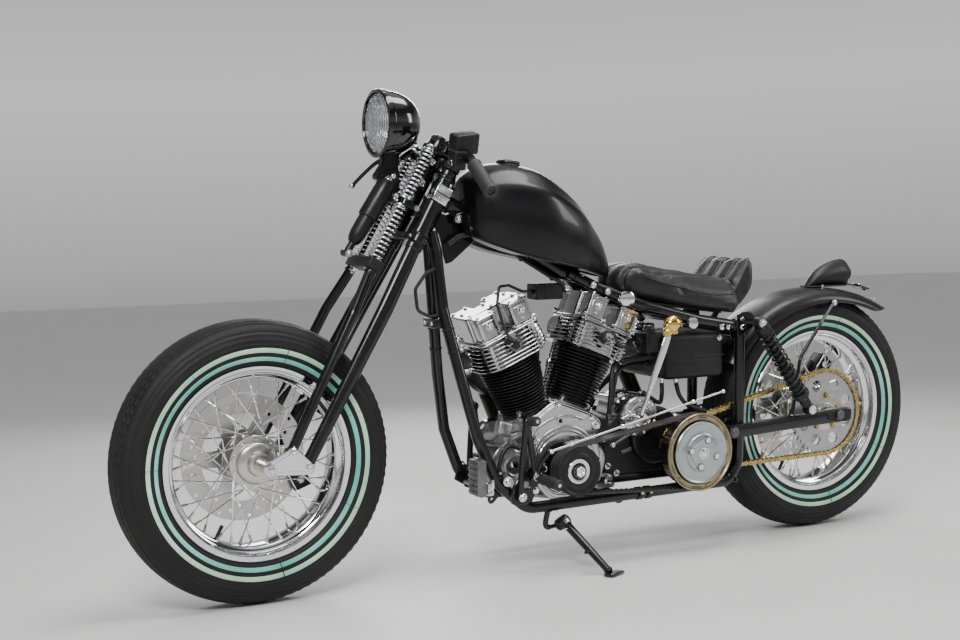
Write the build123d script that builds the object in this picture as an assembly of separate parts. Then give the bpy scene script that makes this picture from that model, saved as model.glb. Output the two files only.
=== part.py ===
from build123d import *
import os
from math import sin, cos, tan, atan2, radians, degrees, hypot, pi, acos

os.makedirs("parts", exist_ok=True)

# ----------------------------------------------------------------------------
# Long low springer-fork motorcycle leaning on its side stand.
# Modelled upright in the "bike frame": X forward, Y to the rider's left, Z up,
# X = 0 and Z = 0 where the rear tyre touches the ground.  At the end every
# piece is leaned about X onto the side stand and shifted so that the origin
# is the bottom centre of the whole machine's box.
# ----------------------------------------------------------------------------
WHEELBASE = 1580.0      # rear axle to front axle
TYRE_R = 319.0          # outer radius, both tyres
TYRE_W = 130.0          # section width
RIM_FLANGE_R = 218.0    # 16 inch rim, flange radius
RIM_W = 100.0           # rim outer width
LEAN = 3.5              # degrees, to the left, on the side stand
RAKE = 30.0             # degrees, steering axis from vertical
NECK_PT = (1141.0, 850.0)   # x, z of a point on the steering axis
TUBE_R = 14.0           # frame tube radius
LOOP_Y = 100.0          # half distance of the lower frame rails
CRANK = (820.0, 248.0)  # x, z of the crankshaft
V_HALF = 22.5           # half the cylinder angle
CLUTCH = (466.0, 263.0) # x, z of the clutch and gearbox main shaft
CHAIN_Y = 82.0          # chain line
SPROCKET_R = 111.3      # rear sprocket pitch radius, 44 teeth of 15.875
SPROCKET_F = 60.8       # gearbox sprocket pitch radius
STEER_RANGE = 28.0      # degrees each way
AXLE_R = 10.0
BORE_GAP = 0.05         # running clearance of bores on axles

FRONT = (WHEELBASE, 0.0, TYRE_R)
REAR = (0.0, 0.0, TYRE_R)

ca, sa = cos(radians(RAKE)), sin(radians(RAKE))


def fork(s, n, y):
    """A point in fork measures: s up the steering axis, n forward of it."""
    return (NECK_PT[0] - sa * s + ca * n, y, NECK_PT[1] + ca * s + sa * n)


def eng(d, y, w, side):
    """A point of a cylinder: d out from the crank, w across the fore-and-aft
    plane, side +1 for the front cylinder and -1 for the rear."""
    a = radians(V_HALF) * side
    return (CRANK[0] + d * sin(a) + w * cos(a), y, CRANK[1] + d * cos(a) - w * sin(a))


def rod(p, q, r, r2=None):
    """Round bar from p to q; with r2 a taper."""
    p, q = Vector(*p), Vector(*q)
    pl = Plane(origin=p, z_dir=(q - p))
    if r2 is None:
        return extrude(pl * Circle(r), (q - p).length)
    return loft([pl * Circle(r), Plane(origin=q, z_dir=(q - p)) * Circle(r2)])


def pipe(points, r, bend, section=None):
    """Round tube along straight runs joined by tangent arcs."""
    pts = [Vector(*p) for p in points]
    if len(pts) == 2:
        return rod(points[0], points[1], r)
    path = FilletPolyline(*pts, radius=bend)
    pl = Plane(origin=pts[0], z_dir=(pts[1] - pts[0]))
    return sweep(pl * (section or Circle(r)), path=path)


def turned(profile, centre=(0, 0, 0)):
    """Solid of revolution about the lateral axis through centre.
    profile: list of (radius, lateral) corners."""
    pts = [Vector(r, y, 0) for r, y in profile]
    f = make_face(Polyline(*pts, close=True))
    return Pos(*centre) * revolve(f, Axis.Y)


def drum(x, z, r, y0, y1, bore=0.0):
    """Disc with a lateral axis between two lateral planes."""
    s = Pos(x, (y0 + y1) / 2, z) * (Rot(90, 0, 0) * Cylinder(r, abs(y1 - y0)))
    if bore:
        s -= Pos(x, (y0 + y1) / 2, z) * (Rot(90, 0, 0) * Cylinder(bore, abs(y1 - y0) + 2))
    return s


def block(x0, x1, y0, y1, z0, z1):
    return Pos((x0 + x1) / 2, (y0 + y1) / 2, (z0 + z1) / 2) * Box(abs(x1 - x0), abs(y1 - y0), abs(z1 - z0))


def tilted_block(c, lx, ly, lz, pitch):
    """Box centred at c, turned about the lateral axis by pitch degrees
    (positive lifts its front end)."""
    return Pos(*c) * (Rot(0, -pitch, 0) * Box(lx, ly, lz))


def mirror_y(s):
    return mirror(s, about=Plane.XZ)


def fuse(*items):
    out = items[0]
    for i in items[1:]:
        out = out + i
    return out


def band(c1, r1, c2, r2):
    """Flat face bounded by two circles and their outer tangents (x, z)."""
    (x1, z1), (x2, z2) = c1, c2
    d = hypot(x2 - x1, z2 - z1)
    t = atan2(z2 - z1, x2 - x1)
    a = acos((r1 - r2) / d)
    P = lambda c, r, ang: Vector(c[0] + r * cos(ang), 0, c[1] + r * sin(ang))
    edges = [
        Line(P(c1, r1, t + a), P(c2, r2, t + a)),
        ThreePointArc(P(c2, r2, t + a), P(c2, r2, t), P(c2, r2, t - a)),
        Line(P(c2, r2, t - a), P(c1, r1, t - a)),
        ThreePointArc(P(c1, r1, t - a), P(c1, r1, t + pi), P(c1, r1, t + a)),
    ]
    return make_face(edges)


def between(face, y0, y1):
    """Extrude a face of the XZ plane from y0 to y1."""
    f = Pos(0, y0, 0) * face
    return extrude(f, amount=y1 - y0, dir=(0, 1, 0))


nodes = {}      # name -> shape in the bike frame
body_of = {}    # name -> body


def add(name, body, shape):
    nodes[name] = shape
    body_of[name] = body


# ---------------------------------------------------------------- wheels ----
# radius, lateral half width of the tyre's outer profile, bead to crown
TYRE_PROFILE = [(209.2, 45.8), (218.3, 45.8), (219, 50.4), (228, 54.5), (244, 61), (268, 65), (288, 62),
                (303, 53), (312, 40), (317, 22), (319, 0)]


def tyre():
    half = TYRE_PROFILE
    outer = half + [(r, -y) for r, y in reversed(half[:-1])]
    pts = [Vector(r, y, 0) for r, y in outer]
    inner = [(209.2, 38), (224, 44), (246, 52), (268, 56), (286, 53), (298, 44), (306, 22), (308, 0)]
    inn = inner + [(r, -y) for r, y in reversed(inner[:-1])]
    ring = Polyline(*pts, *[Vector(r, y, 0) for r, y in reversed(inn)], close=True)
    return revolve(make_face(ring), Axis.Y)


def rim():
    out = [(218, 50), (218, 46), (208.7, 46), (206.5, 30), (192, 22), (190, 0)]
    inn = [(186, 0), (188, 25), (202, 33), (204, 50)]
    a = out + [(r, -y) for r, y in reversed(out[:-1])]
    b = [(r, -y) for r, y in inn[::-1]] + inn[1:]
    return turned(a + b)


def spokes(hub_r, hub_y, rim_r, count=10):
    """Crossed wire spokes: four rows, each with its own lateral planes."""
    row = [  # lateral at hub, lateral at rim, direction, phase (degrees)
        (hub_y + 5.0, 15, +1, 0), (hub_y - 5.0, 6, -1, 9),
        (-hub_y - 5.0, -15, +1, 18), (-hub_y + 5.0, -6, -1, 27)]
    out = []
    for yh, yr, way, ph in row:
        for i in range(count):
            a = radians(ph + i * 360 / count)
            b = a + way * radians(58)
            out.append(rod((hub_r * cos(b), yh, hub_r * sin(b)), (rim_r * cos(a), yr, rim_r * sin(a)), 2.0))
    return out


def hub(y_left, y_right, flange_r, body_r, flange_y):
    bore = AXLE_R + BORE_GAP
    prof = [(bore, -y_right), (25, -y_right), (25, -flange_y - 12), (46, -flange_y - 10), (48, -flange_y - 3),
            (flange_r, -flange_y - 3), (flange_r, -flange_y + 3), (body_r, -flange_y + 9),
            (body_r, flange_y - 9), (flange_r, flange_y - 3), (flange_r, flange_y + 3), (48, flange_y + 3),
            (46, flange_y + 12), (25, flange_y + 14), (25, y_left), (bore, y_left)]
    return turned(prof)


def brake_disc(y, r, bore_r, holes):
    """Drilled disc; six large windows lighten its carrier."""
    d = drum(0, 0, r, y - 2.5, y + 2.5, bore_r)
    for k in range(6):
        a = radians(60 * k + 30)
        d -= drum(83 * cos(a), 83 * sin(a), 17, y - 4, y + 4)
    for k in range(holes):
        a = radians(360 / holes * (k + 0.5))
        rr = (112, 124, 136)[k % 3]
        d -= drum(rr * cos(a), rr * sin(a), 4.5, y - 4, y + 4)
    return d


HUB_FLANGE_Y = 26.0
for tag, centre, flange_r in (("front", FRONT, 61.0), ("rear", REAR, 61.0)):
    body = tag + "_wheel"
    place_at = Pos(*centre)
    add(tag + "_tyre", body, place_at * tyre())
    add(tag + "_rim", body, place_at * rim())
FRONT_DISC_Y = -60.0
REAR_DISC_Y = -66.0
# hub with its forty spokes: left end, right end, body radius
for tag, centre, yl, yr, br in (("front", FRONT, 58, 70, 30), ("rear", REAR, 94, 78, 34)):
    add(tag + "_hub_and_spokes", tag + "_wheel",
        Pos(*centre) * Compound([hub(yl, yr, 61, br, HUB_FLANGE_Y)] + spokes(54.0, HUB_FLANGE_Y, 184.4)))
add("front_brake_disc", "front_wheel", Pos(*FRONT) * brake_disc(FRONT_DISC_Y, 146, 25.0, 36))
add("rear_brake_disc", "rear_wheel", Pos(*REAR) * brake_disc(REAR_DISC_Y, 146, 25.0, 36))

SPROCKET_DISC_R = 104.0
sprocket = drum(0, 0, SPROCKET_DISC_R, CHAIN_Y - 3.5, CHAIN_Y + 3.5, 25.0)
for k in range(8):
    a = radians(22.5 + 45 * k)
    sprocket -= drum(77 * cos(a), 77 * sin(a), 15.5, CHAIN_Y - 5, CHAIN_Y + 5)
add("rear_sprocket", "rear_wheel", Pos(*REAR) * sprocket)

# ---------------------------------------------------------- springer fork ----
# Each leg: s, n, y of its points from the rocker up.
RIGID = [(-640.0, 33.0, 97.0), (-246.0, 25.0, 78.0), (-123.0, 25.0, 66.0), (112.0, 27.0, 52.0)]
SPRING = [(-628.0, 81.0, 99.0), (-290.0, 91.0, 80.0), (-178.0, 90.0, 52.0)]
SPRING_Y = 40.0
SPRING_N = 90.0


def rigid_leg(side):
    """Forged leg of oval section, wide fore and aft, lofted through its points."""
    pts = [Vector(*fork(s, n, side * y)) for s, n, y in RIGID]
    secs = []
    for i, (wide, thin) in enumerate(((15.0, 11.5), (19.5, 12.5), (19.0, 14.0), (17.0, 15.0))):
        a, b = pts[max(i - 1, 0)], pts[min(i + 1, len(pts) - 1)]
        pl = Plane(origin=pts[i], z_dir=(b - a), x_dir=(b - a).cross(Vector(0, 1, 0)))
        secs.append(pl * Ellipse(wide, thin))
    out = loft(secs, ruled=True)
    eye = drum(pts[0].X, pts[0].Z, 15.0, side * (abs(pts[0].Y) - 12), side * (abs(pts[0].Y) + 12))
    return out + eye


add("fork_rigid_legs", "steering", Compound([rigid_leg(1), rigid_leg(-1)]))


def spring_leg(side):
    pts = [fork(s, n, side * y) for s, n, y in SPRING]
    out = pipe(pts, 12.0, 60)
    out -= drum(pts[0][0], pts[0][2], 40.0, side * 110.2, side * 130)
    eye = drum(pts[0][0], pts[0][2], 13.5, side * (abs(pts[0][1]) - 11), side * (abs(pts[0][1]) + 11))
    return out + eye


perch = Pos(*fork(-166, SPRING_N, 0)) * (Rot(0, -RAKE, 0) * Box(34, 132, 26))
guides = [rod(fork(-160, SPRING_N, s * SPRING_Y), fork(139, SPRING_N, s * SPRING_Y), 6.0) for s in (1, -1)]
caps = [rod(fork(130, SPRING_N, s * SPRING_Y), fork(148, SPRING_N, s * SPRING_Y), 11.0) for s in (1, -1)]
nuts = [rod(fork(-196, SPRING_N, s * SPRING_Y), fork(-179, SPRING_N, s * SPRING_Y), 9.0) for s in (1, -1)]
add("fork_spring_legs", "steering", fuse(perch, spring_leg(1), spring_leg(-1), *guides, *caps, *nuts))


def spring_tube(s0, s1, side):
    a, b = fork(s0, SPRING_N, side * SPRING_Y), fork(s1, SPRING_N, side * SPRING_Y)
    return rod(a, b, 17.5) - rod(fork(s0 - 1, SPRING_N, side * SPRING_Y), fork(s1 + 1, SPRING_N, side * SPRING_Y), 11.5)


# lower and upper spring of each side: s from, s to
SPRING_SPANS = [(-152.5, -12.5), (3.5, 129.5)]
add("fork_springs", "steering",
    Compound([spring_tube(a, b, s) for a, b in SPRING_SPANS for s in (1, -1)]))

# stem and its clamps: lower crown, middle spring bridge, top clamp
STEM_R = 13.0
stem = rod(fork(-76, 0, 0), fork(124, 0, 0), STEM_R)


def leg_y(s):
    for (s0, n0, y0), (s1, n1, y1) in zip(RIGID, RIGID[1:]):
        if s0 <= s <= s1:
            return y0 + (y1 - y0) * (s - s0) / (s1 - s0)
    return RIGID[-1][2]


def crown(s, thick, r_stem, r_leg):
    """Flat plate from the stem to both legs: three circles and their tangents."""
    pl = Plane(origin=Vector(*fork(s - thick / 2, 0, 0)), x_dir=Vector(ca, 0, sa), z_dir=Vector(-sa, 0, ca))
    y, n = leg_y(s), RIGID[-1][1]
    disc = lambda x, yy, r: Pos(x, yy) * Circle(r)
    sk = disc(0, 0, r_stem) + disc(n, y, r_leg) + disc(n, -y, r_leg)
    t = atan2(y, n)
    for sg in (1, -1):
        d = Vector(-sin(t) * sg, cos(t), 0)
        a, b = Vector(0, 0, 0), Vector(n, y * sg, 0)
        sk += make_face(Polyline(a + d * r_stem, b + d * r_leg, b - d * r_leg, a - d * r_stem, close=True))
    sk += Pos(n, 0) * Rectangle(2 * r_leg, 2 * y)
    return extrude(pl * sk, thick)


lower_crown = crown(-66, 20, 24, 21)
top_crown = crown(104, 14, 22, 20)
bridge_pl = Plane(origin=Vector(*fork(-12, 0, 0)), x_dir=Vector(ca, 0, sa), z_dir=Vector(-sa, 0, ca))
bridge = extrude(bridge_pl * (Pos(62, 0) * RectangleRounded(78, 120, 14)), 15) - rod(fork(-60, 0, 0), fork(60, 0, 0), 33.0)
for s in (1, -1):
    bridge -= rod(fork(-50, SPRING_N, s * SPRING_Y), fork(50, SPRING_N, s * SPRING_Y), 6.6)
top_nut = rod(fork(111, 0, 0), fork(128, 0, 0), 20.0)
legs_cut = fuse(rigid_leg(1), rigid_leg(-1))
stem_all = fuse(stem, lower_crown, top_crown, top_nut, bridge) - legs_cut
add("fork_stem", "steering", stem_all)

# front damper: s, n, radius steps
damper = fuse(rod(fork(28, 128, 0), fork(-72, 134, 0), 24.0), rod(fork(-72, 134, 0), fork(-140, 138, 0), 20.0),
              rod(fork(-140, 138, 0), fork(-168, 140, 0), 9.0), rod(fork(28, 128, 0), fork(44, 127, 0), 11.0),
              drum(fork(-166, 140, 0)[0], fork(-166, 140, 0)[2], 9.0, -22, 22),
              drum(fork(42, 127, 0)[0], fork(42, 127, 0)[2], 10.0, -16, 16))
add("fork_damper", "steering", damper)

# rockers and axle: plate through the three pivots, on both sides
ROCKER = [(FRONT[0], FRONT[2], 15.0), (fork(-628, 81, 0)[0], fork(-628, 81, 0)[2], 14.0),
          (fork(-640, 33, 0)[0], fork(-640, 33, 0)[2], 14.0)]


def rocker(side):
    y0, y1 = 110.5, 121.5
    parts = []
    for (xa, za, raa), (xb, zb, rbb) in zip(ROCKER, ROCKER[1:]):
        parts.append(between(band((xb, zb), rbb, (xa, za), raa), y0, y1))
    for x, z, r in ROCKER[1:]:
        parts.append(drum(x, z, 8.0, y1, y1 + 9))
    s = fuse(*parts)
    return s if side > 0 else mirror_y(s)


front_axle = fuse(drum(FRONT[0], FRONT[2], AXLE_R, -136, 136), drum(FRONT[0], FRONT[2], 15.0, 60, 110.6),
                  drum(FRONT[0], FRONT[2], 15.0, -110.6, -72), drum(FRONT[0], FRONT[2], 14.0, 121.5, 131),
                  drum(FRONT[0], FRONT[2], 14.0, -131, -121.5))
add("fork_rockers", "steering", fuse(rocker(1), rocker(-1), front_axle))

# headlight: bucket, rim and lens, facing forward
HL_X, HL_Z, HL_R = 1262.0, 1070.0, 77.0
hl = [(0, -99), (22, -96), (44, -86), (61, -68), (72, -42), (77, -14), (79, -8), (79, 6), (72, 8), (70.2, 0),
      (68, -14), (56, -52), (38, -74), (0, -84)]
f = make_face(Polyline(*[Vector(0, r, x) for r, x in hl], close=True))
bucket = Pos(HL_X, 0, HL_Z) * (Rot(0, 90, 0) * revolve(f, Axis.Z))
add("headlight_bucket", "steering", bucket)
lens_prof = [(0, 17), (24, 15.5), (48, 10.5), (70.0, 2.5), (70.0, 0.2), (0, 0.2)]
f = make_face(Polyline(*[Vector(0, r, x) for r, x in lens_prof], close=True))
add("headlight_lens", "steering", Pos(HL_X, 0, HL_Z) * (Rot(0, 90, 0) * revolve(f, Axis.Z)))
# bracket from the spring bridge head up to the bucket
hl_bracket = fuse(Pos(*fork(96, 62, 0)) * (Rot(0, -RAKE, 0) * Box(30, 44, 96)),
                  rod(fork(120, 66, 0), (1196, 0, 1004), 14.0))

# handlebar: x, y, z of the left half, mirrored for the right
BAR_R = 12.7
BAR_LEFT = [(1106, 0, 1006), (1106, 106, 1006), (1118, 180, 984), (1131, 296, 914)]
bar_pts = [(x, -y, z) for x, y, z in reversed(BAR_LEFT[1:])] + BAR_LEFT[1:]
bar = pipe(bar_pts, BAR_R, 40)
clamps = [Pos(1104, s * 51, 1006) * (Rot(0, -RAKE, 0) * Box(44, 34, 40)) for s in (1, -1)]
GRIP_R = 17.0


def bar_at(t0, t1, side):
    """Two points on the last straight run of the bar, t from 0 to 1."""
    a, b = Vector(*BAR_LEFT[2]), Vector(*BAR_LEFT[3])
    p, q = a + (b - a) * t0, a + (b - a) * t1
    return (p.X, side * p.Y, p.Z), (q.X, side * q.Y, q.Z)


grips = []
for side in (1, -1):
    p, q = bar_at(0.16, 1.03, side)
    g = rod(p, q, GRIP_R)
    p2, q2 = bar_at(0.16 - 0.05, 1.0, side)
    grips.append(g)
add("handlebar_grips", "steering", Compound(grips))
bar_cut = bar - grips[0] - grips[1]
add("handlebar", "steering", fuse(bar_cut, *clamps, hl_bracket) - nodes["fork_stem"] - legs_cut
    - nodes["fork_springs"] - nodes["fork_spring_legs"] - nodes["headlight_bucket"])

# left switch housing and right brake master cylinder with its lever
sw = Pos(1118, 146, 1025) * (Rot(-14, 0, 0) * Box(58, 44, 48)) + Pos(1136, 148, 986) * (Rot(-14, 0, 0) * Box(32, 38, 44))
mc = Pos(1128, -150, 1016) * (Rot(14, 0, 0) * Box(60, 50, 44))
lever = pipe([(1152, -168, 1004), (1186, -192, 980), (1212, -272, 928)], 6.0, 18)
lever_ball = Pos(1212, -272, 928) * Sphere(9.0)
hand = Compound([fuse(sw) - bar - nodes["handlebar"], fuse(mc, lever, lever_ball) - bar - nodes["handlebar"]])
add("hand_controls", "steering", hand)

# front brake caliper behind the axle on the right, held by the rocker side
cal_x, cal_z = FRONT[0] - 124, FRONT[2] - 44
caliper = Pos(cal_x, FRONT_DISC_Y + 1, cal_z) * (Rot(0, 19, 0) * Box(44, 40, 82))
caliper -= drum(FRONT[0], FRONT[2], 152, FRONT_DISC_Y - 7.8, FRONT_DISC_Y + 7.8)
cal_arm = between(band((FRONT[0], FRONT[2]), 20.0, (cal_x + 4, cal_z), 14.0), -80, -73)
cal_arm -= drum(FRONT[0], FRONT[2], 15.0, -96, -70)
add("front_brake_caliper", "steering", fuse(caliper, cal_arm))

# ------------------------------------------------------------------ frame ----
neck = rod(fork(-52, 0, 0), fork(93, 0, 0), 27.0) - rod(fork(-58, 0, 0), fork(99, 0, 0), STEM_R + 0.08)
# left loop: x, y, z from the neck down, back and up again
LOOP = [(1138, 15, 822), (1127, 19, 776), (1114, 26, 640), (1086, 62, 480), (1056, 88, 336), (1010, LOOP_Y, 226),
        (930, LOOP_Y, 160), (330, LOOP_Y, 168), (303, LOOP_Y, 215), (300, LOOP_Y, 566)]
SEAT_RAIL = [(300, LOOP_Y, 566), (430, LOOP_Y, 588), (600, 92, 632), (700, 44, 676), (760, 16, 712)]
loop = pipe(LOOP, TUBE_R, 24)
rail = pipe(SEAT_RAIL, TUBE_R, 24)
corner = drum(LOOP[-1][0], LOOP[-1][2], 19.0, LOOP_Y - 14, LOOP_Y + 14)
left_loop = fuse(loop, rail, corner)
left_loop -= block(600, 1300, -60, 0.0, 500, 900)
bb_cut = rod(fork(-80, 0, 0), fork(99, 0, 0), 27.0)
left_loop -= bb_cut
backbone = pipe([fork(62, -14, 0), (1010, 0, 846), (780, 0, 716), (735, 0, 706)], 19.0, 60) - \
    rod(fork(-80, 0, 0), fork(99, 0, 0), 26.9)
gusset = between(make_face(Polyline(*[Vector(x, 0, z) for x, z in
                                      ((1125, 876), (1010, 832), (1000, 812), (1092, 742), (1106, 806), (1126, 836))],
                                close=True)), -5, 5) - rod(fork(-80, 0, 0), fork(99, 0, 0), 26.9)
left_loop = left_loop - backbone
left_loop = max(left_loop.solids(), key=lambda v: v.volume)
right_loop = mirror_y(left_loop)
add("frame_left_loop", "chassis", left_loop)
add("frame_right_loop", "chassis", right_loop)
# cross members: x, z, radius
CROSS = [(1000, 208, 12.0), (660, 158, 14.0), (345, 172, 14.0), (310, 548, 12.0), (470, 596, 11.0)]
cross = []
for x, z, r in CROSS:
    c = drum(x, z, r, -LOOP_Y, LOOP_Y) - left_loop - right_loop
    cross.append(c)
add("frame_backbone", "chassis", fuse(neck, backbone, gusset))
add("frame_crossmembers", "chassis", Compound([s for c in cross for s in c.solids() if s.volume > 2000]))

# --------------------------------------------------- rear end of the frame ----
ARM_Y = (116.0, 140.0)     # swingarm side, inner and outer
PIVOT = (345.0, 300.0)


def arm(side):
    f = make_face(Polyline(*[Vector(x, 0, z) for x, z in
                             ((PIVOT[0] + 16, PIVOT[1] - 20), (PIVOT[0] + 16, PIVOT[1] + 16), (-44, TYRE_R + 18),
                              (-44, TYRE_R - 20), (10, TYRE_R - 22))], close=True))
    s = between(f, ARM_Y[0], ARM_Y[1])
    return s if side > 0 else mirror_y(s)


pivot_tube = drum(PIVOT[0], PIVOT[1], 17.0, -ARM_Y[0], ARM_Y[0]) - left_loop - right_loop
pivot_tube = Compound([s for s in pivot_tube.solids() if s.volume > 3000])
rear_axle = fuse(drum(0, TYRE_R, AXLE_R, -150, 150), drum(0, TYRE_R, 16.0, 95.5, ARM_Y[0]),
                 drum(0, TYRE_R, 16.0, -ARM_Y[0], -80))
add("swingarm", "chassis", fuse(arm(1), arm(-1), pivot_tube, rear_axle))

SHOCK_TOP, SHOCK_BOT, SHOCK_Y = (283.0, 578.0), (117.0, 345.0), 158.0


def shock(side):
    y = side * SHOCK_Y
    t, b = (SHOCK_TOP[0], y, SHOCK_TOP[1]), (SHOCK_BOT[0], y, SHOCK_BOT[1])
    P = lambda k: tuple(t[i] + (b[i] - t[i]) * k for i in range(3))
    return fuse(rod(P(0.03), P(0.42), 24.0), rod(P(0.42), P(0.86), 22.0), rod(P(0.86), P(0.96), 14.0),
                drum(t[0], t[2], 14.0, side * (SHOCK_Y - 12), side * (SHOCK_Y + 12)),
                drum(b[0], b[2], 14.0, side * (SHOCK_Y - 12), side * (SHOCK_Y + 12)),
                drum(t[0], t[2], 7.0, side * 118, side * (SHOCK_Y + 20)),
                drum(b[0], b[2], 7.0, side * (ARM_Y[1] + 0.0), side * (SHOCK_Y + 20)))


shock_plates = [between(make_face(Polyline(*[Vector(x, 0, z) for x, z in
                                             ((288, 606), (266, 590), (270, 562), (322, 540), (322, 598))], close=True)),
                        s * 114.0, s * 119.0) for s in (1, -1)]
add("rear_shocks", "chassis", Compound([fuse(shock(1), shock_plates[0]), fuse(shock(-1), shock_plates[1])]))

# rear fender: crowned strip on two tangent arcs: centre x, z, radius, from, to
FENDER_HALF = 82.0
FENDER_C, FENDER_R, FENDER_R2, FENDER_JOIN = (-19.0, 204.0), 445.0, 320.0, 61.6
FENDER = [(FENDER_C[0], FENDER_C[1], FENDER_R, FENDER_JOIN, 120.5),
          (FENDER_C[0] + (FENDER_R - FENDER_R2) * cos(radians(FENDER_JOIN)),
           FENDER_C[1] + (FENDER_R - FENDER_R2) * sin(radians(FENDER_JOIN)), FENDER_R2, 30.0, FENDER_JOIN)]
FENDER_T = 2.4
fender = None
for cx, cz, R, a0, a1 in FENDER:
    drop = 27.0
    rr = (FENDER_HALF ** 2 + drop ** 2) / (2 * drop)
    def arc_pts(r, dd, hw):
        return Vector(r - dd, -hw, 0), Vector(r, 0, 0), Vector(r - dd, hw, 0)
    o = arc_pts(R, drop, FENDER_HALF)
    i = arc_pts(R - FENDER_T, drop, FENDER_HALF - FENDER_T)
    lip = 9.0
    oL, oR = Vector(o[0].X - lip, -FENDER_HALF, 0), Vector(o[2].X - lip, FENDER_HALF, 0)
    iL, iR = Vector(o[0].X - lip, -FENDER_HALF + FENDER_T, 0), Vector(o[2].X - lip, FENDER_HALF - FENDER_T, 0)
    wire = [Line(oL, o[0]), ThreePointArc(*o), Line(o[2], oR), Line(oR, iR), Line(iR, i[2]),
            ThreePointArc(i[2], i[1], i[0]), Line(i[0], iL), Line(iL, oL)]
    sec = make_face(wire)
    seg = revolve(sec, Axis.Y, -(a1 - a0))
    seg = Rot(0, -a0, 0) * seg
    seg = Pos(cx, 0, cz) * seg
    fender = seg if fender is None else fender + seg
# strut each side: from the fender edge down to the swingarm
strut_pts = [(-26, 84, 612), (40, 108, 560), (124, 128, 476), (150, 129, 322)]
struts = []
for s in (1, -1):
    p = pipe([(x, s * y, z) for x, y, z in strut_pts], 5.0, 40)
    tab = drum(-26, 612, 10.0, s * 82.2, s * 90)
    struts.append((p + tab) - fender - nodes["swingarm"])
add("rear_fender", "chassis", Compound(list(fender.solids()) + [max(c.solids(), key=lambda v: v.volume) for c in struts]))

# tail light on the fender crown: half outline x, z, lofted by half widths
tl = between(make_face(Polyline(*[Vector(x, 0, z) for x, z in
                                  ((6, 648), (-26, 684), (-70, 712), (-118, 722), (-146, 706), (-150, 676), (-138, 640))],
                                close=True)), -26, 26)
tl = fillet(tl.edges().filter_by(Axis.Y, reverse=True), 8.0) - fender
tl = max(tl.solids(), key=lambda v: v.volume)
plate_arm = fuse(block(-214, -150, -30, 30, 655, 660), block(-160, -148, -16, 16, 630, 660))
plate_arm = plate_arm - fender - tl - drum(-19, 204, 442.5, -80, 80)
PLATE_HOLES = [(-190.0, -18.0), (-190.0, 18.0)]     # x, y of the plate screws
for x, y in PLATE_HOLES:
    plate_arm -= Pos(x, y, 657.5) * Cylinder(3.5, 20)
add("tail_light", "chassis", Compound([tl, max(plate_arm.solids(), key=lambda v: v.volume)]))

# ------------------------------------------------------------ tank and seat ----
# x, half width, bottom z, top z, share of the width at the flat bottom and at the top
TANK = [(1056, 50, 812, 940, .72, .60), (1030, 86, 800, 962, .78, .56), (960, 116, 772, 982, .84, .50),
        (860, 120, 748, 966, .84, .46), (760, 98, 726, 900, .82, .44), (690, 60, 706, 818, .78, .46),
        (650, 26, 698, 738, .72, .60)]


def tank_section(x, w, zb, zt, kb, kt):
    h = zt - zb
    b, t = w * kb, w * kt
    zs = zt - h * 0.17
    e = [Line((x, -b, zb), (x, b, zb)),
         ThreePointArc((x, b, zb), (x, w, zb + 0.42 * h), (x, t + (w - t) * 0.42, zs)),
         ThreePointArc((x, t + (w - t) * 0.42, zs), (x, 0, zt), (x, -(t + (w - t) * 0.42), zs)),
         ThreePointArc((x, -(t + (w - t) * 0.42), zs), (x, -w, zb + 0.42 * h), (x, -b, zb))]
    return make_face(e)


tank = loft([tank_section(*row) for row in TANK])
tunnel = pipe([(1100, 0, 838), (1010, 0, 820), (780, 0, 708), (600, 0, 660)], 30.0, 60)
tank = tank - tunnel
tank = max(tank.solids(), key=lambda v: v.volume) - rod(fork(-90, 0, 0), fork(150, 0, 0), 31.0)
tank = tank - backbone
cap = rod((922, 0, 972), (924, 0, 990), 29.0)
add("fuel_tank", "chassis", tank + cap)

# seat: x, half width, bottom z, top z
SEAT = [(646, 38, 672, 692), (626, 64, 660, 724), (600, 76, 653, 727), (560, 92, 645, 719), (470, 106, 625, 701),
        (390, 112, 613, 688), (330, 112, 604, 682)]


def seat_section(x, w, zb, zt):
    h = zt - zb
    return make_face([Line((x, -w * .86, zb), (x, w * .86, zb)),
                      ThreePointArc((x, w * .86, zb), (x, w, zb + .5 * h), (x, w * .80, zt)),
                      Line((x, w * .80, zt), (x, -w * .80, zt)),
                      ThreePointArc((x, -w * .80, zt), (x, -w, zb + .5 * h), (x, -w * .86, zb))])


seat_pan = loft([seat_section(*row) for row in SEAT], ruled=True)
# raised back: z, x front, x rear, half width
BACK = [(604, 331, 318, 108), (638, 331, 286, 109), (673, 316, 254, 109), (700, 294, 252, 105), (724, 274, 250, 98), (738, 262, 248, 84)]


def back_section(z, xf, xr, w):
    return Pos(0, 0, z) * make_face(Polyline((xr, -w, 0), (xf, -w, 0), (xf, w, 0), (xr, w, 0), close=True))


seat_back = loft([back_section(*row) for row in BACK], ruled=True)
seat = seat_pan + seat_back
seat = seat - left_loop - right_loop - nodes["frame_crossmembers"] - nodes["fuel_tank"] - backbone
add("seat", "chassis", max(seat.solids(), key=lambda v: v.volume))

# oil tank between the rear cylinder and the seat posts
oil = block(352, 532, -108, 108, 440, 556)
oil = fillet(oil.edges().filter_by(Axis.Y), 16)
oil = oil - left_loop - right_loop - nodes["frame_crossmembers"]
add("oil_tank", "chassis", max(oil.solids(), key=lambda v: v.volume))

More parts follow.
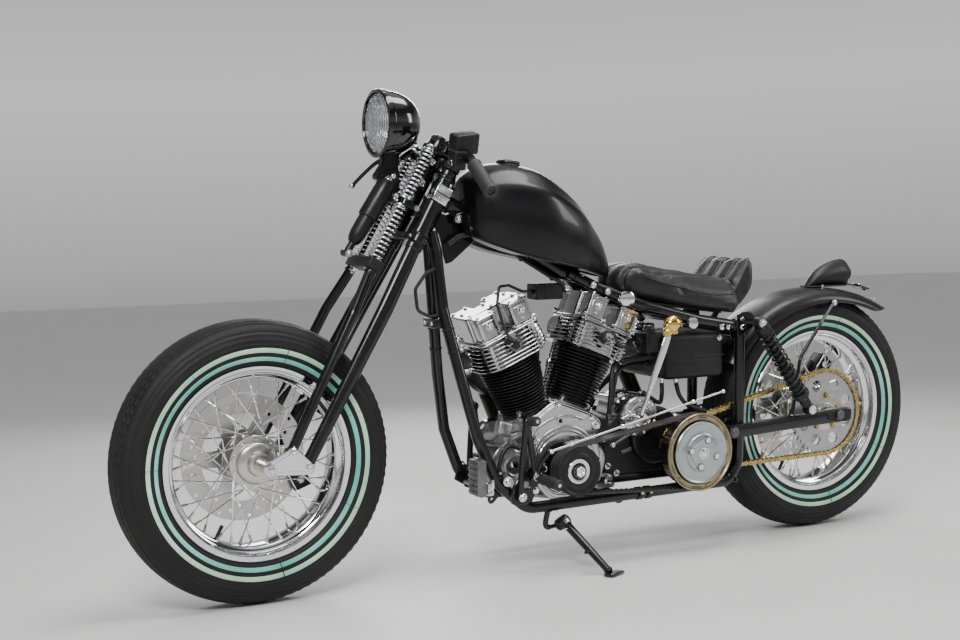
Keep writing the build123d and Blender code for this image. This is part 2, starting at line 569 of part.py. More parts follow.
# ----------------------------------------------------------------- engine ----
BARREL = (150.0, 288.0)   # distance from the crank: base, head joint
HEAD = (288.0, 356.0)
ROCKER_TOP = 430.0
for tag, side in (("front", 1), ("rear", -1)):
    p, q = eng(BARREL[0], 0, 0, side), eng(BARREL[1], 0, 0, side)
    barrel = rod(p, q, 56.0, 78.0)
    nodes[tag + "_cylinder"] = barrel
    a = V_HALF * side
    hp = eng((HEAD[0] + HEAD[1]) / 2, 0, 0, side)
    head = Pos(*hp) * (Rot(0, a, 0) * extrude(RectangleRounded(188, 168, 60), (HEAD[1] - HEAD[0]) / 2, both=True))
    bp_ = eng((HEAD[1] + ROCKER_TOP) / 2 - 2, 0, 0, side)
    h2 = ROCKER_TOP - HEAD[1]
    box = Pos(*bp_) * (Rot(0, a, 0) * Box(160, 62, h2 - 4))
    lugs = [Pos(*eng((HEAD[1] + ROCKER_TOP) / 2 - 4, s * 48, -46 if s > 0 else 46, side)) * (Rot(0, a, 0) * Box(58, 50, h2 - 8))
            for s in (1, -1)]
    lugs2 = [Pos(*eng((HEAD[1] + ROCKER_TOP) / 2 - 4, s * 48, 46 if s > 0 else -46, side)) * (Rot(0, a, 0) * Box(58, 50, h2 - 8))
             for s in (1, -1)]
    nodes[tag + "_cylinder_head"] = fuse(head, box, *lugs, *lugs2)
# the two heads must not run into the tank, frame or each other
other = fuse(nodes["frame_backbone"], nodes["fuel_tank"], left_loop, right_loop)
for tag in ("front", "rear"):
    h = nodes[tag + "_cylinder_head"] - other
    nodes[tag + "_cylinder_head"] = max(h.solids(), key=lambda v: v.volume)

case = drum(CRANK[0], CRANK[1] + 14, 100.0, -78, 78)
case += block(CRANK[0] - 118, CRANK[0] + 140, -62, 62, CRANK[1] - 66, CRANK[1] + 60)
case += fuse(*[rod(eng(80, 0, 0, s), eng(BARREL[0] - 0.02, 0, 0, s), 72.0, 70.0) for s in (1, -1)])
case += drum(CRANK[0] + 4, CRANK[1] + 38, 100.0, 78, 98)          # left outer cover
case += drum(CRANK[0], CRANK[1], 26.0, 98, 108)
gear_cover = between(band((CRANK[0] - 10, CRANK[1] + 20), 84, (CRANK[0] + 110, CRANK[1] + 60), 46), -104, -78)
case += gear_cover
case -= left_loop
case -= right_loop
case -= nodes["frame_crossmembers"]
case -= fuse(nodes["front_cylinder"], nodes["rear_cylinder"])
add("engine_crankcase", "chassis", max(case.solids(), key=lambda v: v.volume))

# pushrod tubes on the right: front pair and rear pair
push = []
for side, offs in ((1, (-34, -12)), (-1, (34, 12))):
    for o in offs:
        b = eng(128, -92, o * 0.55, side)
        t = eng(HEAD[1] - 4, -88, o * 1.15, side)
        push.append(rod(b, t, 9.0))
solid_mass = fuse(nodes["front_cylinder"], nodes["rear_cylinder"], nodes["engine_crankcase"],
                  nodes["front_cylinder_head"], nodes["rear_cylinder_head"])
push = [max((p - solid_mass).solids(), key=lambda v: v.volume) for p in push]
for k in ("cylinder", "cylinder_head"):
    pair = [nodes.pop("front_" + k), nodes.pop("rear_" + k)]
    add(k + "s", "chassis", Compound([x for p in pair for x in p.solids()]))
add("pushrod_covers", "chassis", Compound(push))

# carburettor and round air cleaner on the right, between the heads
air = fuse(drum(820, 545, 62.0, -150, -112), rod((820, -112, 545), (820, -40, 545), 26.0))
air = air - solid_mass - nodes["pushrod_covers"]
add("air_cleaner", "chassis", max(air.solids(), key=lambda v: v.volume))

# exhaust pipes on the right: x, y, z of the runs
EXH_R = 22.0
EXHAUST = [
    [eng(322, -20, 92, 1), (1016, -66, 478), (914, -140, 424), (862, -166, 330), (846, -166, 200), (700, -166, 182), (120, -166, 196)],
    [eng(322, -30, -92, -1), (560, -110, 560), (500, -160, 480), (420, -172, 330), (300, -172, 252), (60, -172, 262)],
]
ex = []
for pts in EXHAUST:
    ex.append(pipe(pts, EXH_R, 40))
exh = []
for e in ex:
    e = e - solid_mass - right_loop - nodes["swingarm"] - nodes["rear_shocks"] - nodes["oil_tank"]
    exh.append(max(e.solids(), key=lambda v: v.volume))
add("exhaust_pipes", "chassis", Compound(exh))

# gearbox behind the crankcase
gb = fuse(block(500, 688, -70, 62, 196, 360), drum(CLUTCH[0] + 74, 300, 74.0, -82, 78), drum(590, 352, 52, -40, 84),
          drum(CLUTCH[0], CLUTCH[1], 46.0, -60, 70), drum(CLUTCH[0], CLUTCH[1], 16.0, 70, 112))
gb = gb - left_loop - right_loop - nodes["frame_crossmembers"] - nodes["engine_crankcase"] - nodes["swingarm"]
gb = gb - nodes["cylinders"] - nodes["oil_tank"]
add("gearbox", "chassis", max(gb.solids(), key=lambda v: v.volume))

# primary drive: pulley, belt, clutch drum
PULLEY_R, DRUM_R, BELT_T = 52.0, 90.0, 6.0
BELT_Y = (117.0, 153.0)
belt = between(band(CLUTCH, DRUM_R + BELT_T, CRANK, PULLEY_R + BELT_T) -
               band(CLUTCH, DRUM_R + 0.3, CRANK, PULLEY_R + 0.3), BELT_Y[0], BELT_Y[1])
add("primary_belt", "chassis", belt)
add("engine_pulley", "chassis", fuse(drum(CRANK[0], CRANK[1], PULLEY_R, BELT_Y[0] - 3, BELT_Y[1] + 1),
                                     drum(CRANK[0], CRANK[1], 61.0, BELT_Y[1] + 1, BELT_Y[1] + 5),
                                     drum(CRANK[0], CRANK[1], 21.0, BELT_Y[1] + 5, BELT_Y[1] + 14),
                                     drum(CRANK[0], CRANK[1], 20.0, 108, BELT_Y[0] - 3)))
add("clutch_drum", "chassis", fuse(drum(CLUTCH[0], CLUTCH[1], DRUM_R, BELT_Y[0] - 2, BELT_Y[1] + 1),
                                   drum(CLUTCH[0], CLUTCH[1], 98.0, BELT_Y[1] + 1, BELT_Y[1] + 9),
                                   drum(CLUTCH[0], CLUTCH[1], 80.0, BELT_Y[1] + 9, BELT_Y[1] + 14),
                                   drum(CLUTCH[0], CLUTCH[1], 42.0, BELT_Y[1] + 14, BELT_Y[1] + 24)))

# final chain: fixed loop from the gearbox sprocket to the rear sprocket
chain = between(band((0, TYRE_R), SPROCKET_R + 7, CLUTCH, SPROCKET_F + 7) -
                band((0, TYRE_R), SPROCKET_R - 5, CLUTCH, SPROCKET_F - 5), CHAIN_Y - 10, CHAIN_Y + 10)
front_sprocket = drum(CLUTCH[0], CLUTCH[1], SPROCKET_F - 5.2, CHAIN_Y - 4, CHAIN_Y + 4, 16.2)
chain = chain - left_loop - nodes["gearbox"]
add("drive_chain", "chassis", chain)
nodes["gearbox"] = nodes["gearbox"] + front_sprocket

# foot controls: pedal arms and pegs, left and right
def foot(side):
    y = 128.0
    mount = fuse(rod((962, 100, 196), (962, y + 8, 196), 9.0), rod((925, y, 242), (925, y + 26, 246), 10.0))
    plate = between(make_face(Polyline(*[Vector(x, 0, z) for x, z in
                                         ((985, 176), (985, 214), (940, 262), (912, 262), (905, 236), (930, 176))],
                                       close=True)), 115, 124)
    armp = pipe([(925, 132, 244), (948, 134, 372)], 8.0, 10)
    arm2 = pipe([(965, 130, 200), (952, 134, 372)], 8.0, 10)
    peg = rod((944, 130, 376), (940, 168, 379), 12.0)
    peg2 = rod((925, 132, 240), (908, 214, 232), 13.0)
    s = fuse(plate, mount, armp, arm2, peg, peg2)
    s = s - left_loop if side > 0 else s - mirror_y(right_loop)
    s = max(s.solids(), key=lambda v: v.volume)
    return s if side > 0 else mirror_y(s)


right_foot = foot(-1) - nodes["exhaust_pipes"]
clutch_rod = rod((910, 176, 307), (408, 178, 415), 3.0)
add("foot_controls", "chassis", Compound([foot(1), max(right_foot.solids(), key=lambda v: v.volume), clutch_rod]))
sl = pipe([(600, 96, 352), (636, 148, 370), (562, 156, 560)], 7.0, 16)
knob = Pos(553, 157, 586) * (Rot(0, 90, 0) * Sphere(27.0))
lever = sl - nodes["gearbox"] - nodes["frame_left_loop"] - knob
add("shift_lever", "chassis", max(lever.solids(), key=lambda v: v.volume))
add("shift_knob", "chassis", knob)
add("regulator", "chassis", block(1056, 1090, 92, 152, 204, 298) - left_loop)
rc = Pos(-96, REAR_DISC_Y - 10, TYRE_R + 96) * (Rot(0, 45, 0) * Box(84, 46, 46))
rc -= drum(0, TYRE_R, 152, REAR_DISC_Y - 7.8, REAR_DISC_Y + 7.8)
rc_arm = between(band((0, TYRE_R), 22.0, (-84, TYRE_R + 84), 16.0), -96, -88)
rc_arm -= drum(0, TYRE_R, 16.0, -100, -80)
add("rear_brake_caliper", "chassis", fuse(rc, rc_arm) - nodes["rear_shocks"] - nodes["swingarm"])

# two ignition coils: between the cylinder heads, and in front of the oil tank
coil_front = block(782, 858, -28, 28, 650, 690)
coil_rear = block(532, 576, 32, 84, 508, 560)
add("ignition_coils", "chassis", Compound([fillet(coil_front.edges().filter_by(Axis.X), 8),
                                           coil_rear - nodes["oil_tank"] - left_loop]))
# plug leads, 7 mm: plug cap to coil
LEAD_R = 3.5
LEADS = [[(968, 86, 566), (990, 96, 600), (1004, 90, 650), (985, 66, 690), (940, 30, 690), (890, 10, 672), (858.2, 8, 672)],
         [(706, 86, 566), (690, 100, 584), (676, 106, 536), (620, 104, 526), (600, 60, 536), (576.2, 60, 536)]]
lead_mass = fuse(*[x for x in nodes["cylinder_heads"].solids()], *[x for x in nodes["cylinders"].solids()])
leads = []
for pts in LEADS:
    w = pipe(pts, LEAD_R, 16) - lead_mass
    leads.append(max(w.solids(), key=lambda v: v.volume))
add("plug_leads", "chassis", Compound(leads))
# wiring loop in front of the left downtube, and the clamp block between the tubes
loop_w = pipe([(1126, 24, 738), (1160, 33, 726), (1190, 36, 690), (1184, 35, 640), (1152, 31, 624), (1112, 26, 628)], 4.0, 18)
loop_w = loop_w - left_loop
add("wiring_loop", "chassis", max(loop_w.solids(), key=lambda v: v.volume))
front_clamp = block(1096, 1138, -34, 34, 594, 618) - left_loop - right_loop - nodes["wiring_loop"]
front_clamp = max(front_clamp.solids(), key=lambda v: v.volume)
nodes["frame_crossmembers"] = Compound(list(nodes["frame_crossmembers"].solids()) + [front_clamp])
# front brake hose, 8 mm: caliper, up behind the right rigid leg, to the master cylinder
HOSE = [(1466, -73, 302), (1448, -76, 356), fork(-480, 0, -94), fork(-250, -2, -86), fork(-130, -3, -78),
        fork(60, -6, -74), (1122, -122, 946), (1146, -150, 972), (1146, -150, 1000)]
hose = pipe(HOSE, 4.0, 22)
hose = hose - nodes["hand_controls"] - nodes["front_brake_caliper"] - nodes["fork_rigid_legs"]
add("front_brake_hose", "steering", max(hose.solids(), key=lambda v: v.volume))

# ------------------------------------------------------------- placement ----
lean = Rot(-LEAN, 0, 0)
world = {k: lean * v for k, v in nodes.items()}
GROUND = min(world[t].bounding_box().min.Z for t in ("front_tyre", "rear_tyre"))


def to_world(p):
    """Bike frame point to leaned frame, before the shift."""
    c, s = cos(radians(LEAN)), sin(radians(LEAN))
    return (p[0], p[1] * c + p[2] * s, -p[1] * s + p[2] * c)


# side stand: pivot under the left rail; the leg reaches the ground, out to the left
STAND_PIVOT = to_world((836.0, 114.0, 120.0))
STAND_FOOT = (796.0, 252.0, GROUND)
FOLDED = to_world((-0.98, 0.10, -0.02))        # where the folded leg points
PRELOAD = 28.0                                # degrees, tips the axis so the load closes the stop
p0 = Vector(*STAND_PIVOT)
d1 = (Vector(*STAND_FOOT) + Vector(0, 0, 9) - p0).normalized()
d2 = Vector(*FOLDED).normalized()
nrm = d1.cross(d2).normalized()
bis = (d1 + d2).normalized()
STAND_AXIS = (nrm * cos(radians(PRELOAD)) + bis * sin(radians(PRELOAD))).normalized()
foot_c = Vector(*STAND_FOOT)
leg_end = foot_c + Vector(0, 0, 9)
leg = rod(tuple(p0), tuple(leg_end), 11.0, 8.5)
knuckle = rod(tuple(p0 - STAND_AXIS * 11), tuple(p0 + STAND_AXIS * 11), 16.0)
pad = Pos(foot_c.X - 8, foot_c.Y + 10, GROUND + 4) * (Rot(0, 0, 28) * Box(58, 30, 8))
stand = fuse(leg, knuckle, pad)
low = GROUND
stand = stand - (Pos(foot_c.X, foot_c.Y, low - 20) * Box(400, 400, 40))
stand = stand - rod(tuple(p0 - STAND_AXIS * 30), tuple(p0 + STAND_AXIS * 30), 6.0 + BORE_GAP)
stand = max(stand.solids(), key=lambda v: v.volume)
# pin and bracket: a lug under the knuckle, an arm forward, and up to the rail
pin = rod(tuple(p0 - STAND_AXIS * 20), tuple(p0 + STAND_AXIS * 14), 6.0)
lug = rod(tuple(p0 - STAND_AXIS * 20), tuple(p0 - STAND_AXIS * 11.4), 15.0)
knee = p0 - STAND_AXIS * 15.7 + Vector(38, 0, 0)
arm_a = rod(tuple(p0 - STAND_AXIS * 15.7), tuple(knee), 4.2) + Pos(knee.X, knee.Y, knee.Z) * Sphere(8.0)
rail_pt = Vector(*to_world((838.0 + 36, 102.0, 152.0)))
arm_b = rod(tuple(knee), tuple(rail_pt), 8.0)
bracket = fuse(pin, lug, arm_a, arm_b) - world["frame_left_loop"]
world["frame_crossmembers"] = Compound(list(world["frame_crossmembers"].solids())
                                       + [max(bracket.solids(), key=lambda v: v.volume)])
world["side_stand"] = stand
body_of["side_stand"] = "side_stand"

boxes = [s.bounding_box() for s in world.values()]
X0, X1 = min(b.min.X for b in boxes), max(b.max.X for b in boxes)
Y0, Y1 = min(b.min.Y for b in boxes), max(b.max.Y for b in boxes)
Z0 = min(b.min.Z for b in boxes)
SHIFT = (-(X0 + X1) / 2, -(Y0 + Y1) / 2, -Z0)
placed = {k: Pos(*SHIFT) * v for k, v in world.items()}


def at(p):
    """Bike frame point to the finished model's frame."""
    w = to_world(p)
    return tuple(w[i] + SHIFT[i] for i in range(3))


STEER_AXIS = to_world((-sa, 0.0, ca))
WHEEL_AXIS = to_world((0.0, 1.0, 0.0))
STAND_PIVOT_AT = tuple(STAND_PIVOT[i] + SHIFT[i] for i in range(3))

for name, shape in placed.items():
    export_step(shape, f"parts/{name}.step")
print(len(placed), "nodes; shift", [round(v, 3) for v in SHIFT])
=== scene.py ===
import bpy
import bmesh
import random
import numpy as np
from math import sin, cos, tan, pi, radians, degrees, atan2, hypot, sqrt, acos
from mathutils import Matrix, Vector, noise


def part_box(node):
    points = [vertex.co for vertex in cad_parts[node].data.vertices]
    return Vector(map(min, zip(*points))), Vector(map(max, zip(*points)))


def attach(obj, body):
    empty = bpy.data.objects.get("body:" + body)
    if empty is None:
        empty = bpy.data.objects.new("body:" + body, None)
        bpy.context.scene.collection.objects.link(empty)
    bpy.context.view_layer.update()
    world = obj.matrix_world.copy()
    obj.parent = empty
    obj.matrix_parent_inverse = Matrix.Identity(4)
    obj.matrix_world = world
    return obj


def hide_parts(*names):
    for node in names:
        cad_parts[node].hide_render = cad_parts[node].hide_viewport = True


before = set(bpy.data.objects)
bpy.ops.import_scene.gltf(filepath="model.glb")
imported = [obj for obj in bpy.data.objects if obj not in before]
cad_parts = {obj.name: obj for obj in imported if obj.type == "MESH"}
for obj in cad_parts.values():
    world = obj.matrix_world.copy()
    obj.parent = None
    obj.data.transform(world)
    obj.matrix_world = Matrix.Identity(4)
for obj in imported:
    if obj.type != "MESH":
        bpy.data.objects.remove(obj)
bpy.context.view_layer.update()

random.seed(7)

# ---------------------------------------------------------------------------
# Measures.  Everything is built upright in the "bike frame" (mm, X forward,
# Y to the rider's left, Z up, zero where the rear tyre stands), and each
# object's matrix leans it onto its side stand and shifts it into the row frame.
# ---------------------------------------------------------------------------
LEAN = radians(3.5)
_lo, _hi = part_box("rear_tyre")
_mid = (Vector(_lo) + Vector(_hi)) * 500
SHIFT = Vector((_mid.x, _mid.y - 319 * sin(LEAN), _mid.z - 319 * cos(LEAN)))
B2R = Matrix.Translation(SHIFT / 1000) @ Matrix.Rotation(-LEAN, 4, "X")
FRONT, REAR = Vector((1580, 0, 319)), Vector((0, 0, 319))
CA, SA = cos(radians(30)), sin(radians(30))
CRANK, CLUTCH = Vector((820, 0, 248)), Vector((466, 0, 263))


def fork(s, n, y):
    return Vector((1141 - SA * s + CA * n, y, 850 + CA * s + SA * n))


FORK_UP, FORK_FWD = Vector((-SA, 0, CA)), Vector((CA, 0, SA))


def eng(d, y, w, side):
    a = radians(22.5) * side
    return Vector((820 + d * sin(a) + w * cos(a), y, 248 + d * cos(a) - w * sin(a)))


def eng_axes(side):
    a = radians(22.5) * side
    return Vector((sin(a), 0, cos(a))), Vector((cos(a), 0, -sin(a)))   # out, across


X, Y, Z = Vector((1, 0, 0)), Vector((0, 1, 0)), Vector((0, 0, 1))

# ---------------------------------------------------------------------------
# Mesh builders: each gives (vertices, faces) in bike-frame millimetres
# ---------------------------------------------------------------------------


def basis(d):
    d = Vector(d).normalized()
    a = Z if abs(d.z) < 0.92 else X
    u = d.cross(a).normalized()
    return u, d.cross(u).normalized(), d


def lathe(prof, p0=(0, 0, 0), d=(0, 1, 0), seg=40, ring=False, frame_=None, sq=None):
    """Surface of revolution; prof is [(radius, along)]. ring closes the profile on itself."""
    u, v, w = frame_ or basis(d)
    p0 = Vector(p0)
    verts, rows = [], []
    for r, h in prof:
        if abs(r) < 1e-6:
            rows.append([len(verts)])
            verts.append(p0 + w * h)
        else:
            rows.append(list(range(len(verts), len(verts) + seg)))
            for k in range(seg):
                a = 2 * pi * k / seg
                q = 1.0 if sq is None else sq(a)
                verts.append(p0 + (u * cos(a) + v * sin(a)) * r * q + w * h)
    faces = []
    pairs = list(zip(rows, rows[1:]))
    if ring:
        pairs.append((rows[-1], rows[0]))
    for a, b in pairs:
        if len(a) == 1 and len(b) == 1:
            continue
        for k in range(seg):
            k2 = (k + 1) % seg
            if len(a) == 1:
                faces.append((a[0], b[k2], b[k]))
            elif len(b) == 1:
                faces.append((a[k], a[k2], b[0]))
            else:
                faces.append((a[k], a[k2], b[k2], b[k]))
    return verts, faces


def smooth(pts, n=6, closed=False):
    """Points on a Catmull-Rom curve through pts."""
    P = [Vector(p) for p in pts]
    out = []
    m = len(P)
    for i in range(m if closed else m - 1):
        p0 = P[(i - 1) % m] if (closed or i > 0) else P[0] * 2 - P[1]
        p1, p2 = P[i], P[(i + 1) % m]
        p3 = P[(i + 2) % m] if (closed or i + 2 < m) else P[-1] * 2 - P[-2]
        for k in range(n):
            t = k / n
            out.append(0.5 * ((2 * p1) + (p2 - p0) * t + (2 * p0 - 5 * p1 + 4 * p2 - p3) * t * t
                              + (3 * p1 - p0 - 3 * p2 + p3) * t ** 3))
    if not closed:
        out.append(P[-1])
    return out


def rounded(pts, radius, n=6):
    """Straight runs of a rigid tube joined by tangent bends."""
    P = [Vector(p) for p in pts]
    out = [P[0]]
    for a, b, c in zip(P, P[1:], P[2:]):
        d1, d2 = (a - b), (c - b)
        l1, l2 = d1.length, d2.length
        d1.normalize(); d2.normalize()
        ang = d1.angle(d2)
        if pi - ang < 0.02:
            out.append(b)
            continue
        t = min(radius / tan(ang / 2), l1 * 0.49, l2 * 0.49)
        s, e = b + d1 * t, b + d2 * t
        for k in range(n + 1):
            q = k / n
            out.append(s * (1 - q) ** 2 + b * 2 * q * (1 - q) + e * q * q)
    out.append(P[-1])
    return out


def tube(pts, r, seg=12, closed=False, caps=True, flat=1.0, side=None):
    """Tube along pts; r is one radius or one a point; flat squeezes one axis."""
    P = [Vector(p) for p in pts]
    m = len(P)
    R = r if isinstance(r, (list, tuple)) else [r] * m
    T = []
    for i in range(m):
        a = P[(i - 1) % m] if (closed or i > 0) else P[i]
        b = P[(i + 1) % m] if (closed or i + 1 < m) else P[i]
        T.append((b - a).normalized())
    u = (side or (Z if abs(T[0].z) < 0.9 else X)).cross(T[0]).normalized()
    verts, faces = [], []
    U = []
    for i in range(m):
        if i:
            q = T[i - 1].rotation_difference(T[i])
            u = (q @ u)
            u = (u - T[i] * u.dot(T[i])).normalized()
        U.append(u.copy())
    twist = 0.0
    if closed:
        q = T[-1].rotation_difference(T[0])
        e = q @ U[-1]
        twist = atan2(e.cross(U[0]).dot(T[0]), e.dot(U[0]))
    for i in range(m):
        uu = U[i]
        if closed and abs(twist) > 1e-6:
            uu = Matrix.Rotation(twist * i / m, 3, T[i]) @ uu
        vv = T[i].cross(uu)
        for k in range(seg):
            a = 2 * pi * k / seg
            verts.append(P[i] + (uu * cos(a) * flat + vv * sin(a)) * R[i])
    for i in range(m if closed else m - 1):
        j = (i + 1) % m
        for k in range(seg):
            k2 = (k + 1) % seg
            faces.append((i * seg + k, i * seg + k2, j * seg + k2, j * seg + k))
    if caps and not closed:
        faces.append(tuple(reversed(range(seg))))
        faces.append(tuple(range((m - 1) * seg, m * seg)))
    return verts, faces


def bar(p, q, r, r2=None, seg=16, ch=None):
    """Round bar with small chamfers at both ends."""
    p, q = Vector(p), Vector(q)
    L = (q - p).length
    r2 = r if r2 is None else r2
    c = min(r, r2) * 0.18 if ch is None else ch
    return lathe([(0, 0), (r - c, 0), (r, c), (r2, L - c), (r2 - c, L), (0, L)], p, q - p, seg)


def _from_bm(bm, M=None):
    bm.verts.ensure_lookup_table()
    for i, v in enumerate(bm.verts):
        v.index = i
    verts = [(M @ v.co if M else v.co.copy()) for v in bm.verts]
    faces = [tuple(v.index for v in f.verts) for f in bm.faces]
    bm.free()
    return verts, faces


def axes(x=X, y=Y, z=Z, at=(0, 0, 0)):
    M = Matrix((Vector(x).normalized(), Vector(y).normalized(), Vector(z).normalized())).transposed().to_4x4()
    return Matrix.Translation(Vector(at)) @ M


def box(c, size, M=None, b=2.0, seg=2, taper=None):
    """Bevelled box; M gives its axes; taper scales its top (x, y)."""
    bm = bmesh.new()
    bmesh.ops.create_cube(bm, size=1)
    for v in bm.verts:
        v.co = Vector((v.co.x * size[0], v.co.y * size[1], v.co.z * size[2]))
        if taper and v.co.z > 0:
            v.co.x *= taper[0]
            v.co.y *= taper[1]
    if b:
        bmesh.ops.bevel(bm, geom=bm.edges[:], offset=b, segments=seg, profile=0.5, affect="EDGES")
    M = Matrix.Translation(Vector(c)) @ (M.to_3x3().to_4x4() if M else Matrix())
    return _from_bm(bm, M)


def offset_loop(pts, d):
    """Closed 2-D outline moved inwards by d (outline counter-clockwise)."""
    n = len(pts)
    out = []
    for i in range(n):
        a, b, c = Vector(pts[i - 1]), Vector(pts[i]), Vector(pts[(i + 1) % n])
        e1, e2 = (b - a).normalized(), (c - b).normalized()
        n1, n2 = Vector((-e1.y, e1.x)), Vector((-e2.y, e2.x))
        m = n1 + n2
        if m.length < 1e-6:
            m = n1
        m.normalize()
        k = max(0.35, m.dot(n1))
        out.append(b + m * (d / k))
    return out


def ccw(pts):
    a = sum(p[0] * q[1] - q[0] * p[1] for p, q in zip(pts, list(pts[1:]) + [pts[0]]))
    return [Vector(p) for p in (pts if a > 0 else list(reversed(pts)))]


def circle2(cx, cy, r, n=24, a0=0.0):
    return [Vector((cx + r * cos(a0 + 2 * pi * k / n), cy + r * sin(a0 + 2 * pi * k / n))) for k in range(n)]


def plate(loops, h0, h1, M, b=1.0):
    """Flat plate with holes. loops: outer outline, then holes (2-D, mm). M maps (x, y, h) to space."""
    outer, holes = ccw(loops[0]), [list(reversed(ccw(h))) for h in loops[1:]]
    all_ = [outer] + holes
    rings = [(h0, b), (h0 + b, 0.0), (h1 - b, 0.0), (h1, b)] if b > 0 else [(h0, 0.0), (h1, 0.0)]
    verts, faces, idx = [], [], []
    for lp in all_:
        rr = []
        for h, o in rings:
            pts = offset_loop(lp, o) if o else lp
            rr.append(list(range(len(verts), len(verts) + len(pts))))
            verts.extend(Vector((p.x, p.y, h)) for p in pts)
        idx.append(rr)
        n = len(lp)
        for a, c in zip(rr, rr[1:]):
            for k in range(n):
                k2 = (k + 1) % n
                faces.append((a[k], a[k2], c[k2], c[k]))
    for which, flip in ((0, True), (-1, False)):
        bm = bmesh.new()
        es, back = [], []
        for rr in idx:
            vs = [bm.verts.new(verts[i]) for i in rr[which]]
            back += rr[which]
            for k in range(len(vs)):
                es.append(bm.edges.new((vs[k], vs[(k + 1) % len(vs)])))
        bm.verts.index_update()
        bmesh.ops.triangle_fill(bm, edges=es, use_beauty=True, use_dissolve=False)
        bm.verts.ensure_lookup_table()
        for f in bm.faces:
            q = [back[v.index] for v in f.verts]
            nz = (verts[q[1]] - verts[q[0]]).cross(verts[q[2]] - verts[q[0]]).z
            want = -1 if flip else 1
            faces.append(tuple(q if nz * want > 0 else reversed(q)))
        bm.free()
    return [M @ v for v in verts], faces


XZ = Matrix(((1, 0, 0, 0), (0, 0, 1, 0), (0, 1, 0, 0), (0, 0, 0, 1)))   # (x, z, h) -> x, y=h, z


def xz(loops, y0, y1, b=1.0):
    """Plate lying in the X-Z plane from y0 to y1."""
    v, f = plate(loops, min(y0, y1), max(y0, y1), XZ, b)
    return v, [tuple(reversed(q)) for q in f]


def loft(secs, caps=True, closed_u=True):
    """Skin through closed sections with the same number of points."""
    n = len(secs[0])
    verts = [Vector(p) for s in secs for p in s]
    faces = []
    for i in range(len(secs) - 1):
        for k in range(n):
            k2 = (k + 1) % n
            faces.append((i * n + k, i * n + k2, (i + 1) * n + k2, (i + 1) * n + k))
    if caps:
        faces.append(tuple(reversed(range(n))))
        faces.append(tuple(range((len(secs) - 1) * n, len(secs) * n)))
    return verts, faces


def helix(p, q, R, r, turns, seg=8, per=26, flat_ends=0.75):
    """Coil spring from p to q, its end turns closed up."""
    p, q = Vector(p), Vector(q)
    u, v, w = basis(q - p)
    L = (q - p).length
    pts = []
    N = int(turns * per)
    for i in range(N + 1):
        t = i / N
        k = t * turns
        e = flat_ends
        if k < e:
            h = r + (k / e) * r * 1.1
        elif k > turns - e:
            h = L - r - ((turns - k) / e) * r * 1.1
        else:
            h = r * 2.1 + (L - 4.2 * r) * (k - e) / (turns - 2 * e)
        a = 2 * pi * k
        pts.append(p + (u * cos(a) + v * sin(a)) * R + w * h)
    return tube(pts, r, seg)


def join(*items):
    V, F = [], []
    for v, f in items:
        o = len(V)
        V.extend(v)
        F.extend(tuple(i + o for i in q) for q in f)
    return V, F


def moved(vf, M):
    return [M @ Vector(v) for v in vf[0]], vf[1]


def flipped(vf):
    return vf[0], [tuple(reversed(q)) for q in vf[1]]


def mirrored(vf):
    return [Vector((v[0], -v[1], v[2])) for v in vf[0]], [tuple(reversed(q)) for q in vf[1]]


def hexbolt(p, d, r=6.0, h=5.0, washer=True, turn=0.0):
    """Hex head with its chamfer, on a washer."""
    u, v, w = basis(d)
    c, s = cos(turn), sin(turn)
    fr = (u * c + v * s, v * c - u * s, w)
    hexr = lambda a: 1.0 / max(cos(((a + pi / 6) % (pi / 3)) - pi / 6), 0.86) * 0.93
    out = []
    z0 = 0.0
    if washer:
        out.append(lathe([(0, 0), (r * 1.32, 0), (r * 1.36, .5), (r * 1.32, 1.3), (0, 1.3)], p, d, 20, frame_=fr))
        z0 = 1.2
    out.append(lathe([(0, z0), (r, z0), (r, z0 + h * .82), (r * .9, z0 + h), (0, z0 + h)], p, d, 24, frame_=fr, sq=hexr))
    return join(*out)


def capbolt(p, d, r=5.0, h=6.0):
    """Socket-head cap screw."""
    return lathe([(0, 0), (r, 0), (r, h * .86), (r * .93, h), (r * .55, h), (r * .5, h * .45), (0, h * .42)], p, d, 18)


def acorn(p, d, r=8.0, h=14.0):
    """Domed nut on its hexagon and washer."""
    hexr = lambda a: 1.0 / max(cos(((a + pi / 6) % (pi / 3)) - pi / 6), 0.86) * 0.95
    dome = [(r * .86 * cos(t), h * .52 + (h * .48) * sin(t)) for t in [k * pi / 12 for k in range(6)]]
    return join(lathe([(0, 0), (r * 1.3, 0), (r * 1.33, .6), (r * 1.3, 1.5), (0, 1.5)], p, d, 22),
                lathe([(0, 1.4), (r, 1.4), (r, h * .42), (r * .93, h * .5), (0, h * .5)], p, d, 24, sq=hexr),
                lathe([(0, h * .4)] + dome + [(0, h)], p, d, 20))


def stud(p, d, r=3.0, L=10.0, pitch=1.2):
    """Threaded end."""
    n = max(3, int(L / pitch))
    prof = [(0, 0)]
    for i in range(n):
        prof += [(r * .84, i * pitch), (r, i * pitch + pitch * .5)]
    prof += [(r * .8, n * pitch), (0, n * pitch)]
    return lathe(prof, p, d, 14)


def uvball(c, r, seg=24, rings=14, scale=(1, 1, 1)):
    V, F = lathe([(r * sin(pi * k / rings), -r * cos(pi * k / rings)) for k in range(rings + 1)], (0, 0, 0), Z, seg)
    return [Vector((v.x * scale[0], v.y * scale[1], v.z * scale[2])) + Vector(c) for v in V], F


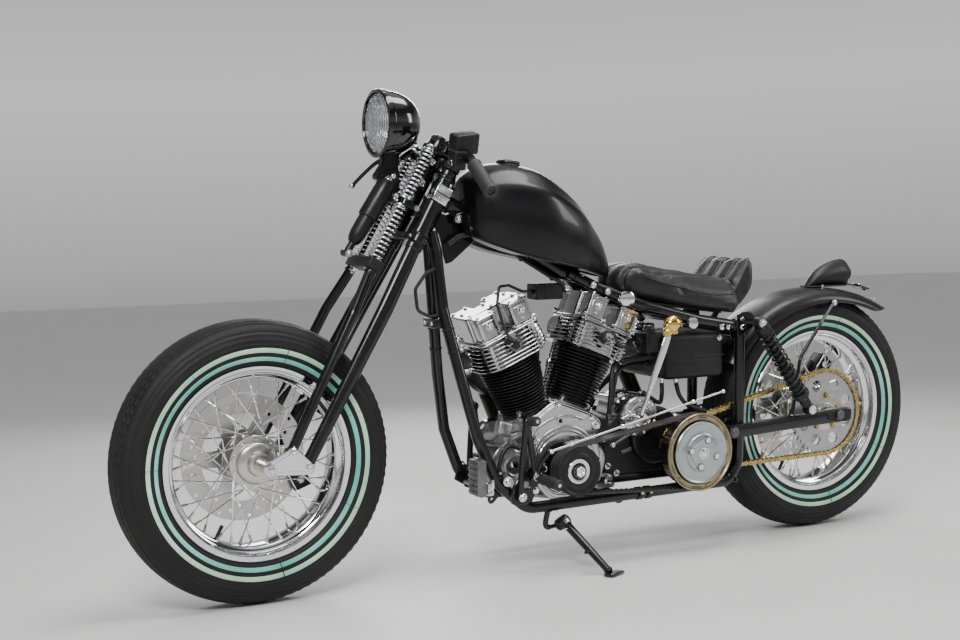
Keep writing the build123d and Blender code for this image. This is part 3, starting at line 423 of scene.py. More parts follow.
class Mesh:
    """Collects pieces of one object, in millimetres of the bike frame, with a material number each."""

    def __init__(self):
        self.v, self.f, self.m = [], [], []

    def add(self, vf, m=0):
        o = len(self.v)
        self.v.extend(vf[0])
        self.f.extend(tuple(i + o for i in q) for q in vf[1])
        self.m.extend([m] * len(vf[1]))
        return self

    def both(self, vf, m=0):
        self.add(vf, m)
        return self.add(mirrored(vf), m)

    def make(self, name, mats, body="chassis", repl=(), sharp=32, at=(0, 0, 0), slot=None, recalc=True):
        at = Vector(at)
        me = bpy.data.meshes.new(name)
        me.from_pydata([((Vector(p) - at) / 1000)[:] for p in self.v], [], self.f)
        for mt in (mats if isinstance(mats, (list, tuple)) else [mats]):
            me.materials.append(MATS[mt])
        me.polygons.foreach_set("material_index", self.m)
        me.validate()
        if recalc:
            bm = bmesh.new()
            bm.from_mesh(me)
            bmesh.ops.recalc_face_normals(bm, faces=bm.faces)
            bm.to_mesh(me)
            bm.free()
        me.polygons.foreach_set("use_smooth", [True] * len(me.polygons))
        me.set_sharp_from_angle(angle=radians(sharp))
        me.update()
        ob = bpy.data.objects.new(name, me)
        bpy.context.scene.collection.objects.link(ob)
        ob.matrix_world = B2R @ Matrix.Translation(at / 1000)
        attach(ob, body)
        if repl:
            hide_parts(*repl)
        return ob


def polar(c, r, a, y):
    """Point on a wheel: centre, radius, angle from forward towards up (rad), lateral."""
    return Vector((c[0] + r * cos(a), y, c[2] + r * sin(a)))

# ---------------------------------------------------------------------------
# Materials: every one is procedural, in the piece's own coordinates (metres)
# ---------------------------------------------------------------------------
MATS, SLOT_OF = {}, {}


class Mat:
    def __init__(self, name, slot):
        self.m = bpy.data.materials.new(name)
        self.m.use_nodes = True
        self.t = self.m.node_tree
        self.b = self.t.nodes["Principled BSDF"]
        self.tc = self.t.nodes.new("ShaderNodeTexCoord")
        MATS[name], SLOT_OF[name] = self.m, slot

    def n(self, kind, **kw):
        nd = self.t.nodes.new("ShaderNode" + kind)
        for k, v in kw.items():
            if k.startswith("i_"):
                nd.inputs[k[2:].replace("_", " ")].default_value = v
            else:
                setattr(nd, k, v)
        return nd

    def l(self, a, b):
        self.t.links.new(a, b)

    def set(self, **kw):
        for k, v in kw.items():
            self.b.inputs[k.replace("_", " ")].default_value = v

    def coord(self, scale=(1, 1, 1), rot=(0, 0, 0)):
        mp = self.n("Mapping")
        mp.inputs["Scale"].default_value = scale
        mp.inputs["Rotation"].default_value = rot
        self.l(self.tc.outputs["Object"], mp.inputs["Vector"])
        return mp.outputs["Vector"]

    def noise(self, scale, detail=3, rough=0.55, vec=None, dist=0.0):
        nd = self.n("TexNoise")
        nd.inputs["Scale"].default_value = scale
        nd.inputs["Detail"].default_value = detail
        nd.inputs["Roughness"].default_value = rough
        nd.inputs["Distortion"].default_value = dist
        self.l(vec or self.tc.outputs["Object"], nd.inputs["Vector"])
        return nd.outputs["Fac"]

    def vor(self, scale, vec=None, feature="F1"):
        nd = self.n("TexVoronoi")
        nd.feature = feature
        nd.inputs["Scale"].default_value = scale
        self.l(vec or self.tc.outputs["Object"], nd.inputs["Vector"])
        return nd.outputs["Distance"]

    def ramp(self, fac, stops):
        nd = self.n("ValToRGB")
        e = nd.color_ramp.elements
        while len(e) < len(stops):
            e.new(0.5)
        for el, (p, c) in zip(e, stops):
            el.position = p
            el.color = (*c, 1) if len(c) == 3 else c
        self.l(fac, nd.inputs["Fac"])
        return nd.outputs["Color"]

    def rng(self, fac, a, b, lo=0.0, hi=1.0):
        nd = self.n("MapRange")
        for k, v in zip(("From Min", "From Max", "To Min", "To Max"), (lo, hi, a, b)):
            nd.inputs[k].default_value = v
        self.l(fac, nd.inputs["Value"])
        return nd.outputs["Result"]

    def math(self, op, a, b=None, c=None):
        nd = self.n("Math", operation=op)
        for i, v in enumerate((a, b, c)):
            if v is None:
                continue
            if isinstance(v, (int, float)):
                nd.inputs[i].default_value = v
            else:
                self.l(v, nd.inputs[i])
        return nd.outputs[0]

    def mix(self, fac, a, b):
        nd = self.n("Mix", data_type="RGBA")
        if isinstance(fac, (int, float)):
            nd.inputs[0].default_value = fac
        else:
            self.l(fac, nd.inputs[0])
        for i, v in ((6, a), (7, b)):
            if isinstance(v, (tuple, list)):
                nd.inputs[i].default_value = (*v, 1)
            else:
                self.l(v, nd.inputs[i])
        return nd.outputs[2]

    def xyz(self, vec=None):
        nd = self.n("SeparateXYZ")
        self.l(vec or self.tc.outputs["Object"], nd.inputs[0])
        return nd.outputs

    def comb(self, x=0.0, y=0.0, z=0.0):
        nd = self.n("CombineXYZ")
        for i, v in enumerate((x, y, z)):
            if isinstance(v, (int, float)):
                nd.inputs[i].default_value = v
            else:
                self.l(v, nd.inputs[i])
        return nd.outputs[0]

    def color(self, out):
        self.l(out, self.b.inputs["Base Color"])

    def rough(self, out):
        self.l(out, self.b.inputs["Roughness"])

    def bump(self, *hs):
        """Heights with their strength and distance in mm, chained."""
        prev = None
        for h, st, mm in hs:
            nd = self.n("Bump")
            nd.inputs["Strength"].default_value = st
            nd.inputs["Distance"].default_value = mm / 1000
            self.l(h, nd.inputs["Height"])
            if prev:
                self.l(prev, nd.inputs["Normal"])
            prev = nd.outputs["Normal"]
        self.l(prev, self.b.inputs["Normal"])

    def up(self):
        """How far the surface faces upwards, 0 to 1."""
        s = self.n("SeparateXYZ")
        self.l(self.tc.outputs["Normal"], s.inputs[0])
        return self.rng(s.outputs[2], 0.0, 1.0, 0.35, 1.0)


def paint(name, slot, col, rough, dust=0.10, coat=0.0, orange=0.25, rvar=0.07, dustcol=(.20, .195, .18), spec=.30):
    """Black enamel: orange peel, faint smears, dust on what faces up."""
    m = Mat(name, slot)
    smear = m.noise(9, 5, 0.6, dist=0.6)
    fine = m.noise(140, 4, 0.6)
    d = m.math("MULTIPLY", m.math("MULTIPLY", m.up(), m.rng(m.noise(60, 6, 0.7), 0, 1, 0.38, 0.72)), dust)
    base = m.mix(m.rng(smear, 0, 1, .35, .7), col, tuple(c * 1.7 + .002 for c in col))
    m.color(m.mix(d, base, dustcol))
    r = m.math("ADD", m.rng(smear, rough - rvar, rough + rvar, .3, .7), m.math("MULTIPLY", d, 0.8))
    m.rough(m.math("ADD", r, m.rng(fine, -.02, .03)))
    m.set(Coat_Weight=coat, Coat_Roughness=0.06, Specular_IOR_Level=spec)
    m.bump((m.noise(520, 2, 0.5), orange, 0.12), (m.noise(2600, 2, .5), 0.10, 0.05))
    return m


def metal(name, slot, col, rough, rvar=0.06, var=0.12, scale=18, bump=0.08, bscale=900, tint=None, scratch=0.0,
          aniso=0.0, grime=0.0, cast=0.0):
    """Metal with smears, fine texture, scratches, cast skin or grime in patches."""
    m = Mat(name, slot)
    m.set(Metallic=1.0, Anisotropic=aniso)
    a = m.noise(scale, 5, 0.62, dist=0.5)
    dark = tuple(c * (1 - var) for c in col)
    base = m.mix(m.rng(a, 0, 1, .3, .7), dark, tint or col)
    rough_out = m.rng(a, rough - rvar, rough + rvar, .3, .72)
    hs = [(m.noise(bscale, 3, .6), bump, 0.10)]
    if cast:
        c1 = m.noise(1500, 4, .7)
        c2 = m.vor(800)
        hs.append((m.math("ADD", c1, m.math("MULTIPLY", c2, .6)), cast, 0.30))
        rough_out = m.math("ADD", rough_out, m.rng(c1, -.05, .08))
    if scratch:
        s = m.noise(40, 4, .8, vec=m.coord((60, 2.2, 3), (0.2, .5, .3)))
        s2 = m.noise(40, 4, .8, vec=m.coord((2.2, 3, 60), (0.3, -.4, .2)))
        sc = m.math("MAXIMUM", m.rng(s, 0, 1, .62, .70), m.rng(s2, 0, 1, .62, .70))
        rough_out = m.math("ADD", rough_out, m.math("MULTIPLY", sc, scratch))
        hs.append((sc, -0.10, 0.02))
    if grime:
        g = m.rng(m.noise(34, 7, .72, dist=1.0), 0, grime, .52, .78)
        base = m.mix(g, base, (.035, .028, .02))
        rough_out = m.math("ADD", rough_out, m.math("MULTIPLY", g, .55))
    m.color(base)
    m.rough(m.math("MAXIMUM", rough_out, 0.03))
    m.bump(*hs)
    return m


# paints
paint("frame_black", "black_frame", (.0035, .0035, .004), .20, dust=.06, coat=.30, orange=.18, spec=.28)
paint("fork_black", "black_frame", (.003, .003, .0035), .22, dust=.05, coat=.22, orange=.18, spec=.28)
paint("tank_black", "black_bodywork", (.0030, .0030, .0036), .30, dust=.03, coat=.16, orange=.08, rvar=.04, spec=.20)
paint("fender_black", "black_bodywork", (.005, .005, .006), .32, dust=.10, coat=.08, orange=.12, rvar=.05, spec=.26)
paint("bucket_black", "black_bodywork", (.002, .002, .0025), .10, dust=.04, coat=.6, orange=.08, rvar=.03, spec=.4)
paint("box_black", "black_bodywork", (.006, .006, .0065), .42, dust=.12, orange=.30, spec=.28)
paint("barrel_black", "black_barrel", (.006, .006, .0065), .38, dust=.07, orange=.45, rvar=.10, spec=.32)
paint("plastic_black", "black_plastic", (.006, .006, .0065), .42, dust=.10, orange=.50, rvar=.09, spec=.30)
paint("red_lens", "black_bodywork", (.30, .004, .006), .12, dust=.06, coat=.8, orange=.05, rvar=.03)
# metals
metal("chrome", "chrome", (.80, .80, .82), .055, rvar=.035, var=.10, scale=26, bump=.03, bscale=500, scratch=.10)
metal("chrome_worn", "chrome", (.80, .80, .81), .13, rvar=.06, var=.22, scale=40, bump=.06, bscale=800, scratch=.20, grime=.35)
metal("nickel", "chrome", (.66, .63, .57), .17, rvar=.06, var=.25, scale=30, bump=.05, bscale=700, scratch=.15, grime=.25)
metal("alloy_polished", "cast_alloy", (0.541, 0.541, 0.545), .17, rvar=.08, var=.22, scale=22, bump=.12, bscale=420, scratch=.18, grime=.30)
metal("alloy_cast", "cast_alloy", (.44, .44, .44), .34, rvar=.09, var=.25, scale=18, bump=.10, bscale=900, cast=.30, grime=.55)
metal("alloy_dark", "cast_alloy", (.22, .22, .22), .42, rvar=.09, var=.35, scale=20, bump=.10, bscale=900, cast=.40, grime=.8)
metal("steel", "steel", (.50, .50, .51), .28, rvar=.08, var=.20, scale=24, bump=.06, bscale=900, scratch=.15, grime=.25)
metal("steel_dark", "steel", (.16, .16, .165), .34, rvar=.08, var=.30, scale=24, bump=.08, bscale=900, scratch=.15, grime=.4)
metal("bare_rod", "steel", (.72, .72, .73), .12, rvar=.05, var=.10, scale=40, bump=.03, bscale=900, scratch=.10)
metal("brass", "brass_chain", (.62, .45, .15), .24, rvar=.08, var=.35, scale=60, bump=.06, bscale=900, grime=.5)
metal("chain_gold", "brass_chain", (.60, .44, .14), .27, rvar=.09, var=.40, scale=90, bump=.08, bscale=900, grime=.55)
metal("chain_steel", "brass_chain", (.30, .27, .20), .34, rvar=.09, var=.40, scale=90, bump=.08, bscale=900, grime=.8)
metal("gold", "gold", (.80, .56, .17), .16, rvar=.06, var=.22, scale=50, bump=.14, bscale=160, scratch=.12, grime=.35)
metal("zinc", "zinc_steel", (.40, .45, .44), .24, rvar=.08, var=.16, scale=30, bump=.06, bscale=700, scratch=.15, tint=(.60, .66, .58), grime=.20)
metal("drum_brown", "zinc_steel", (.105, .082, .060), .36, rvar=.08, var=.35, scale=34, bump=.08, bscale=900, scratch=.2, grime=.5)
metal("olive_steel", "zinc_steel", (.40, .34, .20), .34, rvar=.08, var=.35, scale=34, bump=.08, bscale=900, scratch=.2, grime=.55)
metal("exhaust_steel", "chrome", (.030, .029, .028), .34, rvar=.08, var=.40, scale=12, bump=.05, bscale=600, tint=(.045, .04, .036), scratch=.12, grime=.30)


def radial(name, slot, col, rough, lines=900, axis_y=True, var=.15, grime=.2, st=.25):
    """Turned or surface-ground metal: fine rings round the piece's own axle."""
    m = Mat(name, slot)
    m.set(Metallic=1.0, Anisotropic=0.35)
    x, y, z = m.xyz()
    r = m.math("SQRT", m.math("ADD", m.math("MULTIPLY", x, x), m.math("MULTIPLY", z, z)))
    rings = m.noise(lines, 3, .7, vec=m.comb(r, m.math("MULTIPLY", y, .05), 0.0))
    a = m.noise(20, 5, .6, dist=.6)
    base = m.mix(m.rng(rings, 0, 1, .3, .7), tuple(c * (1 - var) for c in col), col)
    g = m.rng(m.noise(36, 7, .7, dist=.8), 0, grime, .5, .78)
    m.color(m.mix(g, base, (.06, .05, .04)))
    m.rough(m.math("ADD", m.rng(rings, rough - .05, rough + .08, .3, .7), m.math("MULTIPLY", a, .10)))
    m.bump((rings, st, 0.04), (m.noise(700, 3, .6), .05, .05))
    return m


radial("disc_steel", "steel", (.62, .61, .57), .26, lines=700)
radial("sprocket_steel", "steel", (.46, .46, .475), .33, lines=260, st=.12, grime=.30)
radial("hub_nickel", "chrome", (.60, .58, .53), .22, lines=420, st=.35, grime=.30)
radial("zinc_turned", "zinc_steel", (.44, .50, .49), .25, lines=260, st=.2, grime=.2)


def tyre_mat():
    m = Mat("tyre_rubber", "black_tyre")
    x, y, z = m.xyz()
    a = m.noise(30, 6, .65, dist=.4)
    d = m.rng(m.noise(11, 5, .6), 0, .35, .42, .75)
    base = m.mix(a, (.0055, .0055, .0058), (.0125, .012, .0125))
    m.color(m.mix(d, base, (.030, .028, .026)))
    m.rough(m.math("ADD", m.rng(a, .46, .66, .3, .7), m.math("MULTIPLY", d, .3)))
    m.bump((m.noise(900, 3, .6), .25, .12), (m.noise(160, 3, .5), .12, .3))
    m.set(Specular_IOR_Level=.26)
    return m


def ring_mat(name, c1, c2, c3):
    """Pale moulded ring: tone wanders round the wheel, with scuffs and mould joints."""
    m = Mat(name, "black_tyre")
    x, y, z = m.xyz()
    ang = m.math("ARCTAN2", z, x)
    round_ = m.comb(m.math("COSINE", ang), m.math("SINE", ang), 0.0)
    big = m.noise(1.6, 3, .5, vec=round_)
    col = m.ramp(big, [(0.30, c1), (0.52, c2), (0.72, c3)])
    grime = m.rng(m.noise(60, 7, .75, dist=1.2), 0, .75, .60, .80)
    joint = m.math("LESS_THAN", m.math("ABSOLUTE", m.math("SUBTRACT", m.math("FRACT", m.math("MULTIPLY", m.math("ADD", ang, 4.0), 7 / (2 * pi))), .5)), .0065)
    dirt = m.math("MAXIMUM", grime, m.math("MULTIPLY", joint, m.rng(m.noise(8, 2), .2, 1, .4, .6)))
    m.color(m.mix(dirt, col, (.030, .036, .030)))
    m.rough(m.rng(m.noise(50, 5, .6), .34, .52))
    m.bump((m.noise(500, 3, .6), .12, .1), (joint, -.4, .4))
    return m


tyre_mat()
ring_mat("ring_outer", (.24, .50, .33), (.44, .68, .48), (.56, .78, .64))
ring_mat("ring_inner", (.08, .38, .30), (.17, .53, .44), (.33, .67, .60))


def rubber(name, slot, c1, c2, rough, rib=None):
    m = Mat(name, slot)
    a = m.noise(50, 5, .6)
    m.color(m.mix(a, c1, c2))
    m.rough(m.rng(m.noise(90, 4, .6), rough - .08, rough + .1))
    m.bump((m.noise(1400, 3, .6), .25, .10), (m.noise(260, 3, .5), .12, .2))
    m.set(Specular_IOR_Level=.45)
    return m


rubber("grip_rubber", "black_rubber", (.010, .010, .010), (.024, .023, .023), .58)
rubber("cable_black", "black_rubber", (.005, .005, .005), (.012, .012, .012), .44)
rubber("belt_rubber", "black_rubber", (.016, .013, .011), (.042, .034, .028), .55)
rubber("plug_cap", "black_rubber", (.007, .007, .007), (.018, .018, .018), .35)


def leather():
    m = Mat("leather", "black_leather")
    big = m.noise(13, 5, .6, dist=.5)
    peb = m.vor(620)
    peb2 = m.vor(310)
    crease = m.noise(60, 5, .7, vec=m.coord((1, 3.2, 2.0)), dist=1.5)
    worn = m.rng(m.noise(24, 6, .7, dist=.7), 0, 1, .45, .75)
    m.color(m.mix(worn, (.0045, .0045, .0055), (.012, .0115, .0125)))
    m.rough(m.math("ADD", m.rng(big, .30, .46, .3, .7), m.math("MULTIPLY", peb, .12)))
    m.set(Coat_Weight=.10, Coat_Roughness=.24, Sheen_Weight=.05, Specular_IOR_Level=.40)
    m.bump((crease, .18, .5), (m.math("ADD", peb, m.math("MULTIPLY", peb2, .5)), .32, .22), (m.noise(1800, 3, .6), .12, .08))
    return m


leather()


def thread():
    m = Mat("thread", "black_leather")
    m.color(m.mix(m.noise(900, 3, .6), (.012, .012, .012), (.05, .05, .052)))
    m.rough(m.rng(m.noise(300, 3), .55, .8))
    m.bump((m.noise(2500, 2, .6), .4, .1))


thread()


def glass():
    """Clear headlight glass with pressed flutes."""
    m = Mat("lens_glass", "lens")
    x, y, z = m.xyz()
    flute = m.math("ABSOLUTE", m.math("SINE", m.math("MULTIPLY", y, 520)))
    flute2 = m.math("ABSOLUTE", m.math("SINE", m.math("MULTIPLY", z, 160)))
    h = m.math("ADD", flute, m.math("MULTIPLY", flute2, .25))
    m.color(m.mix(m.noise(30, 3), (.93, .96, .97), (.99, .99, 1.0)))
    m.rough(m.rng(m.noise(40, 4), .0, .05))
    m.set(Transmission_Weight=1.0, IOR=1.47, Specular_IOR_Level=.6)
    m.bump((h, .55, 1.0), (m.noise(260, 3), .04, .1))
    return m


glass()


def reflector():
    m = Mat("reflector", "chrome")
    m.set(Metallic=.50)
    x, y, z = m.xyz()
    m.color(m.mix(m.noise(12, 3), (.90, .90, .92), (.97, .97, .98)))
    m.rough(m.rng(m.noise(30, 4), .05, .14))
    m.bump((m.noise(90, 2), .05, .4), (m.math("SINE", m.math("MULTIPLY", y, 300)), .06, .4))
    return m


reflector()


def floor_mat():
    m = Mat("floor_pale", "none")
    a = m.noise(1.7, 6, .6)
    b = m.noise(38, 6, .65)
    m.color(m.mix(m.math("ADD", m.math("MULTIPLY", a, .7), m.math("MULTIPLY", b, .3)), (.60, .597, .59), (.70, .698, .692)))
    m.rough(m.rng(b, .42, .6))
    m.bump((m.noise(140, 4, .6), .04, .5))
    return m


floor_mat()

# ---------------------------------------------------------------------------
# Wheels
# ---------------------------------------------------------------------------
SIDE_R = [(209.4, 44.5), (218.2, 45.6), (219.6, 50.0), (223.0, 52.0), (228.0, 54.3), (236.0, 57.8), (244.0, 60.8),
          (254.0, 63.4), (264.0, 64.7), (272.0, 64.8), (280.0, 63.7), (288.0, 61.6), (296.0, 58.0), (302.5, 53.6)]


def side_y(r):
    for (r0, y0), (r1, y1) in zip(SIDE_R, SIDE_R[1:]):
        if r <= r1:
            return y0 + (y1 - y0) * (r - r0) / (r1 - r0)
    return SIDE_R[-1][1]


def crown_r(y):
    """Tread radius at a lateral distance."""
    y = abs(y)
    tab = [(0, 318.9), (12, 318.3), (24, 316.6), (36, 313.4), (44, 309.8), (50, 305.6), (54, 302.0)]
    for (y0, r0), (y1, r1) in zip(tab, tab[1:]):
        if y <= y1:
            return r0 + (r1 - r0) * (y - y0) / (y1 - y0)
    return tab[-1][1]


def tyre(centre, body, name, node):
    cols = []       # (r, y, zigzag, material of the strip that follows)
    out = [(209.4, 0), (214, 0), (218.2, 0), (218.9, 0), (219.6, 0), (221.5, 0), (224, 0), (227.6, 0)]
    for r, m in out:
        cols.append((r, side_y(r) - (1.2 if r in (221.5,) else 0), 0, 0))
    for r, dy, m in ((228.9, -.5, 0), (229.1, .5, 2), (229.8, .9, 2), (234, .95, 2), (238.0, .9, 2), (238.7, .5, 0), (238.9, -.6, 0),
                     (243.5, -.6, 0), (247.9, -.6, 0), (248.1, .5, 1), (248.8, .9, 1), (253.2, .95, 1), (257.7, .9, 1),
                     (258.4, .5, 0), (258.6, -.5, 0), (262, -.3, 0), (265.2, -.2, 0), (266.0, .6, 0), (266.8, .6, 0), (267.6, -.2, 0),
                     (272, -.2, 0), (275.2, -.1, 0), (276, .5, 0), (277.4, .5, 0), (278.2, -.2, 0), (283, -.4, 0), (286.4, -.4, 0),
                     (287.2, .3, 0), (288.6, .3, 0), (289.4, -.5, 0), (293, -1.2, 0), (294.4, -.4, 0), (299, -.4, 0), (301.2, -.2, 0)):
        cols.append((r, side_y(r) + dy, 0, m))
    # shoulder and ribs with zigzag grooves
    for y in (52.6, 50.0):
        cols.append((crown_r(y), y, 0, 0))
    for g in (43.0, 30.0, 10.5):
        w = 1.9
        cols += [(crown_r(g + w + .5) - .2, g + w + .5, 2.1, 0), (crown_r(g + w) - .9, g + w, 2.1, 0),
                 (crown_r(g) - 5.6, g + w * .45, 2.1, 0), (crown_r(g) - 5.6, g - w * .45, 2.1, 0),
                 (crown_r(g - w) - .9, g - w, 2.1, 0), (crown_r(g - w - .5) - .2, g - w - .5, 2.1, 0)]
        if g == 30.0:
            for y in (21.4, 20.6, 19.4, 18.6):
                cols.append((crown_r(y) - (1.6 if y in (20.6, 19.4) else 0), y, 0, 0))
    cols.append((crown_r(3.2), 3.2, 0, 0))
    cols.append((crown_r(2.2) - 1.4, 2.2, 0, 0))
    full = [(r, y, z, m) for r, y, z, m in cols]
    mm = [c[3] for c in cols]
    for i in range(len(cols) - 1, -1, -1):
        r, y, z, m = cols[i]
        full.append((r, -y, -z, mm[i - 1] if i else 0))
    full += [(212, -38, 0, 0), (240, -50, 0, 0), (286, -50, 0, 0), (300, -30, 0, 0), (300, 30, 0, 0), (286, 50, 0, 0), (240, 50, 0, 0), (212, 38, 0, 0)]
    N = 184
    M_, nc = Mesh(), len(full)
    for k in range(N):
        a = 2 * pi * k / N
        s = 1 if k % 2 else -1
        for r, y, z, m in full:
            M_.v.append(Vector((centre.x + r * cos(a), y + (abs(z) * s if z else 0), centre.z + r * sin(a))))
    for k in range(N):
        k2 = (k + 1) % N
        for c in range(nc):
            c2 = (c + 1) % nc
            M_.f.append((k * nc + c, k2 * nc + c, k2 * nc + c2, k * nc + c2))
            M_.m.append(full[c][3])
    return M_.make(name, ["tyre_rubber", "ring_outer", "ring_inner"], body, [node], sharp=38, at=centre)


RIM_IN = [(208.9, 46.2), (216.8, 46.3), (218.0, 47.4), (218.0, 48.7), (217.0, 49.9), (215.2, 50.0), (212.5, 49.2), (209.5, 49.2), (206.4, 50.0),
          (204.6, 49.4), (203.7, 47.2), (203.1, 43.0), (202.6, 38.5), (201.8, 35.0), (199.6, 32.6), (195.5, 30.4), (191.2, 28.4),
          (188.9, 26.0), (187.9, 22.0), (187.0, 14.0), (186.4, 6.0), (186.2, 0.0)]
RIM_OUT = [(190.0, 0.0), (191.4, 18.0), (193.0, 22.5), (206.0, 30.5), (208.6, 36.0)]


def rim(centre, body, name, node):
    prof = RIM_IN + [(r, -y) for r, y in reversed(RIM_IN[:-1])] + [(r, -y) for r, y in reversed(RIM_OUT[1:])] + RIM_OUT
    g = Mesh().add(lathe(prof, centre, Y, 168, ring=True))
    # valve with its cap
    a = radians(-62)
    p, d = polar(centre, 187.5, a, 3), Vector((-cos(a), 0, -sin(a)))
    g.add(lathe([(0, -2), (6.5, -2), (6.5, .5), (4.2, 1.5), (4.2, 20), (3.2, 21), (3.2, 24), (0, 24)], p, d, 16), 1)
    g.add(lathe([(0, 21), (4.6, 21), (4.6, 30), (3.6, 32), (0, 32)], p, d, 12), 1)
    return g.make(name, ["chrome", "plastic_black"], body, [node], at=centre)


SPOKE_ROWS = lambda hy: [(hy + 5.0, 15, 1, 0), (hy - 5.0, 6, -1, 9), (-hy - 5.0, -15, 1, 18), (-hy + 5.0, -6, -1, 27)]


def hub_and_spokes(centre, body, name, node, left, right):
    g = Mesh()
    g.add(lathe(left + right, centre, Y, 72, ring=True), 1)
    for yh, yr, way, ph in SPOKE_ROWS(26.0):
        fl = 26.0 if yh > 0 else -26.0
        out = 1 if abs(yh) > 26 else -1
        sg = 1 if yh > 0 else -1
        for i in range(10):
            a = radians(ph + i * 36)
            b = a + way * radians(58)
            P, Q = polar(centre, 185.0, a, yr), polar(centre, 54.0, b, yh)
            d = (Q - P).normalized()
            elbow = Q - d * 4 + Vector((0, 0, 0))
            inner = Vector((Q.x, fl + sg * out * -3.6, Q.z)) + d * 2.5
            g.add(tube([P + d * 10, P + d * 60, elbow, Q + d * 1.2 - Y * (sg * out * .8), inner], 1.75, 8), 0)
            # spoke head on the other face of the flange
            g.add(uvball(Vector((inner.x, fl - sg * out * 3.4, inner.z)), 3.4, 10, 6, (1, .6, 1)), 0)
            # nipple: square shank, round shoulder against the rim
            g.add(lathe([(0, -3), (3.9, -3), (4.2, -1), (3.4, 1.5), (3.0, 3), (3.0, 13), (2.3, 15), (0, 15)], P, d, 10), 2)
    return g.make(name, ["chrome", "hub_nickel", "nickel"], body, [node], at=centre)


def brake_disc(centre, body, name, node, y):
    g = Mesh()
    c = (centre.x, centre.z)
    loops = [circle2(*c, 145.6, 120)]
    # six large windows between the carrier's arms
    for k in range(6):
        a = radians(60 * k + 30)
        n, w = [], radians(19.5)
        for j in range(9):
            t = a - w + 2 * w * j / 8
            n.append(Vector((c[0] + 100 * cos(t), c[1] + 100 * sin(t))))
        for j in range(7):
            t = a + w * .62 - 2 * w * .62 * j / 6
            n.append(Vector((c[0] + 64 * cos(t), c[1] + 64 * sin(t))))
        loops.append(n)
    for k in range(36):
        a = radians(10 * (k + .5))
        rr = (112, 124, 136)[k % 3]
        loops.append(circle2(c[0] + rr * cos(a), c[1] + rr * sin(a), 4.5, 12))
    loops.append(circle2(*c, 30.0, 40))
    g.add(xz(loops, y - 2.5, y + 2.5, .4), 0)
    g.add(lathe([(25.2, y - 2.4), (47, y - 3.4), (49, y - 2.6), (49, y + 2.6), (47, y + 3.4), (25.2, y + 2.4)], centre, Y, 48, ring=True), 1)
    for k in range(5):
        a = radians(72 * k + 18)
        g.add(capbolt(polar(centre, 39, a, y - 3.0), -Y, 5.2, 4.5), 2)
    return g.make(name, ["disc_steel", "alloy_polished", "bare_rod"], body, [node], at=centre)


FHUB_L = [(10.3, 58), (22.0, 58), (24.6, 57.2), (25, 56), (25, 51.5), (23.4, 51.0), (23.4, 49.2), (25.0, 48.6), (25.6, 46.2), (27.5, 44.2),
          (33.0, 43.0), (38.5, 41.4), (43.0, 39.2), (46.2, 36.2), (47.8, 33), (48.2, 29.8), (52, 29.3), (60.4, 29.0), (61.2, 28.2), (61.2, 23.8),
          (60.4, 23.0), (48, 22.6), (40, 21.4), (34.5, 19.0), (31.2, 15.0), (30.2, 9)]
FHUB_R = [(30.2, -9), (31.2, -15), (34.5, -19), (40, -21.4), (48, -22.6), (60.4, -23), (61.2, -23.8), (61.2, -28.2), (60.4, -29),
          (50, -29.4), (48.6, -33), (46, -37), (27, -38.4), (25, -40), (25, -69), (24, -70), (10.3, -70)]
RHUB_L = [(10.3, 94), (22.5, 94), (25, 93), (25, 87), (46, 86.6), (48, 86), (48, 78.2), (46, 78), (25, 77.6), (25, 52), (27.5, 46), (34, 43), (43, 39.2),
          (47.4, 34), (48.2, 29.8), (60.4, 29.0), (61.2, 28.2), (61.2, 23.8), (60.4, 23.0), (48, 22.6), (40, 21.4), (36, 17.0), (34.2, 9)]
RHUB_R = [(34.2, -9), (36, -17), (40, -21.4), (48, -22.6), (60.4, -23), (61.2, -23.8), (61.2, -28.2), (60.4, -29),
          (50, -29.4), (48.6, -33), (46, -37), (27, -38.4), (25, -40), (25, -77), (24, -78), (10.3, -78)]

tyre(FRONT, "front_wheel", "Front_tyre", "front_tyre")
tyre(REAR, "rear_wheel", "Rear_tyre", "rear_tyre")
rim(FRONT, "front_wheel", "Front_rim", "front_rim")
rim(REAR, "rear_wheel", "Rear_rim", "rear_rim")
hub_and_spokes(FRONT, "front_wheel", "Front_hub_spokes", "front_hub_and_spokes", FHUB_L, FHUB_R)
hub_and_spokes(REAR, "rear_wheel", "Rear_hub_spokes", "rear_hub_and_spokes", RHUB_L, RHUB_R)
brake_disc(FRONT, "front_wheel", "Front_brake_disc", "front_brake_disc", -60)
brake_disc(REAR, "rear_wheel", "Rear_brake_disc", "rear_brake_disc", -66)

# rear sprocket: 44 teeth, eight large holes, brass bolts
PITCH, RS, RF = 15.875, 111.3, 60.8


def tooth_ring(c, n, rp, tip, root, a0=0.0):
    pts = []
    for i in range(n):
        for f, r in ((0.0, root), (.16, root + .3), (.30, rp - 1.2), (.42, tip), (.58, tip), (.70, rp - 1.2), (.84, root + .3)):
            a = a0 + 2 * pi * (i + f) / n
            pts.append(Vector((c[0] + r * cos(a), c[1] + r * sin(a))))
    return pts


g = Mesh()
c = (REAR.x, REAR.z)
loops = [tooth_ring(c, 44, RS, RS + 3.6, RS - 5.2, pi)]
for k in range(8):
    a = radians(22.5 + 45 * k)
    loops.append(circle2(c[0] + 77 * cos(a), c[1] + 77 * sin(a), 15.5, 28))
loops.append(circle2(*c, 26, 36))
g.add(xz(loops, 78.9, 85.1, .7), 0)
for k in range(5):
    a = radians(72 * k + 20)
    g.add(hexbolt(polar(REAR, 46, a, 85.1), Y, 6.5, 5.5, turn=k), 1)
g.make("Rear_sprocket", ["sprocket_steel", "brass"], "rear_wheel", ["rear_sprocket"], at=REAR)


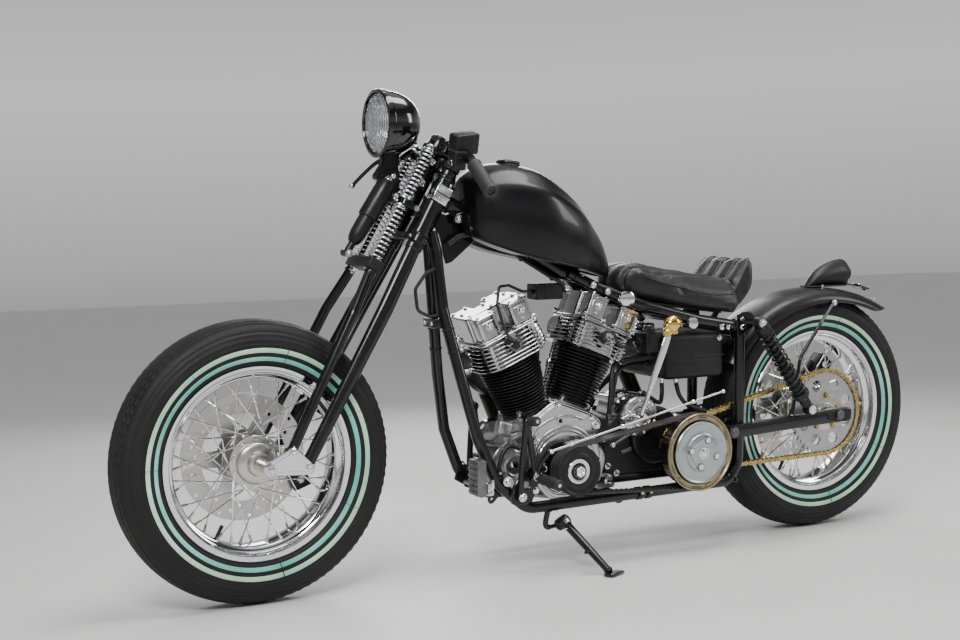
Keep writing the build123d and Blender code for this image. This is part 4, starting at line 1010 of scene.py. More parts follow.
# drive chain: 530 links round both sprockets
def belt_path(c1, r1, c2, r2, n):
    """n points at even spacing on the loop round two circles, starting at the back of circle 1."""
    d = hypot(c2[0] - c1[0], c2[1] - c1[1])
    t = atan2(c2[1] - c1[1], c2[0] - c1[0])
    al = acos((r1 - r2) / d)
    top, bot = t + al, t - al
    L = sqrt(d * d - (r1 - r2) ** 2)
    a_back = pi
    s1 = r1 * (a_back - top)                     # back of circle 1 clockwise to its top tangent
    s2 = r2 * (2 * al)
    s1b = r1 * ((bot + 2 * pi) - pi)
    total = s1 + L + s2 + L + s1b
    out = []
    for i in range(n):
        s = total * i / n
        if s < s1:
            a = a_back - s / r1
            p = Vector((c1[0] + r1 * cos(a), c1[1] + r1 * sin(a)))
            tg = a - pi / 2
        elif s < s1 + L:
            k = (s - s1)
            tg = top - pi / 2
            p = Vector((c1[0] + r1 * cos(top) + k * cos(tg), c1[1] + r1 * sin(top) + k * sin(tg)))
        elif s < s1 + L + s2:
            a = top - (s - s1 - L) / r2
            p = Vector((c2[0] + r2 * cos(a), c2[1] + r2 * sin(a)))
            tg = a - pi / 2
        elif s < s1 + 2 * L + s2:
            k = s - s1 - L - s2
            tg = bot - pi / 2
            p = Vector((c2[0] + r2 * cos(bot) + k * cos(tg), c2[1] + r2 * sin(bot) + k * sin(tg)))
        else:
            a = bot - (s - s1 - 2 * L - s2) / r1
            p = Vector((c1[0] + r1 * cos(a), c1[1] + r1 * sin(a)))
            tg = a - pi / 2
        out.append((p, tg))
    return out, total


_, chain_len = belt_path((REAR.x, REAR.z), RS, (CLUTCH.x, CLUTCH.z), RF, 10)
NL = int(round(chain_len / PITCH / 2)) * 2
pts, _ = belt_path((REAR.x, REAR.z), RS, (CLUTCH.x, CLUTCH.z), RF, NL)
g = Mesh()
for i in range(NL):
    p, q = pts[i][0], pts[(i + 1) % NL][0]
    d = (q - p)
    L = d.length
    d.normalize()
    n = Vector((-d.y, d.x))
    hw = 6.0
    shape = []
    for k in range(7):
        a = pi / 2 + pi * k / 6
        shape.append(p + (d * cos(a) + n * sin(a)) * hw)
    shape.append(p + d * L * .5 - n * hw * .66)
    for k in range(7):
        a = -pi / 2 + pi * k / 6
        shape.append(q + (d * cos(a) + n * sin(a)) * hw)
    shape.append(p + d * L * .5 + n * hw * .66)
    outer = i % 2
    ys = (7.0, 8.7) if outer else (5.1, 6.8)
    for sg in (1, -1):
        g.add(xz([shape], 82 + sg * ys[0], 82 + sg * ys[1], .35), 0 if outer else 2)
    g.add(lathe([(0, -5), (5.1, -5), (5.1, 5), (0, 5)], (p.x, 82, p.y), Y, 12), 1)
    g.add(lathe([(0, -9.9), (2.2, -9.9), (2.6, -9.4), (2.6, 9.4), (2.2, 9.9), (0, 9.9)], (p.x, 82, p.y), Y, 10), 1)
g.make("Drive_chain", ["chain_gold", "chain_steel", "brass"], "chassis", ["drive_chain"], at=(0, 82, 0))

# ---------------------------------------------------------------------------
# Springer fork
# ---------------------------------------------------------------------------
def oval_tube(pts, axesw, seg=20, side=Y):
    """Tube of oval section: (fore-aft, lateral) half axes at each point."""
    P = [Vector(p) for p in pts]
    V, F = [], []
    for i, p in enumerate(P):
        d = (P[min(i + 1, len(P) - 1)] - P[max(i - 1, 0)]).normalized()
        u = d.cross(side).normalized()
        v = d.cross(u).normalized()
        a, b = axesw[i]
        for k in range(seg):
            t = 2 * pi * k / seg
            V.append(p + u * cos(t) * a + v * sin(t) * b)
    n = seg
    for i in range(len(P) - 1):
        for k in range(n):
            k2 = (k + 1) % n
            F.append((i * n + k, i * n + k2, (i + 1) * n + k2, (i + 1) * n + k))
    F.append(tuple(reversed(range(n))))
    F.append(tuple(range((len(P) - 1) * n, len(P) * n)))
    return V, F


def lerp_rows(rows, s):
    for a, b in zip(rows, rows[1:]):
        if s <= b[0]:
            t = (s - a[0]) / (b[0] - a[0])
            return tuple(a[i] + (b[i] - a[i]) * t for i in range(len(a)))
    return rows[-1]


RIGID = [(-640.0, 33.0, 97.0, 14.4, 11.0), (-246.0, 25.0, 78.0, 19.0, 12.0), (-123.0, 25.0, 66.0, 18.6, 13.5), (112.0, 27.0, 52.0, 16.6, 14.6)]
g = Mesh()
for sg in (1, -1):
    ss = [-640, -600, -560, -500, -430, -360, -290, -262, -246, -228, -200, -160, -136, -123, -108, -60, 0, 60, 112]
    rows = [lerp_rows(RIGID, s) for s in ss]
    g.add(oval_tube([fork(s, n, sg * y) for s, n, y, a, b in rows], [(a, b) for _, _, _, a, b in rows]))
    e = fork(-640, 33, sg * 97)
    # bottom eye with its bush and lock ring
    g.add(lathe([(8, -11.8), (13.6, -11.8), (14.9, -10.6), (15.0, 10.6), (13.6, 11.8), (8, 11.8)], e, Y, 32, ring=True))
    g.add(lathe([(0, 11.6), (8.6, 11.6), (9.4, 12.2), (9.4, 13.0), (0, 13.0)], e, Y * sg, 24), 1)
    g.add(lathe([(0, 11.6), (8.6, 11.6), (9.4, 12.2), (9.4, 13.0), (0, 13.0)], e, Y * -sg, 24), 1)
    # neck of the eye and fillet collars under the lower crown
    g.add(oval_tube([fork(-640, 33, sg * 97), fork(-622, 32.6, sg * 96.1)], [(15, 11.6), (14.8, 11.2)]))
    for s0, s1, extra in ((-92, -78, 2.2), (-54, -44, 2.0), (88, 98, 2.2)):
        a, b = lerp_rows(RIGID, s0), lerp_rows(RIGID, s1)
        g.add(oval_tube([fork(a[0], a[1], sg * a[2]), fork(a[0] + 2, a[1], sg * a[2]), fork(b[0] - 2, b[1], sg * b[2]), fork(b[0], b[1], sg * b[2])],
                        [(a[3] + .4, a[4] + .4), (a[3] + extra, a[4] + extra), (b[3] + extra, b[4] + extra), (b[3] + .4, b[4] + .4)]))
    # top end plug with its cap nut
    t = lerp_rows(RIGID, 112)
    g.add(acorn(fork(111.5, 27, sg * 52), FORK_UP, 8.0, 4.0), 1)
# chrome clamp block on the left leg, with its pinch bolt and split line
M = axes(FORK_FWD, Y, FORK_UP)
c = fork(52, 25, 61)
g.add(box(c, (40, 32, 42), M, 2.6, 3), 1)
g.add(box(c + Y * 15.6, (41.5, 1.6, 3), M, .5, 1), 2)
for dz in (12, -12):
    g.add(capbolt(c + Y * 15.8 + FORK_UP * dz, Y, 5.0, 4.2), 1)
g.add(hexbolt(c + FORK_FWD * -20, -FORK_FWD, 5.2, 5), 1)
g.make("Fork_rigid_legs", ["fork_black", "chrome", "plastic_black"], "steering", ["fork_rigid_legs"])

g = Mesh()
SPR = [(-628.0, 81.0, 99.0), (-290.0, 91.0, 80.0), (-178.0, 90.0, 52.0)]
for sg in (1, -1):
    pts = rounded([fork(s, n, sg * y) for s, n, y in SPR], 60, 10)
    g.add(tube(pts, 11.8, 20))
    e = fork(-628, 81, sg * 99)
    g.add(lathe([(7, -10.8), (12.4, -10.8), (13.4, -9.8), (13.4, 9.8), (12.4, 10.8), (7, 10.8)], e, Y, 28, ring=True))
    # threaded end and lock nut where the leg enters the perch
    g.add(lathe([(0, 0), (13, 0), (14.2, 1.5), (14.2, 6), (13, 7.5), (0, 7.5)], fork(-190, 90, sg * 54.5), FORK_UP, 24))
    # guide rod with its thread, top cap and domed nut
    a = fork(-160, 90, sg * 40)
    g.add(lathe([(0, 0), (5.9, 0), (5.9, 284), (5.0, 285), (5.0, 296), (0, 296)], a, FORK_UP, 16), 2)
    g.add(lathe([(0, 0), (11.8, 0), (13.6, .8), (14.0, 2.4), (13.2, 3.8), (0, 3.8)], fork(129.6, 90, sg * 40), FORK_UP, 28), 1)
    g.add(acorn(fork(133, 90, sg * 40), FORK_UP, 9.0, 14.6), 1)
    g.add(lathe([(6.2, 0), (15.8, 0), (16.6, 1.0), (16.6, 2.2), (15.8, 3.2), (6.2, 3.2)], fork(0.2 + 3.2, 90, sg * 40), FORK_UP, 28, ring=True), 1)
    g.add(lathe([(6.2, 0), (15.8, 0), (16.6, .9), (15.8, 2.6), (6.2, 2.6)], fork(-15, 90, sg * 40), FORK_UP, 28, ring=True), 1)
    # lower studs: chrome hexagon, then thread
    g.add(hexbolt(fork(-179.5, 90, sg * 40), -FORK_UP, 8.6, 9.0), 1)
    g.add(stud(fork(-189, 90, sg * 40), -FORK_UP, 4.6, 6.6, 1.3), 1)
# perch block: stepped, with a plug each end
g.add(box(fork(-166, 90, 0), (33.6, 131.6, 25.6), M, 3.2, 3), 2)
g.add(box(fork(-155, 90, 0), (26, 110, 4.0), M, 1.4, 2), 2)
for sg in (1, -1):
    g.add(lathe([(0, 65), (8.5, 65), (8.5, 65.8), (7.2, 66.2), (0, 66.2)], fork(-166, 90, 0), Y * sg, 24), 2)
g.make("Fork_spring_legs", ["fork_black", "chrome", "plastic_black"], "steering", ["fork_spring_legs"])

g = Mesh()
for sg in (1, -1):
    g.add(helix(fork(-152.6, 90, sg * 40), fork(-12.4, 90, sg * 40), 14.6, 2.35, 13.0, 10, 24))
    g.add(helix(fork(3.6, 90, sg * 40), fork(129.4, 90, sg * 40), 14.6, 2.35, 12.5, 10, 24))
g.make("Fork_springs", ["chrome"], "steering", ["fork_springs"], sharp=60)


def crown_outline(n_leg, y_leg, r_stem, r_leg):
    """Outline round the stem and both legs, in (n, y)."""
    t = atan2(y_leg, n_leg)
    D = hypot(n_leg, y_leg)
    al = acos((r_stem - r_leg) / D)
    pts = []
    for k in range(10):                             # behind the stem
        a = t + al + (2 * pi - 2 * (t + al)) * k / 9
        pts.append((r_stem * cos(a), r_stem * sin(a)))
    pts = [(p[0], p[1]) for p in pts]
    for k in range(9):                              # right leg
        a = -(t + al) + (t + al) * k / 8
        pts.append((n_leg + r_leg * cos(a), -y_leg + r_leg * sin(a)))
    for k in range(9):                              # left leg
        a = (t + al) * k / 8
        pts.append((n_leg + r_leg * cos(a), y_leg + r_leg * sin(a)))
    return pts


def fork_plane(s, n=0.0, y=0.0):
    """Maps (n, y, h) to space, h along the stem from s."""
    return axes(FORK_FWD, Y, FORK_UP, fork(s, n, y))


g = Mesh()
g.add(bar(fork(-76, 0, 0), fork(124, 0, 0), 13, seg=28))
yl, yt = lerp_rows(RIGID, -66)[2], lerp_rows(RIGID, 104)[2]
g.add(plate([crown_outline(25, yl, 23.6, 20.6)], 0, 20, fork_plane(-76), 2.6))
g.add(plate([crown_outline(27, yt, 21.6, 19.6)], 0, 14, fork_plane(97), 2.2))
for sg in (1, -1):
    # raised collars round each leg, pinch bolts in the crown ends
    for s, h, y_, n_, r in ((-76, -4, yl, 25, 20), (-56, 4, yl, 25, 20), (111, 3.2, yt, 27, 18.8)):
        g.add(lathe([(15, 0), (r - 1, 0), (r - 1.4, h * .8), (r - 3, h), (15, h)], fork(s, n_, sg * y_), FORK_UP, 32, ring=True))
    for s in (-66, 104):
        g.add(capbolt(fork(s, 44, sg * (yl if s < 0 else yt)), FORK_FWD, 4.2, 4.0), 1)
# spring bridge: slot round the neck, bosses round the guides
hole = circle2(90, 40, 7.2, 20)
hole2 = circle2(90, -40, 7.2, 20)
outl = []
for cx_, cy_, a0 in ((87, 46, 0), (37, 46, pi / 2), (37, -46, pi), (87, -46, 1.5 * pi)):
    for k in range(6):
        a = a0 + pi / 2 * k / 5
        outl.append((cx_ + 14 * cos(a), cy_ + 14 * sin(a)))
w33 = [(33.6 * cos(a), 33.6 * sin(a)) for a in [radians(46 - 92 * k / 10) for k in range(11)]]
i0 = 12
outl = outl[:12] + [(23.4, 24.2)] + w33 + [(23.4, -24.2)] + outl[12:]
g.add(plate([outl, hole, hole2], 0, 15, fork_plane(-12), 2.0))
for sg in (1, -1):
    g.add(hexbolt(fork(-4.5, 101, sg * 22), FORK_FWD, 4.6, 4), 1)
    g.add(hexbolt(fork(-4.5, 60, sg * 60), Y * sg, 5.0, 4), 1)
# top nut: slotted collar, hexagon, domed plug
hexr = lambda a: 1.0 / max(cos(((a + pi / 6) % (pi / 3)) - pi / 6), 0.86) * 0.95
g.add(lathe([(0, 0), (18.6, 0), (19.6, 1), (19.6, 5), (18.6, 6), (0, 6)], fork(111, 0, 0), FORK_UP, 32), 0)
g.add(lathe([(0, 6), (17.6, 6), (17.6, 13.6), (16.2, 15.2), (12, 15.6), (10, 16.6), (0, 17)], fork(111, 0, 0), FORK_UP, 36, sq=hexr), 0)
g.make("Fork_stem", ["fork_black", "chrome"], "steering", ["fork_stem"])

# damper: sleeve over body, eyes, ball bolts
g = Mesh()
p0, p1, p2 = fork(28, 128, 0), fork(-72, 134, 0), fork(-140, 138, 0)
d = (p1 - p0).normalized()
L = (p1 - p0).length
g.add(lathe([(0, 0), (19, 0), (22.6, 2), (23.8, 5), (23.9, 30), (23.9, L - 6), (23.2, L - 1.5), (21.4, L), (19.6, L), (0, L)], p0, d, 48))
L2 = (p2 - p0).length
g.add(lathe([(0, L - 1), (19.7, L - 1), (19.8, L + 18), (19.2, L2 - 26), (17.2, L2 - 12), (12.6, L2 - 3), (9, L2), (0, L2)], p0, (p2 - p0), 40), 1)
g.add(bar(fork(-138, 138, 0), fork(-166, 140, 0), 8.6), 1)
g.add(bar(fork(27, 128, 0), fork(42, 127, 0), 10.6), 1)
for (s, n), hw, r in (((-166, 140), 22, 8.8), ((42, 127), 16, 9.8)):
    e = fork(s, n, 0)
    g.add(lathe([(0, -hw + 7), (r, -hw + 7), (r, hw - 7), (0, hw - 7)], e, Y, 24), 1)
    for sg in (1, -1):
        g.add(acorn(e + Y * sg * (hw - 7), Y * sg, r * .78, 6.8), 2)
g.make("Fork_damper", ["barrel_black", "plastic_black", "chrome"], "steering", ["fork_damper"])

# rockers
RP = [(1580.0, 319.0, 15.0), (fork(-628, 81, 0).x, fork(-628, 81, 0).z, 14.0), (fork(-640, 33, 0).x, fork(-640, 33, 0).z, 14.0)]


def hull_outline(circs, n=40):
    """Outline of the tangent hull of chained circles: union by sampling the hull."""
    P = []
    for x, z, r in circs:
        P += [(x + r * cos(2 * pi * k / n), z + r * sin(2 * pi * k / n)) for k in range(n)]
    P = sorted(set(P))

    def half(ps):
        h = []
        for p in ps:
            while len(h) > 1 and (h[-1][0] - h[-2][0]) * (p[1] - h[-2][1]) - (h[-1][1] - h[-2][1]) * (p[0] - h[-2][0]) <= 1e-9:
                h.pop()
            h.append(p)
        return h
    a, b = half(P), half(P[::-1])
    return a[:-1] + b[:-1]


g = Mesh()
for sg in (1, -1):
    # solid forged plate through the three pivots, with a shallow raised field
    g.add(xz([hull_outline([(x, z, r) for x, z, r in RP])], sg * 110.7, sg * 121.3, 2.6))
    g.add(xz([hull_outline([(x + (1545 - x) * .16, z + (328 - z) * .16, r - 6.5) for x, z, r in RP])], sg * 121.0, sg * 122.2, 1.0))
    for x, z, r in RP[1:]:
        c = Vector((x, sg * 121.2, z))
        g.add(lathe([(0, 0), (11.4, 0), (12.2, .8), (12.2, 1.8), (10.6, 2.6), (0, 2.6)], c, Y * sg, 28))
        g.add(acorn(c + Y * sg * 1.6, Y * sg, 7.6, 7.4))
        g.add(lathe([(0, 0), (1.4, 0), (1.4, 2.5), (2.0, 3.2), (1.4, 4.6), (0, 4.8)], Vector((x, sg * 116, z)) + Z * 13, Z, 8), 1)
    # axle nut stack outside, ribbed spacer inside
    A = Vector((FRONT.x, sg * 121.2, FRONT.z))
    g.add(lathe([(0, 0), (14.6, 0), (15.2, .8), (15.2, 1.8), (0, 1.8)], A, Y * sg, 32))
    g.add(lathe([(0, 1.8), (12.6, 1.8), (12.6, 8.4), (11.4, 9.6), (0, 9.6)], A, Y * sg, 36, sq=hexr))
    g.add(lathe([(0, 9.0), (9.4, 9.0), (9.6, 11), (8.4, 13.6), (5, 14.6), (0, 14.8)], A, Y * sg, 24), 1)
    in_ = 60.0 if sg > 0 else 72.0
    prof = [(10.6, in_), (14.2, in_), (14.8, in_ + .8)]
    y_ = in_ + 4
    while y_ < 104:
        prof += [(14.8, y_), (13.6, y_ + .8), (13.6, y_ + 1.8), (14.8, y_ + 2.6)]
        y_ += 9.5
    prof += [(14.8, 109.8), (14.0, 110.5), (10.6, 110.5)]
    g.add(lathe(prof, (FRONT.x, 0, FRONT.z), Y * sg, 36, ring=True), 2)
g.add(lathe([(0, -134), (9.2, -134), (9.9, -133), (9.9, 133), (9.2, 134), (0, 134)], FRONT, Y, 24), 1)
g.make("Fork_rockers", ["chrome", "bare_rod", "nickel"], "steering", ["fork_rockers"])

# front brake caliper: two halves bolted, pads, pistons, carrier arm
cal = Vector((FRONT.x - 124, -59, FRONT.z - 44))
Mc = Matrix.Rotation(radians(19), 4, "Y")
g = Mesh()
CX = (Mc @ Vector((1, 0, 0))).normalized()
CZ = (Mc @ Vector((0, 0, 1))).normalized()
for sg in (1, -1):
    g.add(box(cal + Y * sg * 13.8, (43, 11.6, 81), Mc, 3.4, 3))
    for k in (-1, 1):
        g.add(lathe([(0, 19.4), (15.5, 19.4), (16.2, 18.8), (16.2, 16), (0, 16)], cal + CZ * k * 19, Y * sg, 28))
        g.add(lathe([(0, 19.6), (9.0, 19.6), (9.4, 19.2), (9.4, 18), (0, 18)], cal + CZ * k * 19, Y * sg, 24), 1)
    g.add(box(cal + Y * sg * 6.2 + CX * 4, (30, 3.2, 62), Mc, .8, 1), 2)
for k in (-1, 1):
    g.add(box(cal - CX * 17.6 + CZ * k * 32, (7.6, 39, 15), Mc, 2.2, 2))
    g.add(capbolt(cal - CX * 17 + CZ * k * 34 - Y * 19.4, -Y, 4.4, .5), 1)
g.add(box(cal - CX * 19, (4.8, 39, 30), Mc, 1.6, 2))
g.add(lathe([(0, 0), (5.5, 0), (5.5, 3), (4, 4), (4, 9), (2.2, 10), (2.2, 14), (0, 14)], cal - CX * 8 + CZ * 33 + Y * 6, CZ, 14), 1)
arm = hull_outline([(FRONT.x, FRONT.z, 19.8), (cal.x + 4, cal.z, 13.8)])
g.add(xz([arm, circle2(FRONT.x, FRONT.z, 15.4, 30), circle2(FRONT.x - 62, FRONT.z - 22, 7, 20), circle2(FRONT.x - 40, FRONT.z - 14, 5.2, 18),
          circle2(FRONT.x - 84, FRONT.z - 29, 5.2, 18)], -79.8, -73.2, 1.0), 1)
g.add(hexbolt(Vector((cal.x + 14, -79.6, cal.z + 3)), -Y, 6.0, 5), 1)
g.make("Front_brake_caliper", ["box_black", "bare_rod", "steel_dark"], "steering", ["front_brake_caliper"])

# ---------------------------------------------------------------------------
# Controls
# ---------------------------------------------------------------------------
BAR_L = [(1106, 0, 1006), (1106, 106, 1006), (1118, 180, 984), (1131, 296, 914)]


def bar_at(t, side=1):
    a, b = Vector(BAR_L[2]), Vector(BAR_L[3])
    p = a + (b - a) * t
    return Vector((p.x, side * p.y, p.z))


g = Mesh()
pts = [Vector((x, -y, z)) for x, y, z in reversed(BAR_L[1:])] + [Vector(p) for p in BAR_L[1:]]
g.add(tube(rounded(pts, 40, 10), 12.6, 24))
BF = (Matrix.Rotation(radians(-30), 4, "Y"))
BX, BZ = (BF @ Vector((1, 0, 0))).normalized(), (BF @ Vector((0, 0, 1))).normalized()
for sg in (1, -1):
    c = Vector((1104, sg * 51, 1006))
    # riser: domed black cylinder standing on the leg, bar clamp cap with two screws
    base = fork(113, 27, sg * 52)
    dome = [(22.6 * cos(t), 33 + 15 * sin(t)) for t in [k * pi / 16 for k in range(8)]]
    g.add(lathe([(0, .4), (21.4, .4), (22.6, 1.6), (22.8, 14), (22.8, 30)] + dome + [(0, 48)], base, FORK_UP, 40))
    g.add(box(c - BZ * 8, (43.6, 33.6, 23.6), BF, 4, 3))
    g.add(box(c + BZ * 11, (43.6, 33.6, 16.0), BF, 5, 4))
    for k in (1, -1):
        g.add(capbolt(c + BZ * 17.6 + BX * k * 15, BZ, 4.6, 2.2), 1)
# headlight bracket: forged block with ribs, bolt, ball stud up to the bucket
hb = fork(96, 62, 0)
g.add(box(hb + FORK_UP * 4, (28, 42, 86), M, 4, 3))
g.add(box(hb + FORK_UP * -34, (29, 43.5, 24), M, 3, 3))
for sg in (1, -1):
    g.add(hexbolt(hb + Y * sg * 21 + FORK_UP * 22, Y * sg, 6.0, 5), 1)
    g.add(hexbolt(hb + Y * sg * 21.6 + FORK_UP * -34, Y * sg, 6.6, 5), 1)
g.add(lathe([(0, 0), (13.6, 0), (13.8, 20), (12.4, 26), (10.6, 34), (11.4, 42), (0, 44)], fork(122, 66, 0), Vector((1196, 0, 1004)) - fork(122, 66, 0), 28))
g.add(lathe([(0, 0), (19, 0), (20.5, 2), (20.5, 5), (17.5, 8), (12, 9.5), (0, 10)], Vector((1196, 0, 1004)) - Vector((6, 0, 7)), Vector((.62, 0, .78)), 32))
g.make("Handlebar", ["fork_black", "chrome"], "steering", ["handlebar"])

# grips: ribbed rubber with a flange inside and an end ring
g = Mesh()
for sg in (1, -1):
    a, b = bar_at(.16, sg), bar_at(1.03, sg)
    d = (b - a).normalized()
    L = (b - a).length
    prof = [(12.8, .2), (16.4, .2), (16.9, 1.2), (16.9, 4.6), (15.8, 6.2)]
    y_ = 8.0
    while y_ < L - 16:
        prof += [(15.6, y_), (15.9, y_ + .4), (15.9, y_ + 1.6), (15.6, y_ + 2.0)]
        y_ += 3.0
    prof += [(15.8, L - 13), (16.8, L - 11), (16.9, L - 4), (16.2, L - 1.2), (14.4, L), (9.0, L), (8.0, L - 1.2), (7.6, L - 6), (0, L - 6.4)]
    g.add(lathe([(0, .2)] + prof, a, d, 40))
g.make("Handlebar_grips", ["grip_rubber"], "steering", ["handlebar_grips"], sharp=50)

# hand controls: ribbed switch housings on the left, master cylinder and lever on the right
g = Mesh()
Ms = Matrix.Rotation(radians(-14), 4, "X")
SX, SY, SZ = X, (Ms @ Y), (Ms @ Z)
c1 = Vector((1118, 146, 1025))
V_, F_ = box((0, 0, 0), (57.6, 43.6, 47.6), None, 5.0, 4)
V_ = [Vector((v.x, v.y, v.z + (0 if v.z < 0 else -max(0, v.x - 4) * .30))) for v in V_]
g.add(moved((V_, F_), Matrix.Translation(c1) @ Ms))
g.add(box(c1 + SY * 21.6 + SX * 2 - SZ * 1, (44, 1.6, 30), Ms, .7, 2), 1)
g.add(box(c1 + SY * 22.0 - SX * 12, (12, 1.4, 16), Ms, .6, 2), 0)
g.add(box(c1 + SY * 22.0 + SX * 10, (12, 1.4, 16), Ms, .6, 2), 0)
g.add(box(c1 - SZ * 2 + SX * 0, (58.0, 44.0, 1.2), Ms, .4, 1), 1)
for k in (-1, 1):
    g.add(capbolt(c1 + SY * k * 12 + SX * -28.4 + SZ * 10, -SX, 3.4, .6), 2)
c2 = Vector((1136, 148, 986))
V_, F_ = box((0, 0, 0), (31.6, 37.6, 43.6), None, 5.0, 4)
g.add(moved((V_, F_), Matrix.Translation(c2) @ Ms))
g.add(lathe([(0, 0), (7.4, 0), (7.8, .8), (7.4, 2), (0, 2.4)], c2 + SX * 15.0 - SZ * 8, SX, 24), 2)
g.add(lathe([(0, 0), (5.6, 0), (6.0, .8), (5.2, 2.0), (0, 2.6)], c2 + SY * 18.2 + SX * 2 + SZ * 3, SY, 20), 3)
g.add(box(c2 - SZ * 21.4, (20, 24, 2.6), Ms, 1, 2), 1)
# right: reservoir with lid and two screws, round body, clamp
Mr = Matrix.Rotation(radians(14), 4, "X")
RY, RZ = (Mr @ Y), (Mr @ Z)
c3 = Vector((1128, -150, 1016))
g.add(box(c3 + RZ * 2, (58, 47, 30), Mr, 6, 4))
g.add(box(c3 + RZ * 18.6, (59.6, 49.6, 5.6), Mr, 2, 3), 1)
for i in (1, -1):
    for j in (1, -1):
        g.add(capbolt(c3 + RZ * 21.0 + X * i * 22 + RY * j * 17, RZ, 3.2, .9), 2)
g.add(box(c3 + RZ * 21.4, (34, 22, .8), Mr, .3, 1), 0)
g.add(lathe([(0, -24), (12, -24), (13, -22), (13, 20), (11, 24), (0, 24)], c3 - RZ * 8 + X * 12, RY, 28))
g.add(lathe([(0, 0), (9, 0), (9, 5), (6, 7), (0, 7)], c3 - RZ * 8 + X * 12 - RY * 16, -RY, 20), 2)
g.add(box(c3 - RZ * 15 + X * 22, (14, 22, 12), Mr, 2.5, 2))
lv = smooth([(1152, -168, 1004), (1170, -184, 992), (1186, -197, 980), (1200, -234, 955), (1212, -268, 930)], 5)
rad = [6.0 - 1.2 * min(1, i / 12) for i in range(len(lv))]
g.add(tube(lv, rad, 16, flat=.62), 0)
g.add(uvball((1212, -272, 928), 8.6, 20, 12), 2)
g.add(lathe([(0, -7), (5, -7), (5.6, -6), (5.6, 6), (5, 7), (0, 7)], (1153, -168, 1003), RZ, 18), 2)
g.make("Hand_controls", ["plastic_black", "box_black", "chrome_worn", "box_black"], "steering", ["hand_controls"])

# ---------------------------------------------------------------------------
# Headlight
# ---------------------------------------------------------------------------
H = Vector((1262, 0, 1070))
g = Mesh()
outer = [(0, -98.6), (9, -98.0), (22, -95.4), (34, -91.2), (44, -85.4), (53, -77.4), (61, -67.4), (67, -56), (71.6, -43), (74.6, -28), (76.2, -14),
         (76.4, -10.6), (78.2, -9.6), (78.8, -8), (78.8, -2)]
ring = [(78.8, -2), (78.9, 4.4), (78.0, 6.6), (75.6, 8.0), (72.6, 8.0), (71.2, 6.2), (70.4, 2.6), (70.2, 0.2)]
inner = [(70.2, 0.2), (68.2, -14), (63, -34), (56.2, -52), (48, -64), (38.2, -74), (20, -81), (0, -83.6)]
g.add(lathe(outer, H, X, 72), 0)
g.add(lathe(ring, H, X, 72), 1)
g.add(lathe(inner, H, X, 72), 2)
# bulb shield and two retaining screws
g.add(lathe([(0, -60), (11, -60), (12.5, -54), (12, -42), (9, -38), (0, -36.5)], H, X, 28), 3)
for a in (radians(-90), radians(60), radians(180)):
    p = H + Vector((2, 78.0 * cos(a), 78.0 * sin(a)))
    g.add(capbolt(p, Vector((0, cos(a), sin(a))), 3.0, 1.0), 3)
g.make("Headlight_bucket", ["bucket_black", "bucket_black", "reflector", "chrome"], "steering", ["headlight_bucket"])
g = Mesh()
lens = [(0, 16.6), (12, 16.2), (24, 15.2), (36, 13.2), (48, 10.3), (58, 7.2), (66, 4.0), (69.8, 2.2), (69.8, .4), (60, 1.8), (48, 6.2), (36, 9.4), (24, 11.6), (12, 12.8), (0, 13.2)]
V_, F_ = lathe(lens, H, X, 96)
# prisms moulded in the inner face: vertical flutes with a plain centre band
V2 = []
for v in V_:
    w = v - H
    rr = hypot(w.y, w.z)
    if rr < 67 and w.x < 14.6 - rr * .12:
        v = v + X * (.7 * sin(w.y * .9) * (1 if abs(w.z) > 12 else .25))
    V2.append(v)
g.add((V2, F_))
g.make("Headlight_lens", ["lens_glass"], "steering", ["headlight_lens"], sharp=70)

# round riser cap above the bridge, and the forged plate that carries the headlight and the damper
g = Mesh()
g.add(lathe([(0, 0), (20, 0), (22.5, 2.4), (25.0, 8), (25.2, 38), (23.6, 43), (21.0, 45), (18.6, 45.4), (17.4, 44.2), (16, 43.6), (0, 43.2)], fork(137, 58, 0), FORK_UP, 48))
g.add(lathe([(0, 43), (7.6, 43), (7.6, 45.6), (6.4, 46.6), (3.4, 46.8), (2.8, 45), (0, 45)], fork(137, 58, 0), FORK_UP, 24))
g.add(lathe([(24.4, 15), (26.0, 16), (26.0, 18), (24.4, 19)], fork(137, 58, 0), FORK_UP, 48, ring=True))
g.make("Riser_cap", ["fork_black"], "steering", [])
g = Mesh()
g.add(xz([[(1253, 1000), (1214, 1000), (1216, 971), (1213, 916), (1222, 912), (1249, 927), (1274, 943), (1276, 951), (1260, 974)]], -11, 11, 3.0), 0)
g.add(xz([[(1248, 966), (1224, 966), (1222, 930), (1246, 938), (1264, 950)]], -12.4, 12.4, 1.4), 0)
for sg in (1, -1):
    g.add(lathe([(0, 0), (10.4, 0), (10.8, .8), (10.8, 2.0), (0, 2.0)], (1243, sg * 12.2, 941), Y * sg, 30), 1)
    g.add(acorn((1243, sg * 13.8, 941), Y * sg, 8.0, 6.6), 1)
g.make("Headlight_post", ["fork_black", "chrome"], "steering", [])

# ---------------------------------------------------------------------------
# Engine
# ---------------------------------------------------------------------------
def eng_axes4(side, d=0.0, w=0.0, y=0.0):
    """Maps (across, lateral, along) of one cylinder to space."""
    out, ac = eng_axes(side)
    return axes(ac, Y, out, eng(d, y, w, side))


